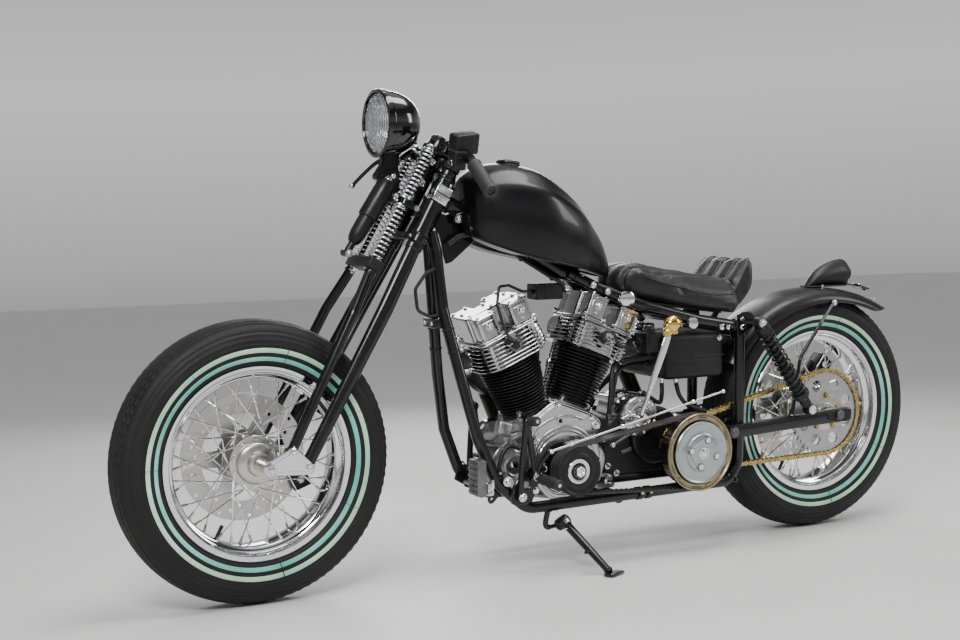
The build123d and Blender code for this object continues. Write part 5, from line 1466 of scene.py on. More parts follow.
def rrect(a, b, r, n=8, notch=None):
    """Rounded rectangle outline, half sizes a, b; notch = (half width, depth) cut into the +y side."""
    pts = []
    for cx_, cy_, a0 in ((a - r, b - r, 0), (-(a - r), b - r, pi / 2), (-(a - r), -(b - r), pi), (a - r, -(b - r), 1.5 * pi)):
        for k in range(n + 1):
            t = a0 + pi / 2 * k / n
            pts.append((cx_ + r * cos(t), cy_ + r * sin(t)))
        if notch and a0 == 0:
            h, dp = notch
            pts += [(h + 4, b), (h, b - 4), (h * .8, b - dp), (-h * .8, b - dp), (-h, b - 4), (-h - 4, b)]
    return pts


# --- cylinders: black barrels with round fins, base nuts
g = Mesh()
for side in (1, -1):
    o, a = eng_axes(side)
    prof = [(0, 150.2), (58, 150.2), (59.5, 151.5), (59.5, 156.5), (58, 158), (48, 158.4)]
    d = 162.5
    while d < 281:
        R = 62 + (d - 162) * .137
        prof += [(48.5, d - .6), (R - 1.0, d), (R, d + .9), (R, d + 1.5), (R - 1.0, d + 2.4), (48.5, d + 3.0)]
        d += 8.3
    prof += [(48.5, 281), (70, 282), (71, 283), (71, 287.2), (70, 287.9), (0, 287.9)]
    fr = (a, Y, o)
    g.add(lathe(prof, (820, 0, 248), o, 72, frame_=fr, sq=lambda t: 1.0 + .022 * cos(4 * t)), 0)
    for i in range(4):
        t = pi / 4 + i * pi / 2
        p = eng(158, 54 * sin(t), 54 * cos(t), side)
        g.add(hexbolt(p, o, 6.5, 7), 1)
g.make("Cylinders", ["barrel_black", "steel"], "chassis", ["cylinders"], sharp=40)

# --- cylinder heads: polished fins, rocker boxes with domed bolts, plugs
g = Mesh()
for side in (1, -1):
    M4 = eng_axes4(side)
    o, a = eng_axes(side)
    g.add(plate([rrect(70, 62, 40)], 288.0, 356, M4, 2), 0)
    for i in range(7):
        d = 289.5 + 9.4 * i
        k = (92.5, 93.6, 94, 93.4, 91.6, 89, 86)[i]
        notch = None if i < 3 else (17, 22)
        g.add(plate([rrect(k, k - 10.2, 56 if i < 5 else 50, 10, notch)], d, d + 3.4, M4, .9), 0)
    # plug bosses both sides, stiffening posts between the fins
    for sg in (1, -1):
        bossd = (Y * sg + o * .30).normalized()
        bp_ = eng(321, sg * 52, -2 * side, side)
        g.add(lathe([(0, 0), (19, 0), (17.5, 16), (16.5, 19), (0, 19)], bp_, bossd, 28), 0)
        g.add(lathe([(0, 19), (11, 19), (11.2, 22), (8, 23), (0, 23)], bp_, bossd, 24, sq=lambda t: 1.0 / max(cos(((t + pi / 6) % (pi / 3)) - pi / 6), 0.86) * 0.95), 3)
        for w_ in (-62, 60):
            g.add(bar(eng(290, sg * 66, w_, side), eng(350, sg * 66, w_, side), 6.5, seg=14), 0)
    # intake and exhaust ports
    g.add(lathe([(0, 0), (27, 0), (27, 10), (24, 12), (0, 12)], eng(322, -22, 82 * side, side), a * side, 28), 0)
    g.add(lathe([(0, 0), (26, 0), (26, 9), (23, 11), (0, 11)], eng(326, -30, -82 * side, side), -a * side, 28), 0)
    # rocker box: flange, centre body, four blocks with raised faces
    g.add(plate([rrect(83, 74, 14)], 355.6, 360.5, M4, 1.2), 0)
    g.add(plate([rrect(78.6, 30, 9)], 360, 425.6, M4, 3.5), 1)
    for sg in (1, -1):
        for wsg in (1, -1):
            w_ = 46 * wsg
            cM = eng_axes4(side, 0, w_, sg * 48)
            ol = [(v[0], v[1]) for v in rrect(28.6, 24.6, 6)]
            g.add(plate([ol], 360.3, 366.0, cM, 1.2), 1)
            g.add(plate([rrect(26.4, 23.0, 7)], 366, 416, cM, 3.0), 1)
            g.add(plate([rrect(27.8, 24.2, 7)], 413, 424.4, cM, 2.6), 1)
            # outer face: panel, big domed bolt, small bolt below
            fc = eng(392, sg * 71.0, w_, side)
            Mf = axes(a, o, Y * sg, fc)
            g.add(plate([rrect(19, 18, 5)], -.4, 1.6, Mf, .9), 1)
            g.add(lathe([(0, 1.4), (10.4, 1.4), (11.0, 2.0), (11.0, 2.8), (0, 2.8)], fc + o * 5, Y * sg, 26), 2)
            g.add(acorn(fc + o * 5 + Y * sg * 2.4, Y * sg, 7.6, 8.4), 2)
            if wsg * side < 0:
                g.add(capbolt(fc - o * 13 + a * 2 + Y * sg * 1.2, Y * sg, 4.2, 4.4), 2)
            # lid screws and flange nuts at the block's corners
            for i, j in ((1, 1), (-1, 1)):
                p = eng(424, sg * (48 + j * 15), w_ + i * 18, side)
                g.add(capbolt(p, o, 4.2, 4.0), 2)
            for i in (1, -1):
                g.add(hexbolt(eng(366, sg * 68.5, w_ + i * 30, side), o, 4.6, 5), 2)
    # lid screws on the centre body
    for w_ in (-62, 0, 62):
        for j in (1, -1):
            g.add(capbolt(eng(425.4, j * 21, w_, side), o, 4.2, 4.2), 2)
    # head bolts down among the fins
    for sg in (1, -1):
        for w_ in (-34, 34):
            g.add(hexbolt(eng(356.6, sg * 60, w_ * .2, side), o, 5, 5), 2)
# plugs: steel body, black cap towards the lead
PLUGS = [((962, 70, 556), (968, 90, 568)), ((708, 70, 552), (706, 90, 566))]
for i, (p, q) in enumerate(PLUGS):
    p, q = Vector(p), Vector(q)
    dd = (q - p).normalized()
    g.add(lathe([(0, -6), (9.4, -6), (9.4, 0), (6.5, 2), (6, 8), (0, 8)], p, dd, 20), 4)
    g.add(lathe([(0, 3), (7.6, 3), (8.2, 5), (8.0, 16), (6.6, 22), (5.0, 27), (0, 27)], p, dd, 20), 3)
# chrome oval cap on the rear head's outer block
oc = eng(398, 76, -46, -1)
g.add(lathe([(0, -4), (19, -4), (20.6, -2), (20.6, 5), (19, 8), (14, 10), (0, 10.6)], Vector((644, 92, 650)), Y, 36, sq=lambda t: 1 + .12 * cos(2 * t)), 2)
g.add(lathe([(0, -62), (9, -62), (9, 0), (0, 0)], Vector((644, 92, 650)), Y, 20), 3)
g.make("Cylinder_heads", ["alloy_polished", "alloy_polished", "chrome", "plug_cap", "steel"], "chassis", ["cylinder_heads"])

# --- crankcase
g = Mesh()
body_o = hull_outline([(820, 262, 98), (926, 256, 40), (918, 214, 32), (726, 252, 44), (724, 216, 32)], 48)
g.add(xz([body_o], -66, 66, 7), 0)
g.add(xz([hull_outline([(820, 262, 102), (928, 256, 43), (920, 213, 34), (724, 252, 46), (722, 215, 34)], 48)], -4, 4, 1.5), 0)
g.add(xz([hull_outline([(820, 270, 90), (824, 290, 84)], 48)], 60, 79, 4), 0)
for k in range(9):
    a = radians(-62 + k * 38)
    p = Vector((822 + 104 * cos(a), 0, 258 + 100 * sin(a)))
    if 175 < p.z < 330 and abs(p.x - 820) > 60:
        g.add(capbolt(p + Y * 4 - Vector((cos(a), 0, sin(a))) * 2, Y, 4.6, 6), 2)
        g.add(capbolt(p - Y * 4 - Vector((cos(a), 0, sin(a))) * 2, -Y, 4.6, 6), 2)
for side in (1, -1):
    o, a = eng_axes(side)
    g.add(lathe([(0, 78), (71, 78), (69, 118), (66, 132), (66, 140), (71.5, 142), (72.2, 144), (72.2, 148.6), (71, 149.9), (0, 149.9)],
                (820, 0, 248), o, 56, frame_=(a, Y, o), sq=lambda t: 1.0 + .02 * cos(4 * t)), 0)
    for i in range(4):
        t = pi / 4 + i * pi / 2
        g.add(hexbolt(eng(149.8, 64 * sin(t), 64 * cos(t), side), o, 6, 8), 2)
# front face: deep ribs, mounting lug, round boss with its plug
for i, (z0, w_) in enumerate(((296, 5), (276, 5), (256, 5), (236, 5))):
    for sg in (1, -1):
        g.add(box((938 - i * 2, sg * 37, z0), (48, 46, w_), None, 1.8, 2), 0)
for sg in (1, -1):
    for i, x_ in enumerate((888, 906, 924, 942)):
        g.add(box((x_, sg * 66, 262 - i * 2), (4.6, 16, 78 - i * 12), Matrix.Rotation(radians(-22), 4, "Y"), 1.6, 2), 0)
    g.add(box((982, sg * 40, 226), (40, 34, 40), None, 6, 3), 0)
    g.add(box((676, sg * 40, 196), (52, 34, 42), None, 6, 3), 0)
    g.add(hexbolt((986, sg * 57, 222), Y * sg, 8.5, 7), 2)
    g.add(hexbolt((672, sg * 57, 196), Y * sg, 8.5, 7), 2)
g.add(lathe([(0, 50), (34, 50), (33, 72), (30, 78), (25, 79.5), (22, 77), (20, 76.4), (0, 76.4)], (951, 0, 262), Y, 40), 0)
g.add(hexbolt((951, 76.2, 262), Y, 7.5, 5), 2)
# silver boss of the front mount, seen under the front exhaust
g.add(box((975, 66, 352), (40, 26, 34), Matrix.Rotation(radians(-18), 4, "Y"), 7, 3), 0)
g.add(box((948, 62, 330), (46, 22, 16), Matrix.Rotation(radians(12), 4, "Y"), 4, 3), 0)
g.add(bar((930, 58, 300), (972, 62, 342), 9, seg=18), 0)
# polished left cover in its own outline, stepped and ringed
LC = [(931, 373), (917, 349), (909, 322), (901, 292), (897, 267), (893, 238), (884, 212), (866, 193), (843, 184), (811, 179), (785, 179), (762, 183),
      (741, 194), (725, 212), (717, 235), (713, 258), (718, 285), (722, 306), (727, 320), (717, 330), (712, 345), (720, 359), (737, 372),
      (765, 384), (798, 397), (822, 406), (841, 410), (856, 405), (872, 396), (895, 381), (914, 377)]
lc2 = [Vector(p) for p in LC]
lc2 = [v.to_2d() for v in smooth([Vector((p.x, p.y, 0)) for p in lc2], 3, closed=True)]
g.add(xz([lc2], 68, 88, 3.0), 1)
g.add(xz([offset_loop(ccw([tuple(v) for v in lc2]), 5.0)], 86, 93.5, 3.4), 1)
C2 = Vector((822, 0, 250))


def arc3(c, r, a0, a1, y, n=30):
    return [Vector((c.x + r * cos(radians(a0 + (a1 - a0) * k / n)), y, c.z + r * sin(radians(a0 + (a1 - a0) * k / n)))) for k in range(n + 1)]


g.add(tube(arc3(C2, 123, 36, 116, 92.6), 3.4, 12), 1)
g.add(tube(arc3(C2, 97, 20, 150, 93.2, 40), 3.8, 12), 1)
g.add(tube(arc3(C2, 88, 4, 170, 93.8, 44), 3.0, 12), 1)
g.add(lathe([(0, 92), (84, 92), (85.5, 94), (85.5, 96), (84, 97.4), (78, 97.6), (76, 95), (30, 95), (27, 97), (26, 107.6), (0, 107.8)], C2 - Vector((2, 0, 2)), Y, 72), 1)
g.add(tube(arc3(Vector((822, 0, 262)), 78, 200, 335, 93.0, 36), 4.4, 12), 1)
for x_, z_, r_ in ((840, 399, 6.2), (746, 360, 6.2), (913, 366, 5.2), (899, 319, 6.0), (840, 190, 5.6), (761, 192, 5.6), (722, 262, 6.0), (730, 214, 6.0), (871, 210, 5.6)):
    p = Vector((x_, 93, z_))
    g.add(lathe([(0, 0), (r_ * 1.5, 0), (r_ * 1.35, 2.2), (0, 2.2)], p - Y * .6, Y, 22), 1)
    g.add(acorn(p + Y * 1.2, Y, r_, 8.5), 2)
p = Vector((834, 93, 362))
g.add(lathe([(5.2, 0), (10.5, 0), (9.8, 2.6), (5.8, 2.8), (5.2, 2.4)], p, Y, 26, ring=True), 1)
g.add(lathe([(0, -1), (5.4, -1), (5.4, .6), (0, .6)], p, Y, 20), 3)
p = Vector((882, 92, 250))
g.add(lathe([(6.4, 0), (14.5, 0), (14.0, 5), (12.6, 6.6), (8.6, 7.0), (6.4, 5.6)], p, Y, 30, ring=True), 1)
g.add(lathe([(0, 0), (6.6, 0), (6.6, 3.0), (0, 3.4)], p, Y, 20), 3)
p = Vector((733, 90, 342))
g.add(lathe([(0, 0), (13, 0), (12.4, 5), (10.6, 7), (0, 7.4)], p, Y, 26), 1)
g.add(hexbolt(p + Y * 7, Y, 6, 6), 2)
# right side: gear cover with ribs, round timing cover, tappet blocks, oil pump
gc = hull_outline([(810, 268, 84), (930, 308, 44)], 60)
g.add(xz([gc], -94, -66, 4), 1)
g.add(xz([[(p_[0] * .93 + 860 * .07, p_[1] * .93 + 285 * .07) for p_ in gc]], -102, -92, 3.6), 1)
for r0 in (30, 42, 54, 66):
    g.add(tube(arc3(Vector((822, 0, 270)), r0, 0, 360, -102.2, 60)[:-1], 1.6, 8, closed=True), 1)
g.add(lathe([(0, 100), (22, 100), (23.5, 101.5), (23.5, 103), (21, 104), (0, 104.2)], (822, 0, 270), -Y, 36), 2)
for k in range(3):
    a = radians(90 + 120 * k)
    g.add(capbolt((822 + 17 * cos(a), -104, 270 + 17 * sin(a)), -Y, 3.2, 2.2), 2)
for k in range(11):
    q = gc[int(k * len(gc) / 11)]
    c_ = Vector((856, 0, 284))
    p = c_ + (Vector((q[0], 0, q[1])) - c_) * .93
    g.add(capbolt(Vector((p.x, -94, p.z)), -Y, 4.4, 5), 2)
for side, offs in ((1, (-34, -12)), (-1, (34, 12))):
    m_ = sum(offs) / 2 * .55
    o, a = eng_axes(side)
    Mt = axes(a, Y, o)
    g.add(box(eng(106, -86, m_ * 1.0, side), (40, 30, 34), Mt, 3, 3), 1)
    for j in (1, -1):
        g.add(capbolt(eng(112, -101, m_ + j * 15, side), -Y, 4, 4), 2)
g.add(box((748, -86, 218), (62, 34, 56), None, 6, 3), 0)
for i, j in ((1, 1), (1, -1), (-1, 1), (-1, -1)):
    g.add(hexbolt((748 + i * 22, -103, 218 + j * 19), -Y, 4.6, 4), 2)
for i, z_ in enumerate((232, 206)):
    g.add(tube(smooth([(730, -98, z_), (712, -112, z_ + 2), (690, -108, z_ + 30), (640, -100, 330 + 12 * i), (600, -98, 400), (560 - 20 * i, -92, 446)], 7), 5.2, 12), 4)
    g.add(lathe([(6.6, 0), (7.4, 0), (7.4, 7), (6.6, 7)], (717, -110, z_ + 4), Vector((-.5, 0, .86)), 16, ring=True), 2)
# breather hose loop at the front with its clips
g.add(tube(smooth([(936, 84, 300), (952, 90, 308), (973, 91, 312), (990, 91, 298), (1000, 90, 268), (996, 88, 240), (990, 80, 226)], 7), 5.4, 14), 4)
for p_, d_ in (((944, 88, 304), (1, .3, .35)), ((998, 89, 250), (-.2, 0, -1))):
    g.add(lathe([(5.6, -3), (6.6, -3), (6.6, 3), (5.6, 3)], p_, d_, 20, ring=True), 2)
g.make("Engine_crankcase", ["alloy_cast", "alloy_polished", "chrome", "plastic_black", "cable_black"], "chassis", ["engine_crankcase"])

# --- pushrod covers
g = Mesh()
for side, offs in ((1, (-34, -12)), (-1, (34, 12))):
    for o_ in offs:
        b = eng(126, -92, o_ * 0.55, side)
        t = eng(350, -88, o_ * 1.15, side)
        d = t - b
        L = d.length
        g.add(lathe([(0, 0), (9.0, 0), (9.0, 4), (8.2, 5), (8.2, 12), (9.0, 13), (9.0, 18), (7.2, 20), (7.2, L * .44), (9.0, L * .45), (9.0, L * .45 + 22),
                     (8.0, L * .45 + 24), (6.2, L * .45 + 26), (6.2, L - 24), (8.6, L - 22), (8.6, L - 12), (7.4, L - 10), (7.4, L), (0, L)], b, d, 26))
g.make("Pushrod_covers", ["chrome"], "chassis", ["pushrod_covers"])

# --- air cleaner and carburettor
g = Mesh()
A = Vector((820, 0, 545))
g.add(lathe([(0, -150), (6, -150), (8, -148.5), (10, -147), (30, -146.6), (33, -148), (36, -148), (38, -146.4), (54, -145.2), (58, -143), (61.2, -138), (61.9, -134),
             (61.9, -130), (58, -129), (0, -129)], A, Y, 80), 0)
g.add(lathe([(0, -129.2)] + [(55 + 1.4 * (i % 2), -129 + i * 1.2) for i in range(13)] + [(0, -113.6)], A, Y, 72), 1)
g.add(lathe([(0, -114.5), (60, -114.5), (61.5, -113.5), (60, -112.2), (0, -112.2)], A, Y, 72), 0)
g.add(acorn((820, -149.6, 545), -Y, 6.5, .4), 0)
g.add(lathe([(0, -112), (30, -112), (30, -104), (25, -102), (25, -62), (27, -60), (27, -44), (0, -44)], A, Y, 36), 2)
g.add(box((820, -78, 508), (44, 36, 34), None, 6, 3), 2)
g.add(box((820, -78, 487), (48, 40, 8), None, 2, 2), 2)
g.add(bar((794, -86, 556), (846, -86, 556), 4.5), 3)
g.add(lathe([(0, 0), (9, 0), (9, 3), (0, 3)], (846, -86, 556), X, 20), 3)
for k in range(4):
    a = radians(45 + 90 * k)
    g.add(capbolt((820 + 21 * cos(a), -106, 545 + 21 * sin(a)), -Y, 3, 2), 3)
g.make("Air_cleaner", ["chrome", "steel_dark", "alloy_cast", "steel"], "chassis", ["air_cleaner"])

# --- exhausts with flanges and open slash-cut ends
g = Mesh()
EXH = [[eng(322, -20, 92, 1), (1016, -66, 478), (914, -140, 424), (862, -166, 330), (846, -166, 200), (700, -166, 182), (120, -166, 196)],
       [eng(322, -30, -92, -1), (560, -110, 560), (500, -160, 480), (420, -172, 330), (300, -172, 252), (60, -172, 262)]]
for pts in EXH:
    P = rounded(pts, 40, 10)
    m = len(P)
    V_, F_ = tube(P, 21.8, 32, caps=False)
    # slash cut: slide the last ring along the pipe by height, then turn the wall inwards
    dd = (P[-1] - P[-2]).normalized()
    for k in range(32):
        i = (m - 1) * 32 + k
        V_[i] = V_[i] - dd * (max(0.0, (V_[i].z - P[-1].z) + 22) * .8)
    rim_ = [Vector(V_[(m - 1) * 32 + k]) for k in range(32)]
    o0 = len(V_)
    cen = P[-1] - dd * 18
    for sc, back in ((.90, 0.0), (.88, 40.0), (.6, 60.0)):
        for k in range(32):
            rr = rim_[k] - P[-1]
            ax = dd * rr.dot(dd)
            V_.append(P[-1] + ax + (rr - ax) * sc - dd * back)
    for j in range(3):
        a0_ = (m - 1) * 32 if j == 0 else o0 + (j - 1) * 32
        b0_ = o0 + j * 32
        for k in range(32):
            k2 = (k + 1) % 32
            F_.append((a0_ + k, a0_ + k2, b0_ + k2, b0_ + k))
    F_.append(tuple(range(o0 + 64, o0 + 96)))
    F_.append(tuple(reversed(range(32))))
    nf = len(F_)
    g.v_off = len(g.v)
    g.add((V_, F_), 0)
    p0, d0 = P[0], (P[1] - P[0]).normalized()
    g.add(lathe([(21, 4), (31, 4), (32, 5), (32, 9), (31, 10), (23, 10), (22.4, 14), (21, 14)], p0, d0, 36, ring=True), 1)
    u_, v_, w_ = basis(d0)
    for k in (1, -1):
        g.add(hexbolt(p0 + d0 * 9.5 + v_ * k * 27.5, d0, 5, 6), 1)
    for t in (.52, .86):
        i = int(m * t)
        q, dq = P[i], (P[min(i + 1, m - 1)] - P[i - 1]).normalized()
        g.add(lathe([(21.6, -7), (23.4, -7), (23.8, -6), (22.6, -3), (23.8, 0), (22.6, 3), (23.8, 6), (23.4, 7), (21.6, 7)], q, dq, 36, ring=True), 1)
        g.add(hexbolt(q + Vector((0, 6, 23)), Z, 4.6, 5), 1)
g.make("Exhaust_pipes", ["exhaust_steel", "chrome_worn"], "chassis", ["exhaust_pipes"], sharp=45)

# --- ignition coils
g = Mesh()
g.add(box((820, 0, 670), (76, 52, 39.6), None, 5, 3), 0)
g.add(box((820, 0, 688.4), (60, 40, 3), None, 1, 2), 0)
for sg in (1, -1):
    g.add(lathe([(0, 0), (9, 0), (9, 6), (6.5, 8), (0, 8)], (820 + sg * 30, 8 * 1, 670), X * sg, 20), 0)
    g.add(box((820, sg * 26.6, 670), (30, 2.6, 38), None, .8, 1), 1)
    g.add(hexbolt((820, sg * 27.6, 684), Y * sg, 4.6, .3, washer=False), 1)
g.add(box((554, 58, 534), (43, 51, 51), None, 5, 3), 0)
g.add(box((554, 84, 534), (26, 1.6, 44), None, .6, 1), 1)
g.add(lathe([(0, 0), (8.4, 0), (8.4, 3), (6.4, 5), (0, 5)], (575, 60, 536), X, 20), 0)
for k in (1, -1):
    g.add(capbolt((554, 84.2, 534 + k * 16), Y, 3.8, 1.0), 1)
g.make("Ignition_coils", ["plastic_black", "box_black"], "chassis", ["ignition_coils"])

# ---------------------------------------------------------------------------
# Gearbox and primary drive
# ---------------------------------------------------------------------------
g = Mesh()
g.add(xz([hull_outline([(532, 238, 34), (656, 238, 34), (650, 330, 24), (540, 340, 22)], 32)], -68, 60, 6), 0)
g.add(lathe([(0, -80), (66, -80), (72, -76), (73.4, -70), (73.4, 66), (71, 74), (66, 78), (40, 78), (38, 76), (0, 76)], (540, 0, 300), Y, 64), 0)
g.add(lathe([(0, -39), (54, -39), (56, -36), (56, 66), (54, 76), (49, 82), (40, 84), (30, 84), (28, 81), (20, 80), (0, 80)], (592, 0, 353), Y, 64), 1)
# rolled ribs and flat facets on the polished cover, its screws
for r_, y_ in ((47, 70), (40, 83.2), (24, 80.6)):
    g.add(tube(arc3(Vector((590, 0, 352)), r_, 0, 360, y_, 48)[:-1], 1.8, 8, closed=True), 1)
for k in range(6):
    a = radians(60 * k + 20)
    g.add(acorn((590 + 40 * cos(a), 81.5, 352 + 40 * sin(a)), Y, 4.4, 6), 2)
for k in range(5):
    a = radians(-50 + 30 * k)
    g.add(box((590 + 52 * cos(a + 1.9), 30, 352 + 50 * sin(a + 1.9)), (5, 80, 12), Matrix.Rotation(-(a + 1.9) + pi / 2, 4, "Y"), 1.6, 2), 0)
# top cover with ratchet lid and its shift linkage
g.add(box((600, -6, 392), (96, 92, 18), None, 5, 3), 1)
g.add(lathe([(0, 0), (26, 0), (26, 8), (22, 12), (0, 13)], (618, 24, 400), Z, 36), 1)
for i in (1, -1):
    for j in (1, -1):
        g.add(hexbolt((600 + i * 40, -6 + j * 38, 401), Z, 4.8, 5), 2)
g.add(lathe([(0, -6), (10, -6), (10.5, -4), (10.5, 10), (0, 10)], (600, 84, 352), Y, 26), 2)
g.add(tube([(600, 92, 352), (640, 96, 360), (655, 92, 352)], 4.5, 12), 2)
# linkage rod and studs low on the left side, between belt and frame
g.add(tube([(676, 84, 288), (612, 92, 322)], 3.6, 12), 3)
g.add(uvball((676, 84, 288), 7.5, 16, 10), 2)
g.add(tube([(654, 88, 268), (628, 90, 276)], 4.4, 12), 3)
for x_, z_ in ((676, 232), (650, 212), (676, 204), (700, 262), (690, 300)):
    g.add(hexbolt((x_, 60, z_), Y, 6, 6), 2)
    g.add(stud((x_, 66, z_), Y, 3.2, 7, 1.2), 3)
for z_ in (222, 244, 266, 288, 310):
    g.add(box((675, 22, z_), (30, 76, 4.5), None, 1.6, 2), 0)
    g.add(box((520, -2, z_), (52, 132, 4.5), None, 1.6, 2), 0)
# right side: kick cover plate, filler plug, release arm
g.add(xz([hull_outline([(540, 300, 62), (610, 320, 44)], 48)], -86, -78, 2.5), 1)
for k in range(8):
    q = hull_outline([(540, 300, 54), (610, 320, 37)], 40)
    q = q[int(k * len(q) / 8)]
    g.add(capbolt((q[0], -85.6, q[1]), -Y, 4.2, 4), 2)
g.add(lathe([(0, 86), (28, 86), (29, 88), (27, 92), (20, 94), (0, 94.5)], (540, 0, 300), -Y, 40), 1)
g.add(hexbolt((622, -86, 330), -Y, 9, 6), 2)
# mainshaft, seal housing and the chain sprocket
g.add(lathe([(0, -58), (44, -58), (45.8, -55), (45.8, 62), (44, 68), (34, 70), (0, 70)], CLUTCH, Y, 48), 0)
g.add(lathe([(0, 69), (15.6, 69), (15.6, 112), (0, 112)], CLUTCH, Y, 30), 3)
SP = [tooth_ring((466, 263), 24, 60.8, 60.8 - 1.5, 60.8 - 9.0)]
for k in range(6):
    a = radians(60 * k)
    SP.append(circle2(466 + 34 * cos(a), 263 + 34 * sin(a), 7, 18))
g.add(xz(SP, 78.4, 85.6, .7), 3)
g.add(lathe([(0, 85), (24, 85), (24, 92), (22, 94), (0, 94)], CLUTCH, Y, 30, sq=hexr), 3)
# mounting plate to the frame
g.add(xz([[(470, 186), (700, 186), (712, 200), (700, 208), (470, 208), (462, 198)]], -58, 58, 3), 4)
for x_ in (496, 560, 640):
    for sg in (1, -1):
        g.add(hexbolt((x_, sg * 44, 207), Z, 6.5, 6), 2)
g.make("Gearbox", ["barrel_black", "alloy_polished", "chrome_worn", "steel_dark", "frame_black"], "chassis", ["gearbox"])

# belt: outer band with ribs inside
_, blen = belt_path((466, 263), 92, (820, 248), 54, 10)
NB = 82 * 4
pts, _ = belt_path((466, 263), 96.0, (820, 248), 58.0, NB)
g = Mesh()
V_, F_ = [], []
for i, (p, tg) in enumerate(pts):
    n = Vector((cos(tg + pi / 2), sin(tg + pi / 2)))
    depth = (3.2, 5.6, 5.6, 3.2)[i % 4]
    q0, q1 = p, p - n * depth
    for x2, y2 in ((q0, 117.2), (q0 + n * 0, 118.2), (q0, 151.8), (q0, 152.8), (q1, 152.8), (q1, 117.2)):
        k_ = -.6 if y2 in (117.2, 152.8) and x2 is q0 else 0
        V_.append(Vector((x2.x + n.x * k_, y2, x2.y + n.y * k_)))
c = 6
for i in range(NB):
    j = (i + 1) % NB
    for k in range(c):
        k2 = (k + 1) % c
        F_.append((i * c + k, j * c + k, j * c + k2, i * c + k2))
g.add((V_, F_))
g.make("Primary_belt", ["belt_rubber"], "chassis", ["primary_belt"], sharp=30)

# engine pulley: black flange and dished face, pale thrust ring, nut
g = Mesh()
g.add(lathe([(0, 114.4), (52, 114.4), (53, 115.5), (51.6, 117), (51.6, 153.6), (60, 154), (61, 155), (61, 157.4), (59.8, 158.8), (55.5, 159), (53.5, 157.6),
             (51, 156.6), (46, 156.4), (43.5, 158.4), (38, 159.6), (33.5, 159.0), (31.4, 156.0), (30.6, 151.5), (0, 151.5)], CRANK, Y, 84), 0)
g.add(lathe([(20.4, 152), (30.0, 152), (30.8, 153), (30.8, 156.8), (29.6, 157.8), (23, 158.0), (21.0, 157.2), (20.4, 156.2)], CRANK, Y, 56, ring=True), 1)
g.add(lathe([(0, 152), (22.8, 152), (22.8, 154.4), (0, 154.4)], CRANK, Y, 48), 0)
g.add(lathe([(0, 156), (14.6, 156), (15.4, 157), (14.8, 158.2), (14, 158.4), (0, 158.4)], CRANK, Y, 40), 3)
g.add(lathe([(0, 158.2), (13.4, 158.2), (13.4, 165.0), (12.2, 166.5), (7.8, 166.7), (6.6, 164.6), (0, 164.4)], CRANK, Y, 36, sq=hexr), 2)
for k in range(3):
    a = radians(30 + 120 * k)
    g.add(capbolt((820 + 17.4 * cos(a), 154.4, 248 + 17.4 * sin(a)), Y, 2.2, 1.2), 3)
g.make("Engine_pulley", ["plastic_black", "chrome_worn", "chrome", "steel_dark"], "chassis", ["engine_pulley"], at=CRANK)

# clutch drum: toothed basket, olive ring with slots, turned pressure plate, diamond hub
g = Mesh()
tooth = lambda t: 1.0 - .012 * (1 if int(t / (2 * pi) * 84) % 2 else 0)
g.add(lathe([(0, 115.4), (88, 115.4), (90, 117), (90, 153.0), (0, 153.0)], CLUTCH, Y, 168, sq=tooth), 0)
ringp = [(80.5, 153), (95.5, 153), (97.4, 154.2), (98, 155.6), (98, 160.2), (96.8, 161.9), (94.8, 162.2), (93.2, 161.0), (91.6, 158.2), (88.6, 157.4), (84.0, 157.4), (81.6, 157.6), (80.5, 156.6)]
g.add(lathe(ringp, CLUTCH, Y, 110, ring=True), 1)
for k in range(6):
    a = radians(60 * k + 12)
    M6 = axes(Vector((-sin(a), 0, cos(a))), Vector((cos(a), 0, sin(a))), Y)
    cc = Vector((466 + 87.5 * cos(a), 158.6, 263 + 87.5 * sin(a)))
    g.add(box(cc, (17, 7.4, 2.6), M6, .8, 2), 1)
    cc2 = Vector((466 + 87.5 * cos(a + .42), 157.8, 263 + 87.5 * sin(a + .42)))
    g.add(box(cc2, (26, 4.8, 1.4), axes(Vector((-sin(a + .42), 0, cos(a + .42))), Vector((cos(a + .42), 0, sin(a + .42))), Y), .5, 1), 4)
g.add(lathe([(0, 157), (75.0, 157), (77.6, 158.4), (78.6, 161), (78.0, 164.6), (76.4, 166.4), (74.6, 166.9), (73.2, 166.2), (71.8, 165.2), (54, 164.6), (50.5, 164.8),
             (48.2, 166.0), (47.0, 168.4), (45.6, 170.4), (43.2, 171.0), (0, 171.0)], CLUTCH, Y, 110), 2)
# diamond plate through the four nuts
NUTS = [(454, 295), (503, 271), (427, 252), (475, 229)]
NUTS = [(466 + (x_ - 466) * 1.0, 263 + (z_ - 263) * 1.0) for x_, z_ in NUTS]
dia = hull_outline([(x_, z_, 8.5) for x_, z_ in NUTS], 20)
g.add(xz([dia], 170.8, 174.6, 1.0), 2)
for x_, z_ in NUTS:
    g.add(lathe([(0, 0), (9.6, 0), (9.6, 1.2), (8.6, 2.0), (0, 2.0)], (x_, 174.2, z_), Y, 24), 4)
    g.add(lathe([(0, 1.6), (7.2, 1.6), (7.2, 2.6), (0, 2.8)], (x_, 174.2, z_), Y, 24, sq=hexr), 3)
g.add(lathe([(11.5, 174.4), (15.6, 174.4), (15.6, 176.0), (14.6, 176.8), (11.5, 176.8)], CLUTCH, Y, 36, ring=True), 3)
g.add(lathe([(0, 173.6), (9.8, 173.6), (9.8, 176.2), (8.4, 176.9), (3, 176.9), (2.4, 175.4), (0, 175.4)], CLUTCH, Y, 30, sq=hexr), 3)
g.make("Clutch_drum", ["drum_brown", "olive_steel", "zinc_turned", "chrome", "steel_dark", "zinc"], "chassis", ["clutch_drum"], at=CLUTCH)

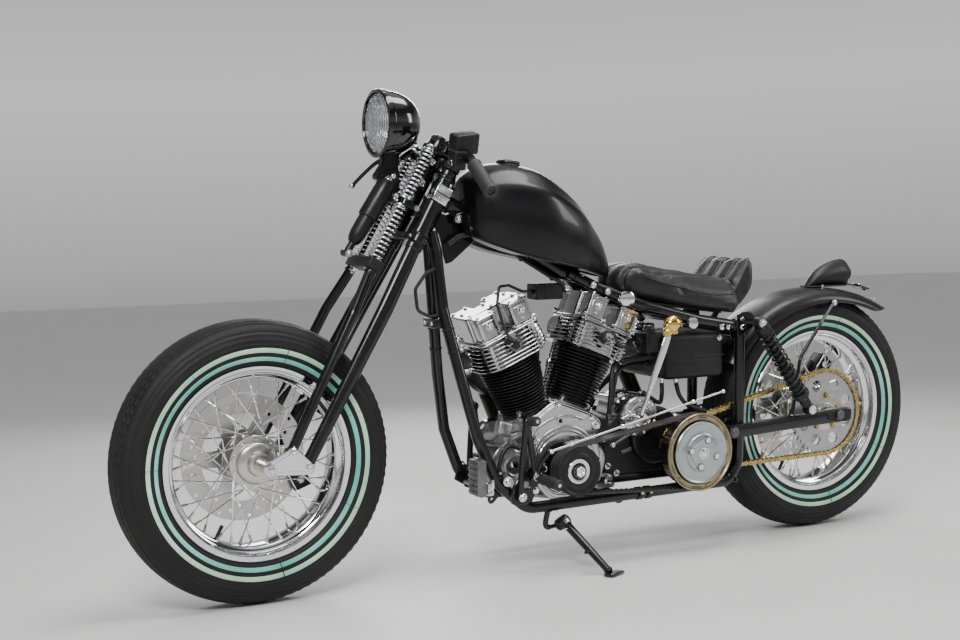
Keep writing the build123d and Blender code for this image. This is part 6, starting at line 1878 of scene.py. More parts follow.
# ---------------------------------------------------------------------------
# Frame
# ---------------------------------------------------------------------------
LOOP_Y = 100.0
LOOP = [(1138, 15, 822), (1127, 19, 776), (1114, 26, 640), (1086, 62, 480), (1056, 88, 336), (1010, LOOP_Y, 226), (930, LOOP_Y, 160),
        (330, LOOP_Y, 168), (303, LOOP_Y, 215), (300, LOOP_Y, 566)]
RAIL = [(300, LOOP_Y, 566), (430, LOOP_Y, 588), (600, 92, 632), (700, 44, 676), (760, 16, 712)]


def weld(p, d, R, w=3.0, n=44, arc=(0, 360)):
    """Rippled weld bead round a tube joint."""
    u, v, k_ = basis(d)
    a0, a1 = radians(arc[0]), radians(arc[1])
    full = arc == (0, 360)
    pts, rr = [], []
    for i in range(n if full else n + 1):
        a = a0 + (a1 - a0) * i / n
        pts.append(Vector(p) + (u * cos(a) + v * sin(a)) * R + k_ * .5 * sin(a * 7))
        rr.append(w * (.85 + .22 * (i % 2)))
    return tube(pts, rr, 8, closed=full)


def p_clip(p, d, R, up_, bolt=True):
    """Clamp ring round a tube, with a block standing out from it."""
    return join(lathe([(R - .3, -4.5), (R + 1.6, -4.5), (R + 1.6, 4.5), (R - .3, 4.5)], p, d, 28, ring=True),
                box(Vector(p) + Vector(up_) * (R + 5), (9, 9, 10), axes(Vector(up_).cross(Vector(d)), Vector(d), Vector(up_)), 1.2, 2))


for tag, sg in (("left", 1), ("right", -1)):
    g = Mesh()
    fl = lambda p: Vector((p[0], p[1] * sg, p[2]))
    P = rounded([fl(p) for p in LOOP], 24, 8)
    P2 = rounded([fl(p) for p in LOOP[:2]], 24, 2)
    g.add(tube(rounded([fl(p) for p in LOOP], 60, 10), 13.9, 22), 0)
    g.add(tube(rounded([fl(p) for p in RAIL], 60, 8), 13.9, 22), 0)
    c = fl((300, LOOP_Y, 566))
    g.add(lathe([(0, -14), (17.5, -14), (19, -12.4), (19, 12.4), (17.5, 14), (0, 14)], c, Y, 32), 0)
    g.add(acorn(c + Y * sg * 13.8, Y * sg, 8.4, 9), 0)
    g.add(weld(fl((302, LOOP_Y, 545)), Z, 14.2, 2.6), 0)
    g.add(weld(fl((322, LOOP_Y, 569.7)), (1, 0, .17), 14.4, 2.6), 0)
    g.add(weld(fl((746, 22.4, 703.5)), (1, -.47, .6), 14.4, 2.6), 0)
    # bungs and chrome bolts along the rails and the downtube
    for p_, r_ in (((461, 100, 583), 15), ((372, 100, 569), 8.0), ((352, 100, 567), 6.5)):
        q = fl(p_)
        flute = lambda t: 1.0 + .05 * cos(10 * t)
        g.add(lathe([(0, 10), (r_, 10), (r_, 19), (r_ * .9, 21.5), (r_ * .5, 22.5), (0, 22.5)], q, Y * sg, 40, sq=flute if r_ > 12 else None), 1)
    for p_ in ((690, 60, 668), (720, 42, 684)):
        q = fl(p_)
        g.add(bar(q + Vector((0, 8 * sg, 0)), q + Vector((0, 22 * sg, 0)), 7.5, seg=20), 0)
        g.add(acorn(q + Vector((0, 21.5 * sg, 0)), Y * sg, 6.4, 6), 1)
    # clamps on the lower rail and the downtube
    for x_, z_ in ((612, 164.2), (586, 164.6)):
        g.add(lathe([(13.8, -7), (16.4, -7), (16.4, 7), (13.8, 7)], fl((x_, LOOP_Y, z_)), X, 30, ring=True), 0)
        g.add(box(fl((x_, LOOP_Y + 15, z_ + 2)), (13, 8, 15), None, 1.8, 2), 0)
        g.add(capbolt(fl((x_, LOOP_Y + 18.6, z_ + 4)), Y * sg, 4, 3.4), 1)
    for t_ in (.30, .62):
        a_, b_ = fl((1114, 26, 640)), fl((1086, 62, 480))
        q = a_ + (b_ - a_) * t_
        g.add(lathe([(13.6, -2.4), (15.2, -2.4), (15.4, 0), (15.2, 2.4), (13.6, 2.4)], q, (b_ - a_), 28, ring=True), 2)
        g.add(box(q + Vector((4, 15 * sg, 0)), (6, 4, 6), None, .8, 1), 2)
    # seat post tube ends, motor mount tabs
    g.add(xz([[(1010, 196), (1030, 208), (1018, 246), (1000, 240), (992, 214)]], sg * 82, sg * 88, 1.4), 0)
    g.add(hexbolt(fl((1010, 88, 222)), Y * sg, 6.5, .6, washer=False), 1)
    g.add(xz([[(322, 180), (352, 180), (360, 282), (336, 330), (316, 330), (312, 282)]], sg * 86.5, sg * 92.5, 1.6), 0)
    g.add(weld(fl((318, LOOP_Y, 176)), (1, 0, -.7), 14.3, 2.2), 0)
    g.make("Frame_%s_loop" % tag, ["frame_black", "chrome", "plastic_black"], "chassis", ["frame_%s_loop" % tag])

# backbone, steering head, gusset
g = Mesh()
g.add(lathe([(13.4, -52), (25.6, -52), (27, -50.6), (27, -40), (25.2, -38), (25.0, -30), (25.0, 72), (27, 80), (27, 91.6), (25.6, 93), (13.4, 93)],
            fork(0, 0, 0), FORK_UP, 44, ring=True), 0)
for s_ in (-50.6, 91.4):
    g.add(lathe([(14, -2.2), (27.4, -2.2), (28.0, -1), (28.0, 1), (27.4, 2.2), (14, 2.2)], fork(s_, 0, 0), FORK_UP, 44, ring=True), 1)
bb = rounded([fork(58, -22, 0), Vector((1010, 0, 846)), Vector((780, 0, 716)), Vector((735, 0, 706))], 60, 10)
g.add(tube(bb, 18.9, 26), 0)
g.add(weld(fork(56, -26, 0), Vector((-1, 0, -.12)), 19.8, 3.2), 0)
g.add(weld(fork(-40, -6, 0), FORK_UP, 24, 3.0), 0)
gus = [(1116, 868), (1060, 846), (1010, 829), (1000, 812), (1022, 792), (1052, 768), (1078, 748), (1092, 744), (1098, 762), (1103, 792), (1110, 814), (1124, 836)]
g.add(xz([gus], -4.6, 4.6, 1.6), 0)
# tank mounting ears with chrome bolts
for sg in (1, -1):
    g.add(xz([hull_outline([(1070, 850, 12), (1046, 846, 11), (1052, 858, 9)], 24)], sg * 19, sg * 25, 1.4), 0)
    g.add(lathe([(0, 0), (9.6, 0), (9.6, 2), (8.8, 2.8), (0, 2.8)], (1071, sg * 25, 850), Y * sg, 26), 1)
    g.add(acorn((1071, sg * 27.4, 850), Y * sg, 7.4, 8), 1)
    g.add(bar((735, sg * 14, 704), (735, sg * 34, 704), 7, seg=16), 0)
    g.add(acorn((735, sg * 33, 704), Y * sg, 7, 6), 1)
# wiring run under the backbone with ties
wr = smooth([(1096, 20, 792), (1060, 23, 812), (1000, 24, 806), (940, 22, 776), (880, 21, 742), (820, 20, 708), (786, 18, 690), (772, 12, 668)], 6)
g.add(tube(wr, 5.2, 12), 2)
g.add(tube([p + Vector((2, 9, -3)) for p in wr], 3.4, 10), 2)
for i in range(4, len(wr) - 4, 9):
    g.add(lathe([(6.0, -2), (7.6, -2), (7.6, 2), (6.0, 2)], wr[i] + Vector((1, 3.6, -1)), wr[i + 1] - wr[i], 20, ring=True), 2)
g.make("Frame_backbone", ["frame_black", "chrome", "cable_black"], "chassis", ["frame_backbone"])

# side stand geometry, in the leaned frame before the shift
L2B = Matrix.Rotation(LEAN, 3, "X")
B2L = Matrix.Rotation(-LEAN, 3, "X")
SP0 = B2L @ Vector((836.0, 114.0, 120.0))
GZ = -SHIFT.z
FOOT = Vector((796.0, 252.0, GZ))
d1 = (FOOT + Vector((0, 0, 9)) - SP0).normalized()
d2 = (B2L @ Vector((-0.98, 0.10, -0.02))).normalized()
nrm, bis = d1.cross(d2).normalized(), (d1 + d2).normalized()
SAX = (nrm * cos(radians(28)) + bis * sin(radians(28))).normalized()
bk = lambda v: L2B @ v

g = Mesh()
for x_, z_, r_ in ((1000, 208, 12), (660, 158, 14), (345, 172, 14), (310, 548, 12), (470, 596, 11)):
    yy = {1000: 89, 660: 90, 345: 90, 310: 92, 470: 88}[x_]
    g.add(lathe([(0, -yy), (r_ - .2, -yy), (r_ - .2, yy), (0, yy)], (x_, 0, z_), Y, 26), 0)
    for sg in (1, -1):
        g.add(weld((x_, sg * (yy - 3.4), z_), Y, r_ + .8, 2.2, 32), 0)
for x_ in (400, 545):
    for sg in (1, -1):
        g.add(box((470, sg * 44, 608), (34, 26, 5), None, 1.4, 2), 0)
        g.add(hexbolt((470, sg * 44, 610), Z, 6, 5), 1)
# clamp block between the downtubes: two halves and screws
g.add(box((1117, 0, 606), (41, 66, 23.4), None, 3, 3), 0)
g.add(box((1117, 0, 606), (42, 60, 1.4), None, .3, 1), 2)
for sg in (1, -1):
    g.add(capbolt((1138, sg * 18, 606), X, 5, 4), 1)
# bracket of the side stand
q0 = bk(SP0 - SAX * 20)
ax_b = bk(SAX)
g.add(lathe([(0, 0), (14, 0), (15, 1), (15, 7.4), (14, 8.4), (0, 8.4)], q0, ax_b, 30), 0)
g.add(lathe([(0, 8), (5.8, 8), (5.8, 33), (5, 34), (0, 34)], q0, ax_b, 20), 1)
knee = bk(SP0 - SAX * 15.7 + Vector((38, 0, 0)))
railp = Vector((838.0 + 36, 102.0, 152.0))
g.add(tube(smooth([bk(SP0 - SAX * 15.7), knee, railp], 7), [5.2] * 5 + [7.0] * 10, 14), 0)
g.add(weld(railp - Vector((0, 0, 3)), Z, 8.6, 2.2, 28), 0)
g.add(xz([[(846, 146), (904, 148), (900, 162), (884, 168), (856, 168), (844, 160)]], 96, 104, 1.5), 0)
g.make("Frame_crossmembers", ["frame_black", "chrome", "plastic_black"], "chassis", ["frame_crossmembers"])

# side stand: leg with a slight bow, fork end, curved foot, return spring
g = Mesh()
legend = FOOT + Vector((0, 0, 9))
q = lambda t: bk(SP0 + (legend - SP0) * t)
pts = [q(t) for t in (0.07, .18, .35, .55, .75, .9, 1.0)]
g.add(tube(smooth(pts, 3), [11 - 2.4 * i / 18 for i in range(19)], 18), 0)
g.add(lathe([(6.15, -10.8), (14.6, -10.8), (16, -9.4), (16, 9.4), (14.6, 10.8), (6.15, 10.8)], bk(SP0), ax_b, 36, ring=True), 0)
foot_b = bk(Vector((FOOT.x - 8, FOOT.y + 10, GZ + 4)))
Mf = (L2B.to_4x4() @ Matrix.Rotation(radians(28), 4, "Z"))
V_, F_ = box((0, 0, 0), (57, 29, 5.4), None, 2.2, 3)
V_ = [Vector((v.x, v.y * (1 - .12 * abs(v.x) / 28), v.z + .0022 * v.x * v.x * (1 if v.z > 0 else .45))) for v in V_]
g.add(moved((V_, F_), Matrix.Translation(foot_b - bk(Vector((0, 0, .6)))) @ Mf), 0)
g.add(tube([q(.94), q(1.0) - bk(Vector((0, 0, 2.2)))], [9.2, 10.5], 18), 0)
g.add(weld(q(.985), bk(legend - SP0), 9.6, 1.8, 30), 0)
# tongue that lifts the stand, and the return spring's lug
g.add(tube(smooth([q(.62), q(.62) + bk(Vector((14, 8, 2))), q(.62) + bk(Vector((30, 22, 6)))], 5), 4.2, 12), 0)
g.add(bar(q(.14), q(.14) + bk(Vector((16, 2, 0))), 3.2, seg=12), 1)
g.add(acorn(bk(SP0 + SAX * 10.6), ax_b, 9, 5), 1)
g.make("Side_stand", ["frame_black", "chrome"], "side_stand", ["side_stand"])

# ---------------------------------------------------------------------------
# Swingarm, shocks, rear caliper
# ---------------------------------------------------------------------------
g = Mesh()
for sg in (1, -1):
    V_, F_ = [], []
    # box-section arm, slightly crowned faces and radiused edges
    rows = [(356, 283, 316), (330, 284, 317.5), (240, 288.5, 322), (150, 292.8, 327.6), (60, 296.4, 332), (0, 298, 335.4), (-34, 298.6, 336.6), (-43, 302, 333.6)]
    secs = []
    for x_, z0, z1 in rows:
        zc, h = (z0 + z1) / 2, (z1 - z0) / 2
        secs.append([Vector((x_, sg * (128 + yy), zc + zz * h)) for yy, zz in
                     ((12, -.72), (12, .72), (10.6, .90), (7.5, 1), (-7.5, 1), (-10.6, .90), (-12, .72), (-12, -.72), (-10.6, -.90), (-7.5, -1), (7.5, -1), (10.6, -.90))])
    g.add(loft(secs), 0)
    # axle slot plate, adjuster, nut, pivot cap
    sl = [Vector((-12 - 9 * cos(t), 318 - 9 * sin(t))) for t in [pi / 2 * (k / 6) * 2 - pi / 2 for k in range(7)]]
    g.add(xz([hull_outline([(-22, 318, 17), (26, 317, 14)], 28)], sg * 139.6, sg * 142.2, .8), 3)
    g.add(lathe([(0, 0), (14, 0), (14.6, .8), (14.6, 2.6), (0, 2.6)], (0, sg * 141.4, 319), Y * sg, 30), 1)
    g.add(lathe([(0, 2), (12, 2), (12, 7.0), (10.8, 8.4), (0, 8.4)], (0, sg * 141.4, 319), Y * sg, 36, sq=hexr), 1)
    g.add(bar((-43, sg * 128, 318), (-50, sg * 128, 318), 5, seg=16), 1)
    g.add(hexbolt((-43.4, sg * 128, 318), -X, 7, 5), 1)
    g.add(lathe([(0, 0), (15.5, 0), (16, 1), (16, 3), (0, 3)], (345, sg * 139, 300), Y * sg, 32), 0)
    g.add(acorn((345, sg * 141.6, 300), Y * sg, 10, 6), 1)
    in_ = 95.5 if sg > 0 else 80.0
    g.add(lathe([(10.4, in_), (15.2, in_), (15.9, in_ + 1), (15.9, in_ + 7), (14.4, in_ + 8.5), (14.4, 114), (15.9, 115.8), (10.4, 115.8)], (0, 0, 319), Y * sg, 32, ring=True), 2)
    g.add(lathe([(0, 84), (16.8, 84), (16.8, 90), (15.6, 92), (15.6, 116.4), (0, 116.4)], (345, 0, 300), Y * sg, 30), 0)
g.add(lathe([(0, -148), (9.2, -148), (9.9, -147), (9.9, 147), (9.2, 148), (0, 148)], REAR, Y, 24), 2)
g.add(lathe([(0, -86), (16.4, -86), (16.4, 86), (0, 86)], (345, 0, 300), Y, 30), 0)
g.make("Swingarm", ["frame_black", "steel_dark", "steel_dark", "box_black"], "chassis", ["swingarm"])

g = Mesh()
T_, B_ = Vector((283, 0, 578)), Vector((117, 0, 345))
for sg in (1, -1):
    t, b = T_ + Y * sg * 158, B_ + Y * sg * 158
    P_ = lambda k: t + (b - t) * k
    L_ = (b - t).length
    g.add(lathe([(0, L_ * .03), (18.5, L_ * .03), (20.4, L_ * .04), (20.6, L_ * .085), (19.6, L_ * .098), (15, L_ * .10), (15, L_ * .12), (0, L_ * .12)], t, b - t, 36), 0)
    g.add(helix(P_(.100), P_(.80), 18.6, 2.75, 13.0, 10, 26), 0)
    g.add(lathe([(0, L_ * .1), (12.6, L_ * .1), (12.6, L_ * .50), (15.2, L_ * .51), (15.2, L_ * .84), (0, L_ * .84)], t, b - t, 30), 0)
    g.add(lathe([(0, L_ * .795), (22.4, L_ * .795), (23.2, L_ * .805), (23.2, L_ * .83), (20.6, L_ * .845), (18.6, L_ * .86), (14, L_ * .88), (13.4, L_ * .95), (0, L_ * .95)], t, b - t, 36), 0)
    for i in range(5):
        a = 2 * pi * i / 5
        u_, v_, w_ = basis(b - t)
        g.add(box(P_(.842) + (u_ * cos(a) + v_ * sin(a)) * 19.8, (7, 5, 8), axes(v_ * cos(a) - u_ * sin(a), u_ * cos(a) + v_ * sin(a), w_), 1.2, 1), 0)
    for e in (t, b):
        g.add(lathe([(7.3, -11.8), (12.8, -11.8), (14, -10.6), (14, 10.6), (12.8, 11.8), (7.3, 11.8)], e, Y, 32, ring=True), 0)
        g.add(lathe([(6.9, -12.4), (10.2, -12.4), (10.2, 12.4), (6.9, 12.4)], e, Y, 26, ring=True), 2)
        g.add(lathe([(0, 12.4), (11.5, 12.4), (11.8, 13.4), (11.5, 14.4), (0, 14.4)], e, Y * sg, 28), 1)
        g.add(acorn(e + Y * sg * 13.6, Y * sg, 8.0, 6.4), 1)
    g.add(bar(Vector((T_.x, sg * 116, T_.z)), Vector((T_.x, sg * 150, T_.z)), 7.0, seg=18), 1)
    g.add(bar(Vector((B_.x, sg * 139.5, B_.z)), Vector((B_.x, sg * 150, B_.z)), 7.0, seg=18), 1)
    pl_ = [(288, 604), (274, 598), (267, 588), (268, 574), (273, 562), (300, 549), (321, 541), (322, 570), (321, 597), (306, 603)]
    g.add(xz([pl_], sg * 114.2, sg * 118.8, 1.2), 3)
    g.add(hexbolt((306, sg * 118.6, 566), Y * sg, 6.0, 4.4), 1)
    g.add(hexbolt((308, sg * 118.6, 586), Y * sg, 4.6, 3.6), 1)
g.make("Rear_shocks", ["barrel_black", "chrome", "nickel", "frame_black"], "chassis", ["rear_shocks"])

g = Mesh()
rc = Vector((-96, -76, 415))
Mr_ = Matrix.Rotation(radians(45), 4, "Y")
RXv, RZv = (Mr_ @ Vector((1, 0, 0))).normalized(), (Mr_ @ Vector((0, 0, 1))).normalized()
for sg in (1, -1):
    yc = -66 + sg * 15.2 + (-6 if sg < 0 else 3) * 0
    g.add(box(Vector((rc.x, -66 + sg * 15.5 - (1 if sg < 0 else 0), rc.z)), (83, 15, 45), Mr_, 4, 3), 0)
    for k in (-1, 1):
        c_ = Vector((rc.x, -66 + sg * 22.6 - (1 if sg < 0 else 0), rc.z)) + RXv * k * 19
        g.add(lathe([(0, -2), (15, -2), (16, -1), (16, .4), (0, .4)], c_, Y * sg, 30), 0)
        g.add(lathe([(0, 0), (8, 0), (8, 1.0), (0, 1.0)], c_, Y * sg, 24), 1)
g.add(box(rc + RZv * 19 + Y * 10, (78, 44, 7), Mr_, 2.4, 2), 0)
for k in (1, -1):
    g.add(capbolt(rc + RXv * k * 33 - Y * 21.6 + RZv * 8, -Y, 4.6, 2.4), 1)
g.add(lathe([(0, 0), (5.5, 0), (5.5, 3), (4, 4), (4, 8), (2.4, 9), (2.4, 13), (0, 13)], rc + RXv * 40 + Y * 4, RXv, 14), 1)
arm_ = hull_outline([(0, 319, 21.8), (-84, 403, 15.8)], 40)
g.add(xz([arm_, circle2(0, 319, 16.4, 30), circle2(-42, 361, 8, 22), circle2(-24, 343, 5.4, 18), circle2(-60, 379, 5.4, 18)], -95.8, -88.2, 1.0), 2)
g.add(hexbolt((-84, -95.6, 403), -Y, 7, 6), 1)
# hose from the caliper forward along the swingarm
g.add(tube(smooth([(-62, -84, 446), (-44, -104, 440), (-16, -112, 404), (20, -112, 356), (90, -112, 342), (200, -112, 336), (300, -112, 330)], 7), 3.6, 10), 3)
g.make("Rear_brake_caliper", ["box_black", "chrome", "bare_rod", "cable_black"], "chassis", ["rear_brake_caliper"])

# ---------------------------------------------------------------------------
# Feet: pedal brackets, pegs, clutch rod, shift lever and knob
# ---------------------------------------------------------------------------
g = Mesh()
for sg in (1, -1):
    fl = lambda p: Vector((p[0], p[1] * sg, p[2]))
    pl_ = [(984, 180), (986, 196), (984, 212), (972, 232), (941, 261), (928, 263), (913, 261), (906, 250), (906, 238), (916, 208), (929, 180), (940, 176), (972, 175)]
    g.add(xz([pl_, circle2(944, 222, 9, 22)], sg * 115.2, sg * 123.8, 2.0), 0)
    # rods of the pedal meeting at its top
    g.add(tube(smooth([fl((925, 132, 244)), fl((932, 132, 286)), fl((942, 133, 334)), fl((948, 134, 372))], 4), [9.2, 8.8, 8.4, 8, 8, 8, 8, 8, 8, 8, 8.2, 8.4, 8.6], 16), 0)
    g.add(tube(smooth([fl((965, 130, 200)), fl((962, 131, 260)), fl((957, 133, 320)), fl((952, 134, 372))], 4), 7.8, 16), 0)
    g.add(uvball(fl((950, 134, 374)), 11.4, 22, 14), 0)
    # bosses, ring bolt, pegs with rubber rings and chrome end screws
    g.add(lathe([(0, 100), (9, 100), (9, 116), (12, 117), (12, 134), (10.6, 136), (0, 136)], fl((962, 0, 196)), Y * sg, 26), 0)
    g.add(acorn(fl((962, 135.5, 196)), Y * sg, 8, 8), 1)
    g.add(lathe([(0, 0), (10, 0), (13.5, 2), (13.5, 18), (12, 20), (0, 20)], fl((925, 124, 243)), Y * sg, 30), 0)
    g.add(lathe([(7.6, 0), (12.0, 0), (12.4, 1), (11.0, 3.6), (8.4, 4.0), (7.6, 2.4)], fl((925, 143.6, 244)), Y * sg, 30, ring=True), 1)
    g.add(hexbolt(fl((925, 143.6, 244)), Y * sg, 6.2, 5), 1)
    for a_, b_, r_ in (((944, 138, 376), (940, 167, 379), 12.0), ((921, 148, 239.4), (908, 214, 232), 13.0)):
        a_, b_ = fl(a_), fl(b_)
        L_ = (b_ - a_).length
        prof = [(0, 0), (r_ - 1.5, 0), (r_ - .3, 1.2)]
        y_ = 4.0
        while y_ < L_ - 9:
            prof += [(r_ - .2, y_), (r_ - 1.6, y_ + .7), (r_ - 1.6, y_ + 1.9), (r_ - .2, y_ + 2.6)]
            y_ += 6.2
        prof += [(r_ - .2, L_ - 4), (r_ - 1.4, L_ - .6), (r_ - 5, L_), (0, L_)]
        g.add(lathe(prof, a_, b_ - a_, 30), 2)
        g.add(lathe([(0, 0), (4.6, 0), (4.6, .5), (3.2, .9), (0, .9)], b_ - (b_ - a_).normalized() * .6, b_ - a_, 18), 1)
    for x_, y_, z_ in ((993, 118, 234), (957, 128, 200)):
        if x_ == 993:
            g.add(bar(fl((x_, 100, z_)), fl((x_, 118, z_)), 7.5, seg=18), 0)
            g.add(acorn(fl((x_, y_, z_)), Y * sg, 9.2, 11), 1)
    g.add(hexbolt(fl((920, 123.6, 206)), Y * sg, 6.2, 5), 1)
# clutch rod with its clevis, adjuster and end ball
a_, b_ = Vector((909, 176, 307.2)), Vector((408, 178, 415))
dd = (b_ - a_).normalized()
g.add(tube([a_, b_], 2.5, 12), 3)
g.add(lathe([(0, 0), (2.9, 0), (2.9, 70), (0, 70)], a_ + dd * 6, dd, 14), 3)
for t_, r_, l_ in ((.10, 4.2, 12), (.385, 5.6, 15), (.80, 5.4, 13)):
    p = a_ + (b_ - a_) * t_
    g.add(lathe([(0, 0), (r_ * .7, 0), (r_, l_ * .2), (r_, l_ * .8), (r_ * .7, l_), (0, l_)], p, dd, 22, sq=hexr), 1)
g.add(uvball(b_ - dd * 3, 5.4, 18, 12), 1)
g.add(lathe([(0, -8), (5, -8), (5.5, -7), (5.5, 5), (4.5, 6), (0, 6)], a_, Y, 20), 1)
g.add(tube([Vector((925, 144, 250)), Vector((928, 160, 276)), Vector((911, 171, 305))], 5, 14), 0)
g.make("Foot_controls", ["frame_black", "chrome", "grip_rubber", "bare_rod"], "chassis", ["foot_controls"])

# shift lever: rod from the gearbox, flat tapered blade above
g = Mesh()
g.add(tube(smooth([(600, 96, 352), (618, 122, 358), (632, 144, 368), (631, 149, 384), (622, 150.4, 408)], 6), 5.0, 16), 1)
g.add(lathe([(0, -8), (11, -8), (12, -7), (12, 7), (11, 8), (0, 8)], (600, 100, 352), Y, 28), 1)
g.add(acorn((600, 107.6, 352), Y, 7, 6), 1)
rows = [(628, 149.8, 390, 3.6, 3.8), (620.5, 150.5, 410, 4.8, 3.2), (609, 151.6, 440, 7.0, 2.8), (593.4, 153.2, 480, 9.2, 2.8), (578, 154.7, 520, 10.4, 2.8), (566, 155.8, 552, 10.2, 2.8), (561, 156, 562, 6, 3.2)]
secs = []
for i, (x_, y_, z_, w_, t_) in enumerate(rows):
    p = Vector((x_, y_, z_))
    n_ = Vector(rows[min(i + 1, len(rows) - 1)][:3]) - Vector(rows[max(i - 1, 0)][:3])
    n_.normalize()
    a_ = n_.cross(Y).normalized()
    secs.append([p + a_ * (w_ * cos(t)) + Y * (t_ * max(-1, min(1, 1.5 * sin(t)))) for t in [2 * pi * k / 20 for k in range(20)]])
g.add(loft(secs), 0)
for z_ in (420, 432):
    g.add(hexbolt((616.8 - (z_ - 420) * .39, 153.4, z_), Y, 3.2, 2.4), 1)
g.make("Shift_lever", ["bare_rod", "chrome"], "chassis", ["shift_lever"])


# knob: small gilt skull facing forward
def skull():
    N, M_ = 72, 48
    V_, F_ = [], []
    for j in range(M_ + 1):
        th = pi * j / M_
        for i in range(N):
            ph = 2 * pi * i / N
            V_.append(Vector((sin(th) * cos(ph), sin(th) * sin(ph), cos(th))))
    for j in range(M_):
        for i in range(N):
            i2 = (i + 1) % N
            F_.append((j * N + i, (j + 1) * N + i, (j + 1) * N + i2, j * N + i2))
    out = []
    for v in V_:
        p = Vector((v.x * 24.5, v.y * 19.5, v.z * 21.5))           # cranium
        if v.z < -.05 and v.x > -.1:                                  # face drawn forward and down to the jaw
            k = min(1, -(v.z + .05) * 1.5) * max(0, min(1, (v.x + .1) * 1.6))
            p += Vector((13, 0, -9.5)) * k
            p.y *= 1 - .30 * k
        if v.z < -.25 and v.x <= -.1:
            p.z += 5 * (-v.z - .25)
        g_ = lambda c, s: math_gauss((v - Vector(c).normalized()).length, s)
        for sg in (1, -1):
            p -= Vector((10.5, -2.0 * sg, 0)) * g_((.86, .37 * sg, -.16), .155)     # eye sockets
            p += Vector((3.2, 0, 1.4)) * g_((.90, .40 * sg, .12), .12)           # brow
            p += Vector((1.5, 3.0 * sg, 0)) * g_((.72, .62 * sg, -.34), .15)     # cheekbone
            p -= Vector((0, 4.2 * sg, 0)) * g_((.34, .80 * sg, -.30), .17)      # temple hollow
            p -= Vector((2.5, 3.4 * sg, 0)) * g_((.55, .58 * sg, -.62), .13)     # under the cheek
        p -= Vector((6.5, 0, 0)) * g_((.93, 0, -.40), .085)            # nose opening
        p -= Vector((2.2, 0, 0)) * g_((.80, 0, -.62), .06)
        out.append(p)
    return out, F_


def math_gauss(d, s):
    return 2.718281828 ** (-(d / s) ** 2)


g = Mesh()
kc = Vector((551, 157, 588))
tilt = Matrix.Rotation(radians(14), 4, "Y")
sk = skull()
g.add(moved(sk, Matrix.Translation(kc) @ tilt), 0)
# two rows of teeth round the jaw, and the dark floors of the sockets
for row_, zo in ((0, -16.2), (1, -20.6)):
    for i in range(9):
        a = radians(-64 + 16 * i)
        c_ = Vector((21.5 + 8.6 * cos(a), 9.4 * sin(a), zo + 1.0))
        g.add(moved(box((0, 0, 0), (2.6, 2.7, 3.7), None, .9, 2), Matrix.Translation(kc) @ tilt @ Matrix.Translation(c_) @ Matrix.Rotation(a, 4, "Z")), 0)
for sg in (1, -1):
    g.add(moved(uvball((12.6, 6.6 * sg, -3.2), 4.0, 16, 10, (.6, 1, 1)), Matrix.Translation(kc) @ tilt), 1)
g.add(moved(lathe([(0, 0), (7.6, 0), (8, 1), (8, 6), (6.4, 8), (0, 8)], (-2, 0, -25), Z, 24), Matrix.Translation(kc) @ tilt), 0)
g.make("Shift_knob", ["gold", "plastic_black"], "chassis", ["shift_knob"], sharp=60)

# regulator: finned body, mounting ears, connector block
g = Mesh()
rcn = Vector((1073, 122, 251))
g.add(box(rcn + Vector((2, 0, 2)), (24, 47, 83), None, 3, 3), 0)
for k in range(6):
    g.add(box(rcn + Vector((14.4, 0, -32 + 13 * k)), (3.6, 43, 5.0), None, 1.0, 2), 0)
for sg in (1, -1):
    g.add(box(rcn + Vector((0, 0, 2 + sg * 42)), (9, 40, 6), None, 1.6, 2), 0)
    g.add(hexbolt(rcn + Vector((4.6, 0, 2 + sg * 43.4)), X, 3.6, 3), 1)
# clip, connector and leads behind
g.add(box((1050, 134, 224), (16, 12, 30), None, 2, 2), 1)
g.add(box((1046, 141, 236), (7, 4, 22), None, 1, 2), 1)
g.add(box((1052, 141, 214), (12, 3, 8), None, 1, 2), 1)
for k in range(2):
    g.add(capbolt((1046 + 8 * k, 141.5, 218 + 10 * k), Y, 3, 2.4), 1)
g.add(tube(smooth([(1050, 132, 208), (1048, 128, 196), (1036, 118, 190), (1016, 112, 204)], 6), 4.0, 10), 2)
g.make("Regulator", ["alloy_dark", "chrome_worn", "cable_black"], "chassis", ["regulator"])

# oil tank: pressed box with a raised belt line, filler, fittings and hoses
g = Mesh()
g.add(box((442, 0, 498), (178, 214, 114), None, 15, 5), 0)
rrect_at = [(442 + p_[0], 498 + p_[1]) for p_ in rrect(74, 42, 12)]
g.add(box((442, 0, 497), (179.4, 215.4, 3.4), None, 1.2, 2), 0)
for sg in (1, -1):
    g.add(box((442, sg * 106.6, 476), (150, 2.2, 26), None, 1.0, 2), 0)
    g.add(hexbolt((370, sg * 106.6, 540), Y * sg, 5.2, 4), 1)
g.add(lathe([(0, 0), (26, 0), (26, 6), (24, 8), (0, 8)], (488, -54, 554), Z, 36), 1)
g.add(lathe([(0, 6), (23, 6), (24.5, 8), (24.5, 14), (22, 17), (10, 18.5), (0, 18.5)], (488, -54, 554), Z, 36, sq=lambda t: 1 + .025 * cos(18 * t)), 1)
for x_, y_ in ((500, 40), (470, 60), (400, -30)):
    g.add(lathe([(0, 0), (8, 0), (8, 8), (5.2, 9), (5.2, 20), (0, 20)], (x_, y_, 443), -Z, 20), 1)
g.add(tube(smooth([(500, 40, 426), (502, 44, 400), (520, 60, 380), (556, 72, 396), (580, 74, 412)], 6), 5.6, 12), 2)
g.add(tube(smooth([(470, 60, 426), (466, 70, 396), (450, 80, 372), (420, 84, 360), (392, 80, 352)], 6), 5.6, 12), 2)
g.add(bar((470, 60, 440), (470, 60, 428), 7.4, seg=18), 1)
g.make("Oil_tank", ["box_black", "chrome", "cable_black"], "chassis", ["oil_tank"])

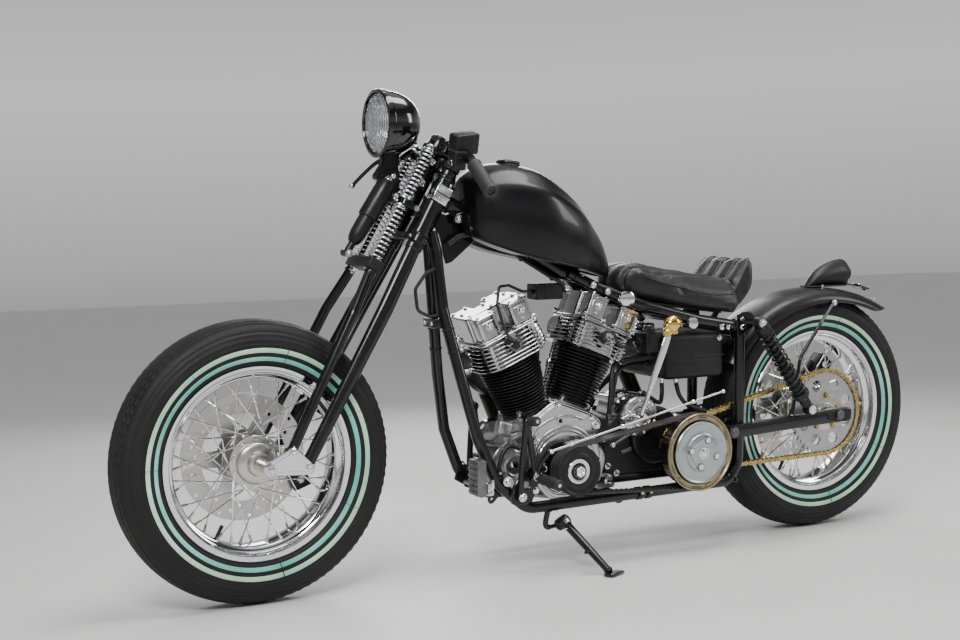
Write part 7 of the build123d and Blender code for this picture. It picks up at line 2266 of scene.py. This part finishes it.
# oil lines behind the rear cylinder, with crimped ends
g = Mesh()
for sg, pts, r_ in ((1, [(668, 52, 352), (669, 60, 392), (667, 62, 430), (660, 56, 464), (640, 46, 486), (560, 36, 500), (530, 32, 502)], 6.2),
                    (1, [(650, 40, 372), (652, 48, 410), (648, 50, 440), (636, 44, 462), (600, 30, 476), (530, 20, 478)], 5.2)):
    P_ = smooth(pts, 6)
    g.add(tube(P_, r_, 14), 0)
    for i, j in ((0, 1), (len(P_) - 1, len(P_) - 2)):
        d_ = (Vector(P_[j]) - Vector(P_[i])).normalized()
        g.add(lathe([(0, -3), (r_ + 1.2, -3), (r_ + 1.8, -1.5), (r_ + 1.8, 9), (r_ + 1.0, 10.5), (0, 10.5)], P_[i], d_, 22), 1)
g.make("Oil_lines", ["cable_black", "steel_dark"], "chassis", [])
# Oil_hoses

# ---------------------------------------------------------------------------
# Fuel tank: smooth deep-drawn shell, tunnel below, lap seam, low cap
# ---------------------------------------------------------------------------
def tunnel_z(x):
    pts = [(1100, 838), (1010, 820), (780, 708), (600, 660)]
    for (x1, z1), (x0, z0) in zip(pts, pts[1:]):
        if x >= x0:
            return z0 + (z1 - z0) * (x - x0) / (x1 - x0)
    return pts[-1][1]


TANK = [(1055.6, 34, 826, 916, .70, .62), (1052, 52, 815, 938, .72, .60), (1043, 70, 807, 952, .74, .58), (1028, 86.5, 799, 963.5, .78, .56), (1000, 102, 787, 975.5, .81, .53),
        (960, 115, 772.5, 981, .84, .50), (910, 119.4, 760, 977, .84, .48), (860, 119.4, 748.5, 964.5, .84, .46), (810, 111, 737, 937, .83, .45), (760, 98, 726, 899, .82, .44),
        (722, 78, 715.5, 858, .80, .45), (690, 59.5, 706.5, 817, .78, .46), (668, 42, 701, 781, .75, .53), (655, 30, 699, 752, .72, .58), (650.6, 20, 703, 733, .70, .62)]
ctrl = []
for x_, w, zb, zt, kb, kt in TANK:
    h = zt - zb
    t_ = w * kt
    ty = min(30.0, w * .42)
    zt_ = max(zb + 1.0, min(tunnel_z(x_) + 29, zb + .42 * h))
    sh = t_ + (w - t_) * .42
    pts = [(0, zt_), (ty * .72, zt_ - (zt_ - zb) * .30), (ty, zb + .6), (w * kb * .92, zb), (w * kb, zb + .6), (w * (kb + .62 * (1 - kb)), zb + .10 * h), (w * .992, zb + .26 * h),
           (w, zb + .42 * h), (w * .962, zb + .60 * h), (w * .875, zb + .735 * h), (sh, zb + .83 * h), (sh * .72, zb + .925 * h), (sh * .38, zb + .982 * h), (0, zt)]
    ctrl.append([Vector((x_, a, b)) for a, b in pts])
cols = [smooth([c[j] for c in ctrl], 5) for j in range(len(ctrl[0]))]
secs = []
for m_ in range(len(cols[0])):
    half = smooth([c[m_] for c in cols], 4)
    half[0].y = 0
    half[-1].y = 0
    secs.append(half + [Vector((p.x, -p.y, p.z)) for p in reversed(half[1:-1])])
g = Mesh()
g.add(loft(secs), 0)
lipj = 4
for sg in (1, -1):
    lip = [Vector((c.x, (c.y + 1.2) * sg, c.z + 1.0)) for c in cols[lipj]][2:-2]
    g.add(tube(lip, 1.7, 8), 0)
# front mounting ears
for sg in (1, -1):
    g.add(xz([hull_outline([(1044, 826, 10), (1020, 818, 12), (1046, 852, 9)], 24)], sg * 46, sg * 50, 1.2), 0)
    g.add(hexbolt((1044, sg * 50, 830), Y * sg, 6, 4), 1)
# cap, tilted with the surface
cu = Vector((-.10, 0, 1)).normalized()
cp = Vector((923, 0, 977.5))
g.add(lathe([(0, -8), (31, -8), (31, -1.2), (29.4, .6), (0, .6)], cp, cu, 56), 0)
g.add(lathe([(0, 0), (27.2, 0), (28.4, 1.0), (28.4, 7.0), (26.6, 9.0), (18, 10.4), (0, 11.4)], cp, cu, 96, sq=lambda t: 1 + .018 * cos(24 * t)), 2)
g.add(lathe([(15, 10.6), (16.6, 10.6), (16.6, 11.4), (15, 11.4)], cp, cu, 48, ring=True), 2)
g.add(bar(cp + cu * 10.6 - X * 14, cp + cu * 10.6 + X * 14, 1.6, seg=12), 2)
g.make("Fuel_tank", ["tank_black", "chrome", "frame_black"], "chassis", ["fuel_tank"], sharp=50)

# ---------------------------------------------------------------------------
# Seat: stuffed solo saddle with a channelled back pad
# ---------------------------------------------------------------------------
SEAT = [(645, 26, 676, 683, 690), (639, 42, 669, 692, 706), (628, 58, 661, 701, 720), (610, 71, 655, 707, 728), (584, 83, 649, 703, 727), (556, 92, 644, 692, 719),
        (515, 100, 636, 681, 709), (470, 105, 625, 671, 701), (430, 109, 618, 661, 694), (390, 110.5, 612, 655, 688), (350, 110.5, 606, 653, 684), (318, 109, 601, 652, 682)]
BACKP = [(602, 335, 320, 106), (620, 335, 304, 108), (638, 332, 284, 108.5), (655, 324, 268, 108.5), (673, 313, 257, 108), (698, 294, 254.5, 104.5), (715, 280, 253, 101), (728, 269, 251, 94), (736, 260, 250, 82)]


def seat_section(x_, w, zb, ze, zc, n=6):
    """Side rising to the piped edge at ze, then the stuffed top rolling over to the crown zc."""
    h, r_ = ze - zb, zc - ze
    pts = [(0, zb), (w * .5, zb), (w * .82, zb + .01 * h), (w * .90, zb + .09 * h), (w * .955, zb + .30 * h), (w * .99, zb + .60 * h), (w, zb + .86 * h),
           (w * .985, ze), (w * .93, ze + .36 * r_), (w * .83, ze + .66 * r_), (w * .62, ze + .88 * r_), (w * .3, ze + .97 * r_), (0, zc)]
    half = smooth([Vector((x_, a, b)) for a, b in pts], n)
    half[0].y = half[-1].y = 0
    return half + [Vector((p.x, -p.y, p.z)) for p in reversed(half[1:-1])]


def back_section(z_, xf, xr, w):
    d_ = xf - xr
    out_ = []
    for k in range(64):
        t = 2 * pi * k / 64
        cx, cy = cos(t), sin(t)
        e = 2.0 / 5.0
        out_.append(Vector(((xf + xr) / 2 + d_ / 2 * (abs(cx) ** e) * (1 if cx > 0 else -1), w * (abs(cy) ** e) * (1 if cy > 0 else -1), z_)))
    return out_


def solid_ob(name, parts):
    v, f = [], []
    for V_, F_ in parts:
        o = len(v)
        v += [Vector(p) for p in V_]
        f += [tuple(o + i for i in q_) for q_ in F_]
    me = bpy.data.meshes.new(name)
    me.from_pydata([(p / 1000)[:] for p in v], [], f)
    me.update()
    bm_ = bmesh.new()
    bm_.from_mesh(me)
    bmesh.ops.recalc_face_normals(bm_, faces=bm_.faces)
    bm_.to_mesh(me)
    bm_.free()
    ob = bpy.data.objects.new(name, me)
    bpy.context.scene.collection.objects.link(ob)
    ob.matrix_world = B2R
    return ob


seat_m = loft([seat_section(*r) for r in SEAT])
back_m = loft([back_section(*r) for r in BACKP])
seat = solid_ob("Seat", [seat_m, back_m])
rm = seat.modifiers.new("voxels", "REMESH")
rm.mode, rm.voxel_size, rm.use_smooth_shade = "VOXEL", (.0045), True


def bake(ob):
    bpy.context.view_layer.update()
    dg = bpy.context.evaluated_depsgraph_get()
    me = bpy.data.meshes.new_from_object(ob.evaluated_get(dg))
    old = ob.data
    ob.modifiers.clear()
    ob.data = me
    bpy.data.meshes.remove(old)
    return me


bake(seat)
sm = seat.modifiers.new("soften", "SMOOTH")
sm.factor, sm.iterations = .5, 3
bake(seat)
before = [v.co.copy() for v in seat.data.vertices]
sc = bpy.context.scene
grp = seat.vertex_groups.new(name="pin")
pinned = [i for i, p in enumerate(before) if p.z * 1000 < 626 + max(0, (p.x * 1000 - 400) * .20)]
grp.add(pinned, 1.0, "REPLACE")
cl = seat.modifiers.new("Cloth", "CLOTH")
st = cl.settings
st.quality = 6
st.mass = .35
st.vertex_group_mass = "pin"
st.pin_stiffness = 1.0
st.use_pressure = True
st.uniform_pressure_force = 4.0
st.tension_stiffness = st.compression_stiffness = 24
st.shear_stiffness = 12
st.bending_stiffness = 1.2
st.effector_weights.gravity = 0
cl.point_cache.frame_start, cl.point_cache.frame_end = 1, 20
for fr_ in range(1, 21):
    sc.frame_set(fr_)
bake(seat)
sc.frame_set(1)
CAP = .007
for v, b_ in zip(seat.data.vertices, before):
    d_ = v.co - b_
    if d_.length > CAP:
        v.co = b_ + d_ * (CAP / d_.length)
sub = seat.modifiers.new("sub", "SUBSURF")
sub.levels = sub.render_levels = 1
bake(seat)
for p_ in seat.data.polygons:
    p_.use_smooth = True

# channels, tucks and creases, sewn after the remesh
PIPE = smooth([(x_, w + 1, ze) for x_, w, zb, ze, zc in SEAT[4:]], 6)


def crease(d, w):
    return math_gauss(d, w)


for v in seat.data.vertices:
    p = v.co * 1000
    move = Vector((0, 0, 0))
    ay = abs(p.y)
    face_x = 331 - max(0, p.z - 640) * .74                     # plane of the pad's face
    # back pad: four upright stuffed channels, folding over the top edge
    if p.z > 668 and p.x > 244:
        t = min(1, (p.z - 668) / 14)
        face = max(0, min(1, (p.x - (face_x - 26)) / 14))
        ch = max(crease(ay, 4.6), crease(ay - 54, 4.6))
        puff = max(0, 1 - abs((ay % 54) - 27) / 27) ** .6 if ay < 108 else 0
        side = max(0, min(1, (103 - ay) / 6))
        move += Vector((1, 0, .7)).normalized() * (-7.0 * ch + 3.2 * puff) * t * face * side
        if p.z > 722:
            move.z += (-3.4 * ch + 1.0 * puff) * side
        # rear panel drawn in between its edges
        if p.x < 268:
            move.x += 5.0 * math_gauss(p.z - 702, 15) * max(0, 1 - (ay / 96) ** 4)
    # saddle top: soft tucks running back from the nose, wandering a little
    if p.x > 330 and p.z > 652:
        e_ = 652 + max(0, p.x - 390) * .19
        f_ = max(0, min(1, (p.z - e_ - 6) / 10))
        top = f_ * max(0, min(1, (600 - p.x) / 60)) * max(0, min(1, (92 - ay) / 10))
        for k_ in (0, 1, 2):
            yy = 2 + 33 * k_ + 5 * sin((p.x - 330) / 48 + k_ * 1.7)
            move.z += -4.6 * crease(ay - yy, 4.4 + k_) * top * max(0, min(1, (p.x - 336) / 22))
        for (cx_, cy_, rx_, ry_, h_) in ((520, 34, 46, 20, 5), (440, 20, 40, 18, 5.5), (402, 64, 42, 20, 4.5), (478, 70, 40, 16, 4), (372, 18, 28, 20, 4)):
            move.z += h_ * math_gauss((((p.x - cx_) / rx_) ** 2 + ((ay - cy_) / ry_) ** 2) ** .5, 1.0) * f_
    # crease between saddle and back pad
    if 664 < p.z < 706 and p.x > 300:
        move += Vector((-1, 0, -1)) * 4.0 * math_gauss(((p.x - 326) ** 2 + (p.z - 683) ** 2) ** .5, 7)
    if move.length > 0:
        v.co += move / 1000
seat.data.update()
seat.data.materials.clear()
seat.data.materials.append(MATS["leather"])
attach(seat, "chassis")
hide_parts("seat")


# piping and seams
def snap(p, lift):
    """Nearest point of the seat's surface from p, lifted outwards by lift (bike frame)."""
    ok, co, no, _ = seat.closest_point_on_mesh(Vector(p) / 1000)
    return (co + no * (lift / 1000.0)) * 1000


g = Mesh()
for sg in (1, -1):
    pp = [snap((p.x, p.y * sg, p.z), .4) for p in PIPE]
    g.add(tube(smooth(pp[::2], 3), 2.4, 8), 0)
    ed = [snap((xf + 2, (w + 1) * sg, z_), .4) for z_, xf, xr, w in BACKP[3:-1]]
    g.add(tube(smooth(ed + [snap((268, 92 * sg, 736), .4)], 6), 2.4, 8), 0)
    ed = [snap((xr - 2, (w + 1) * sg, z_), .2) for z_, xf, xr, w in BACKP[1:-1]]
    g.add(tube(smooth(ed, 6), 1.5, 8), 0)
    g.add(tube(smooth([snap((x_, w * 1.02 * sg, zb + 8), .1) for x_, w, zb, ze, zc in SEAT[4:]], 4), .9, 6), 0)
top_ = [snap((252, y_, 744), .4) for y_ in range(-80, 81, 10)]
g.add(tube(smooth(top_, 4), 1.6, 8), 0)
# base pan below the cover
g.add(moved(box((0, 0, 0), (250, 170, 5), None, 2, 2), Matrix.Translation((470, 0, 621)) @ Matrix.Rotation(radians(-8.5), 4, "Y")), 1)
g.make("Seat_piping", ["leather", "plastic_black"], "chassis", [], sharp=60)

# ---------------------------------------------------------------------------
# Rear fender: rolled section swept along two arcs, struts, bolts
# ---------------------------------------------------------------------------
def fender_line(n=64):
    pts = []
    for i in range(n):
        k = i / (n - 1)
        a = 120.5 - (120.5 - 61.6) * k
        pts.append(Vector((-19 + 445 * cos(radians(a)), 0, 204 + 445 * sin(radians(a)))))
    c_ = Vector((-19 + 125 * cos(radians(61.6)), 0, 204 + 125 * sin(radians(61.6))))
    for i in range(1, 30):
        a = 61.6 - 31.6 * i / 29
        pts.append(c_ + Vector((320 * cos(radians(a)), 0, 320 * sin(radians(a)))))
    return pts


FL = fender_line()
outer = [(0, 0), (16, -.25), (32, -1.2), (46, -3.2), (58, -6.6), (67, -11.0), (74, -16.6), (78.6, -22.4), (81.2, -28.6), (81.8, -33.8), (81.0, -35.4), (79.8, -35.6)]
inner = [(79.2, -33.8), (78.4, -28.8), (75.8, -23.6), (71.4, -18.2), (65, -13.2), (56.6, -9.0), (45.2, -5.6), (31.6, -3.6), (16, -2.65), (0, -2.4)]
half = outer + inner
ringp = half + [(-a, b) for a, b in reversed(half[1:-1])]
ring2 = [(a, b) for a, b in outer] + [(a, b) for a, b in inner]
full = [(a, b) for a, b in outer] + [(a, b) for a, b in inner] + [(-a, b) for a, b in reversed(inner[:-1])] + [(-a, b) for a, b in reversed(outer[1:])]
secs = []
NF = len(FL)
END_L = 86.0
run = [0.0]
for a_, b_ in zip(FL, FL[1:]):
    run.append(run[-1] + (b_ - a_).length)
END_T = [min(1.0, max(.16, (1 - max(0, 1 - d_ / END_L) ** 2.2) ** .5)) for d_ in run]


def clipped(k):
    """Fender section cut off at a share k of its half width, along the sheet."""
    def part(line):
        L_ = [0.0]
        for a, b in zip(line, line[1:]):
            L_.append(L_[-1] + hypot(b[0] - a[0], b[1] - a[1]))
        out_ = []
        for j in range(len(line)):
            d_ = L_[j] * k
            q_ = 0
            while q_ < len(L_) - 2 and L_[q_ + 1] < d_:
                q_ += 1
            u_ = (d_ - L_[q_]) / max(1e-9, L_[q_ + 1] - L_[q_])
            out_.append((line[q_][0] + (line[q_ + 1][0] - line[q_][0]) * u_, line[q_][1] + (line[q_ + 1][1] - line[q_][1]) * u_))
        return out_
    o_, i_ = part(outer), list(reversed(part(list(reversed(inner)))))
    return o_ + i_ + [(-a, b) for a, b in reversed(i_[:-1])] + [(-a, b) for a, b in reversed(o_[1:])]


for i, p in enumerate(FL):
    t = (FL[min(i + 1, NF - 1)] - FL[max(i - 1, 0)]).normalized()
    up_ = Vector((-t.z, 0, t.x)) if Vector((-t.z, 0, t.x)).dot(p - Vector((0, 0, 319))) > 0 else Vector((t.z, 0, -t.x))
    # the rear end is cut round in plan, the front end square
    secs.append([p + Y * a + up_ * b for a, b in clipped(END_T[i])])
g = Mesh()
g.add(loft(secs), 0)
# rolled wire in the edges, round the tail in one piece
edge_l = [sec_[len(outer) - 1] for sec_ in secs]
edge = list(reversed(edge_l)) + [Vector((v_.x, -v_.y, v_.z)) for v_ in edge_l]
g.add(tube(edge, 2.0, 10), 0)
p = FL[-1]
lp = [v_ + Vector((0, 0, 0)) for v_ in secs[-1][:len(outer)]]
lp2 = [Vector((v_.x, -v_.y, v_.z)) for v_ in lp]
g.add(tube(list(reversed(lp)) + lp2[1:], 1.8, 10), 0)
for sg in (1, -1):
    st_ = [(-26, 84, 612), (40, 108, 560), (124, 128, 476), (150, 129, 322)]
    P_ = rounded([Vector((a, b * sg, c)) for a, b, c in st_], 40, 8)
    g.add(tube(P_, 4.8, 14), 1)
    q0 = Vector((-26, 80.4 * sg, 612))
    g.add(lathe([(0, 0), (10, 0), (10, 6), (9, 7.4), (0, 7.4)], q0, Y * sg, 28), 1)
    g.add(acorn(q0 + Y * sg * 6.6, Y * sg, 6.6, 6), 2)
    q1 = Vector((150, 129 * sg, 328))
    g.add(xz([hull_outline([(150, 322, 9.5), (150, 340, 7)], 24)], sg * 125.4, sg * 131, 1.0), 1)
    g.add(acorn((150, sg * 130.6, 322), Y * sg, 7, 6), 2)
    # bolts to the frame's upper plate
    g.add(xz([hull_outline([(262, 566, 9), (246, 590, 9)], 24)], sg * 66, sg * 71, 1), 1)
for y_ in (-40, 40):
    i_ = 6
    g.add(hexbolt(FL[i_] + Vector((4, y_, 2)), Vector((.5, 0, .86)), 6, 4), 2)
g.make("Rear_fender", ["fender_black", "frame_black", "chrome"], "chassis", ["rear_fender"], sharp=48)

# ---------------------------------------------------------------------------
# Tail light: finned teardrop body, lens facing back, plate bracket
# ---------------------------------------------------------------------------
g = Mesh()
prof = smooth([(5, 648.5), (-3, 661), (-14, 676), (-30, 691), (-52, 704), (-78, 714), (-104, 720), (-122, 721.6), (-136, 717), (-145, 707), (-149.4, 694), (-150, 682), (-146.5, 670), (-139, 661), (-134, 652)], 4)
secs = []
# slices across the body: from its front tip to the back, each one a rounded upright section
cols_ = []
for x_ in [5, 3, 0, -5, -12, -20, -30, -42, -55, -68, -80, -92, -104, -115, -125, -133, -140, -145, -148, -149.6]:
    hit = [p for p in prof if abs(p[0] - x_) < 6] or [prof[0]]
    tops = []
    for a, b in zip(prof, prof[1:]):
        if (a[0] - x_) * (b[0] - x_) <= 0 and abs(a[0] - b[0]) > 1e-6:
            tops.append(a[1] + (b[1] - a[1]) * (x_ - a[0]) / (b[0] - a[0]))
    zt = max(tops) if tops else 650
    lows = [z_ for z_ in tops if z_ < zt - 6]
    zb_ = min(lows) if (lows and x_ < -130) else 649 + 5 * sin(pi * max(0, min(1, (5 - x_) / 140)))
    wd = 25.4 * min(1, ((8 - x_) / 46) ** .55) * (1 if x_ > -120 else max(.30, 1 - ((-120 - x_) / 30) ** 2 * .62))
    zb_ = min(zb_, zt - 3)
    h = zt - zb_
    sec = []
    for k in range(40):
        t = 2 * pi * k / 40
        cy, cz = cos(t), sin(t)
        e = .78
        top_w = 1 - .50 * max(0, cz) ** 1.6
        sec.append(Vector((x_, wd * top_w * (abs(cy) ** e) * (1 if cy > 0 else -1), (zt + zb_) / 2 + h / 2 * (abs(cz) ** .9) * (1 if cz > 0 else -1))))
    secs.append(sec)
g.add(loft(secs), 0)
# raised spine
g.add(tube([Vector((p[0], 0, p[1] - .6)) for p in prof[2:-12]], 1.6, 8), 0)
# lens and its bezel at the back, under the overhang
cl_ = Vector((-141, 0, 684))
g.add(lathe([(15.5, -4), (19, -4), (19.6, -2.6), (19.6, 3), (17.6, 5), (15.5, 5)], cl_, -X, 40, ring=True), 0)
g.add(lathe([(0, -2), (16, -2), (16, 3.4), (12.6, 6.4), (6.5, 7.8), (0, 8.2)], cl_, -X, 40), 1)
# foot gasket
g.add(moved(box((-62, 0, 651.5), (128, 46, 4), None, 1.8, 2), Matrix.Identity(4)), 2)
# plate bracket: bent strap and slotted carrier
strap = [(v_.x, v_.z) for v_ in smooth([(-128, 0, 654), (-146, 0, 652.5), (-164, 0, 650), (-184, 0, 645), (-204, 0, 636)], 6)]
up_s = [(p_[0], p_[1] + 2.4) for p_ in strap]
dn_s = [(p_[0], p_[1] - 2.4) for p_ in reversed(list(strap))]
g.add(xz([up_s + dn_s], -15, 15, .9), 3)
Mb = axes(Vector((.94, 0, .34)), Y, Vector((-.34, 0, .94)), (-184, 0, 645))
g.add(plate([rrect(22, 29.6, 5), circle2(-4, 19, 3.5, 20), circle2(-4, -19, 3.5, 20)], -1.6, 1.6, Mb, .7), 3)
for sg in (1, -1):
    g.add(hexbolt((-176, sg * 12, 649), Z, 3.6, 3), 4)
    g.add(acorn((-40, sg * 22, 652), Y * sg, 3.4, 2), 4)
g.make("Tail_light", ["plastic_black", "red_lens", "grip_rubber", "frame_black", "chrome"], "chassis", ["tail_light"], sharp=45)

# ---------------------------------------------------------------------------
# CAD nodes that stay as they are: held cords
# ---------------------------------------------------------------------------
KEPT = {"front_brake_hose": "cable_black", "wiring_loop": "cable_black", "plug_leads": "cable_black"}
for node_, mat_ in KEPT.items():
    ob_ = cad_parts[node_]
    for o_ in (ob_ if isinstance(ob_, (list, tuple)) else [ob_]):
        o_.data.materials.clear()
        o_.data.materials.append(MATS[mat_])
        for p_ in o_.data.polygons:
            p_.material_index = 0

# ---------------------------------------------------------------------------
# Floor, light and camera
# ---------------------------------------------------------------------------
def stage_and_light():
    me = bpy.data.meshes.new("floor")
    me.from_pydata([(-40, -40, -.0005), (40, -40, -.0005), (40, 40, -.0005), (-40, 40, -.0005)], [], [(0, 1, 2, 3)])
    me.materials.append(MATS["floor_pale"])
    ob = bpy.data.objects.new("floor", me)
    bpy.context.scene.collection.objects.link(ob)

    w = bpy.data.worlds.new("studio")
    bpy.context.scene.world = w
    w.use_nodes = True
    nt = w.node_tree
    bg = nt.nodes["Background"]
    tc = nt.nodes.new("ShaderNodeTexCoord")
    sep = nt.nodes.new("ShaderNodeSeparateXYZ")
    nt.links.new(tc.outputs["Generated"], sep.inputs[0])
    rmp = nt.nodes.new("ShaderNodeValToRGB")
    e = rmp.color_ramp.elements
    stops = ((.0, .06), (.47, .30), (.503, .58), (.56, .90), (.66, .36), (.72, .07), (.80, .10), (.86, .95), (.95, .95), (1.0, .30))
    for _ in range(len(stops) - 2):
        e.new(.5)
    for el, (p, v) in zip(e, stops):
        el.position = p
        el.color = (v, v, v * 1.01, 1)
    mr = nt.nodes.new("ShaderNodeMapRange")
    mr.inputs["From Min"].default_value = -1
    nt.links.new(sep.outputs[2], mr.inputs["Value"])
    nt.links.new(mr.outputs["Result"], rmp.inputs["Fac"])
    nt.links.new(rmp.outputs["Color"], bg.inputs["Color"])
    bg.inputs["Strength"].default_value = .80

    def area(name, loc, at, size, power, size_y=None, col=(1, 1, 1)):
        L = bpy.data.lights.new(name, "AREA")
        L.shape = "RECTANGLE"
        L.size, L.size_y = size, size_y or size
        L.energy = power
        L.color = col
        o = bpy.data.objects.new(name, L)
        bpy.context.scene.collection.objects.link(o)
        o.location = loc
        o.rotation_euler = (Vector(at) - Vector(loc)).to_track_quat("-Z", "Y").to_euler()
        return o

    area("key", (2.2, 2.6, 2.9), (0, 0, .4), 1.3, 120, 1.0)
    area("top", (-.4, .4, 3.2), (-.2, 0, .4), 2.8, 85, .9)
    area("rear", (-3.0, 1.8, 1.9), (-.4, 0, .5), .7, 38, 1.6)
    area("fill_right", (-1.3, -3.3, 2.2), (0, 0, .4), 2.2, 60, 1.2)


stage_and_light()

cam = bpy.data.cameras.new("camera")
cam.sensor_fit = "HORIZONTAL"
cam.sensor_width = 36
cam.lens = 1487.23 / 960 * 36
cam.clip_start = .05
co = bpy.data.objects.new("camera", cam)
bpy.context.scene.collection.objects.link(co)
right = Vector((-0.88099636, 0.4718475, -0.03471804))
up = Vector((-0.04666244, -0.01363246, 0.99881769))
fwd = Vector((-0.47081634, -0.88157478, -0.03402771))
R = Matrix((right, up, -fwd)).transposed().to_4x4()
co.matrix_world = Matrix.Translation(Vector((1.888369, 3.121024, 0.727001))) @ R
bpy.context.scene.camera = co
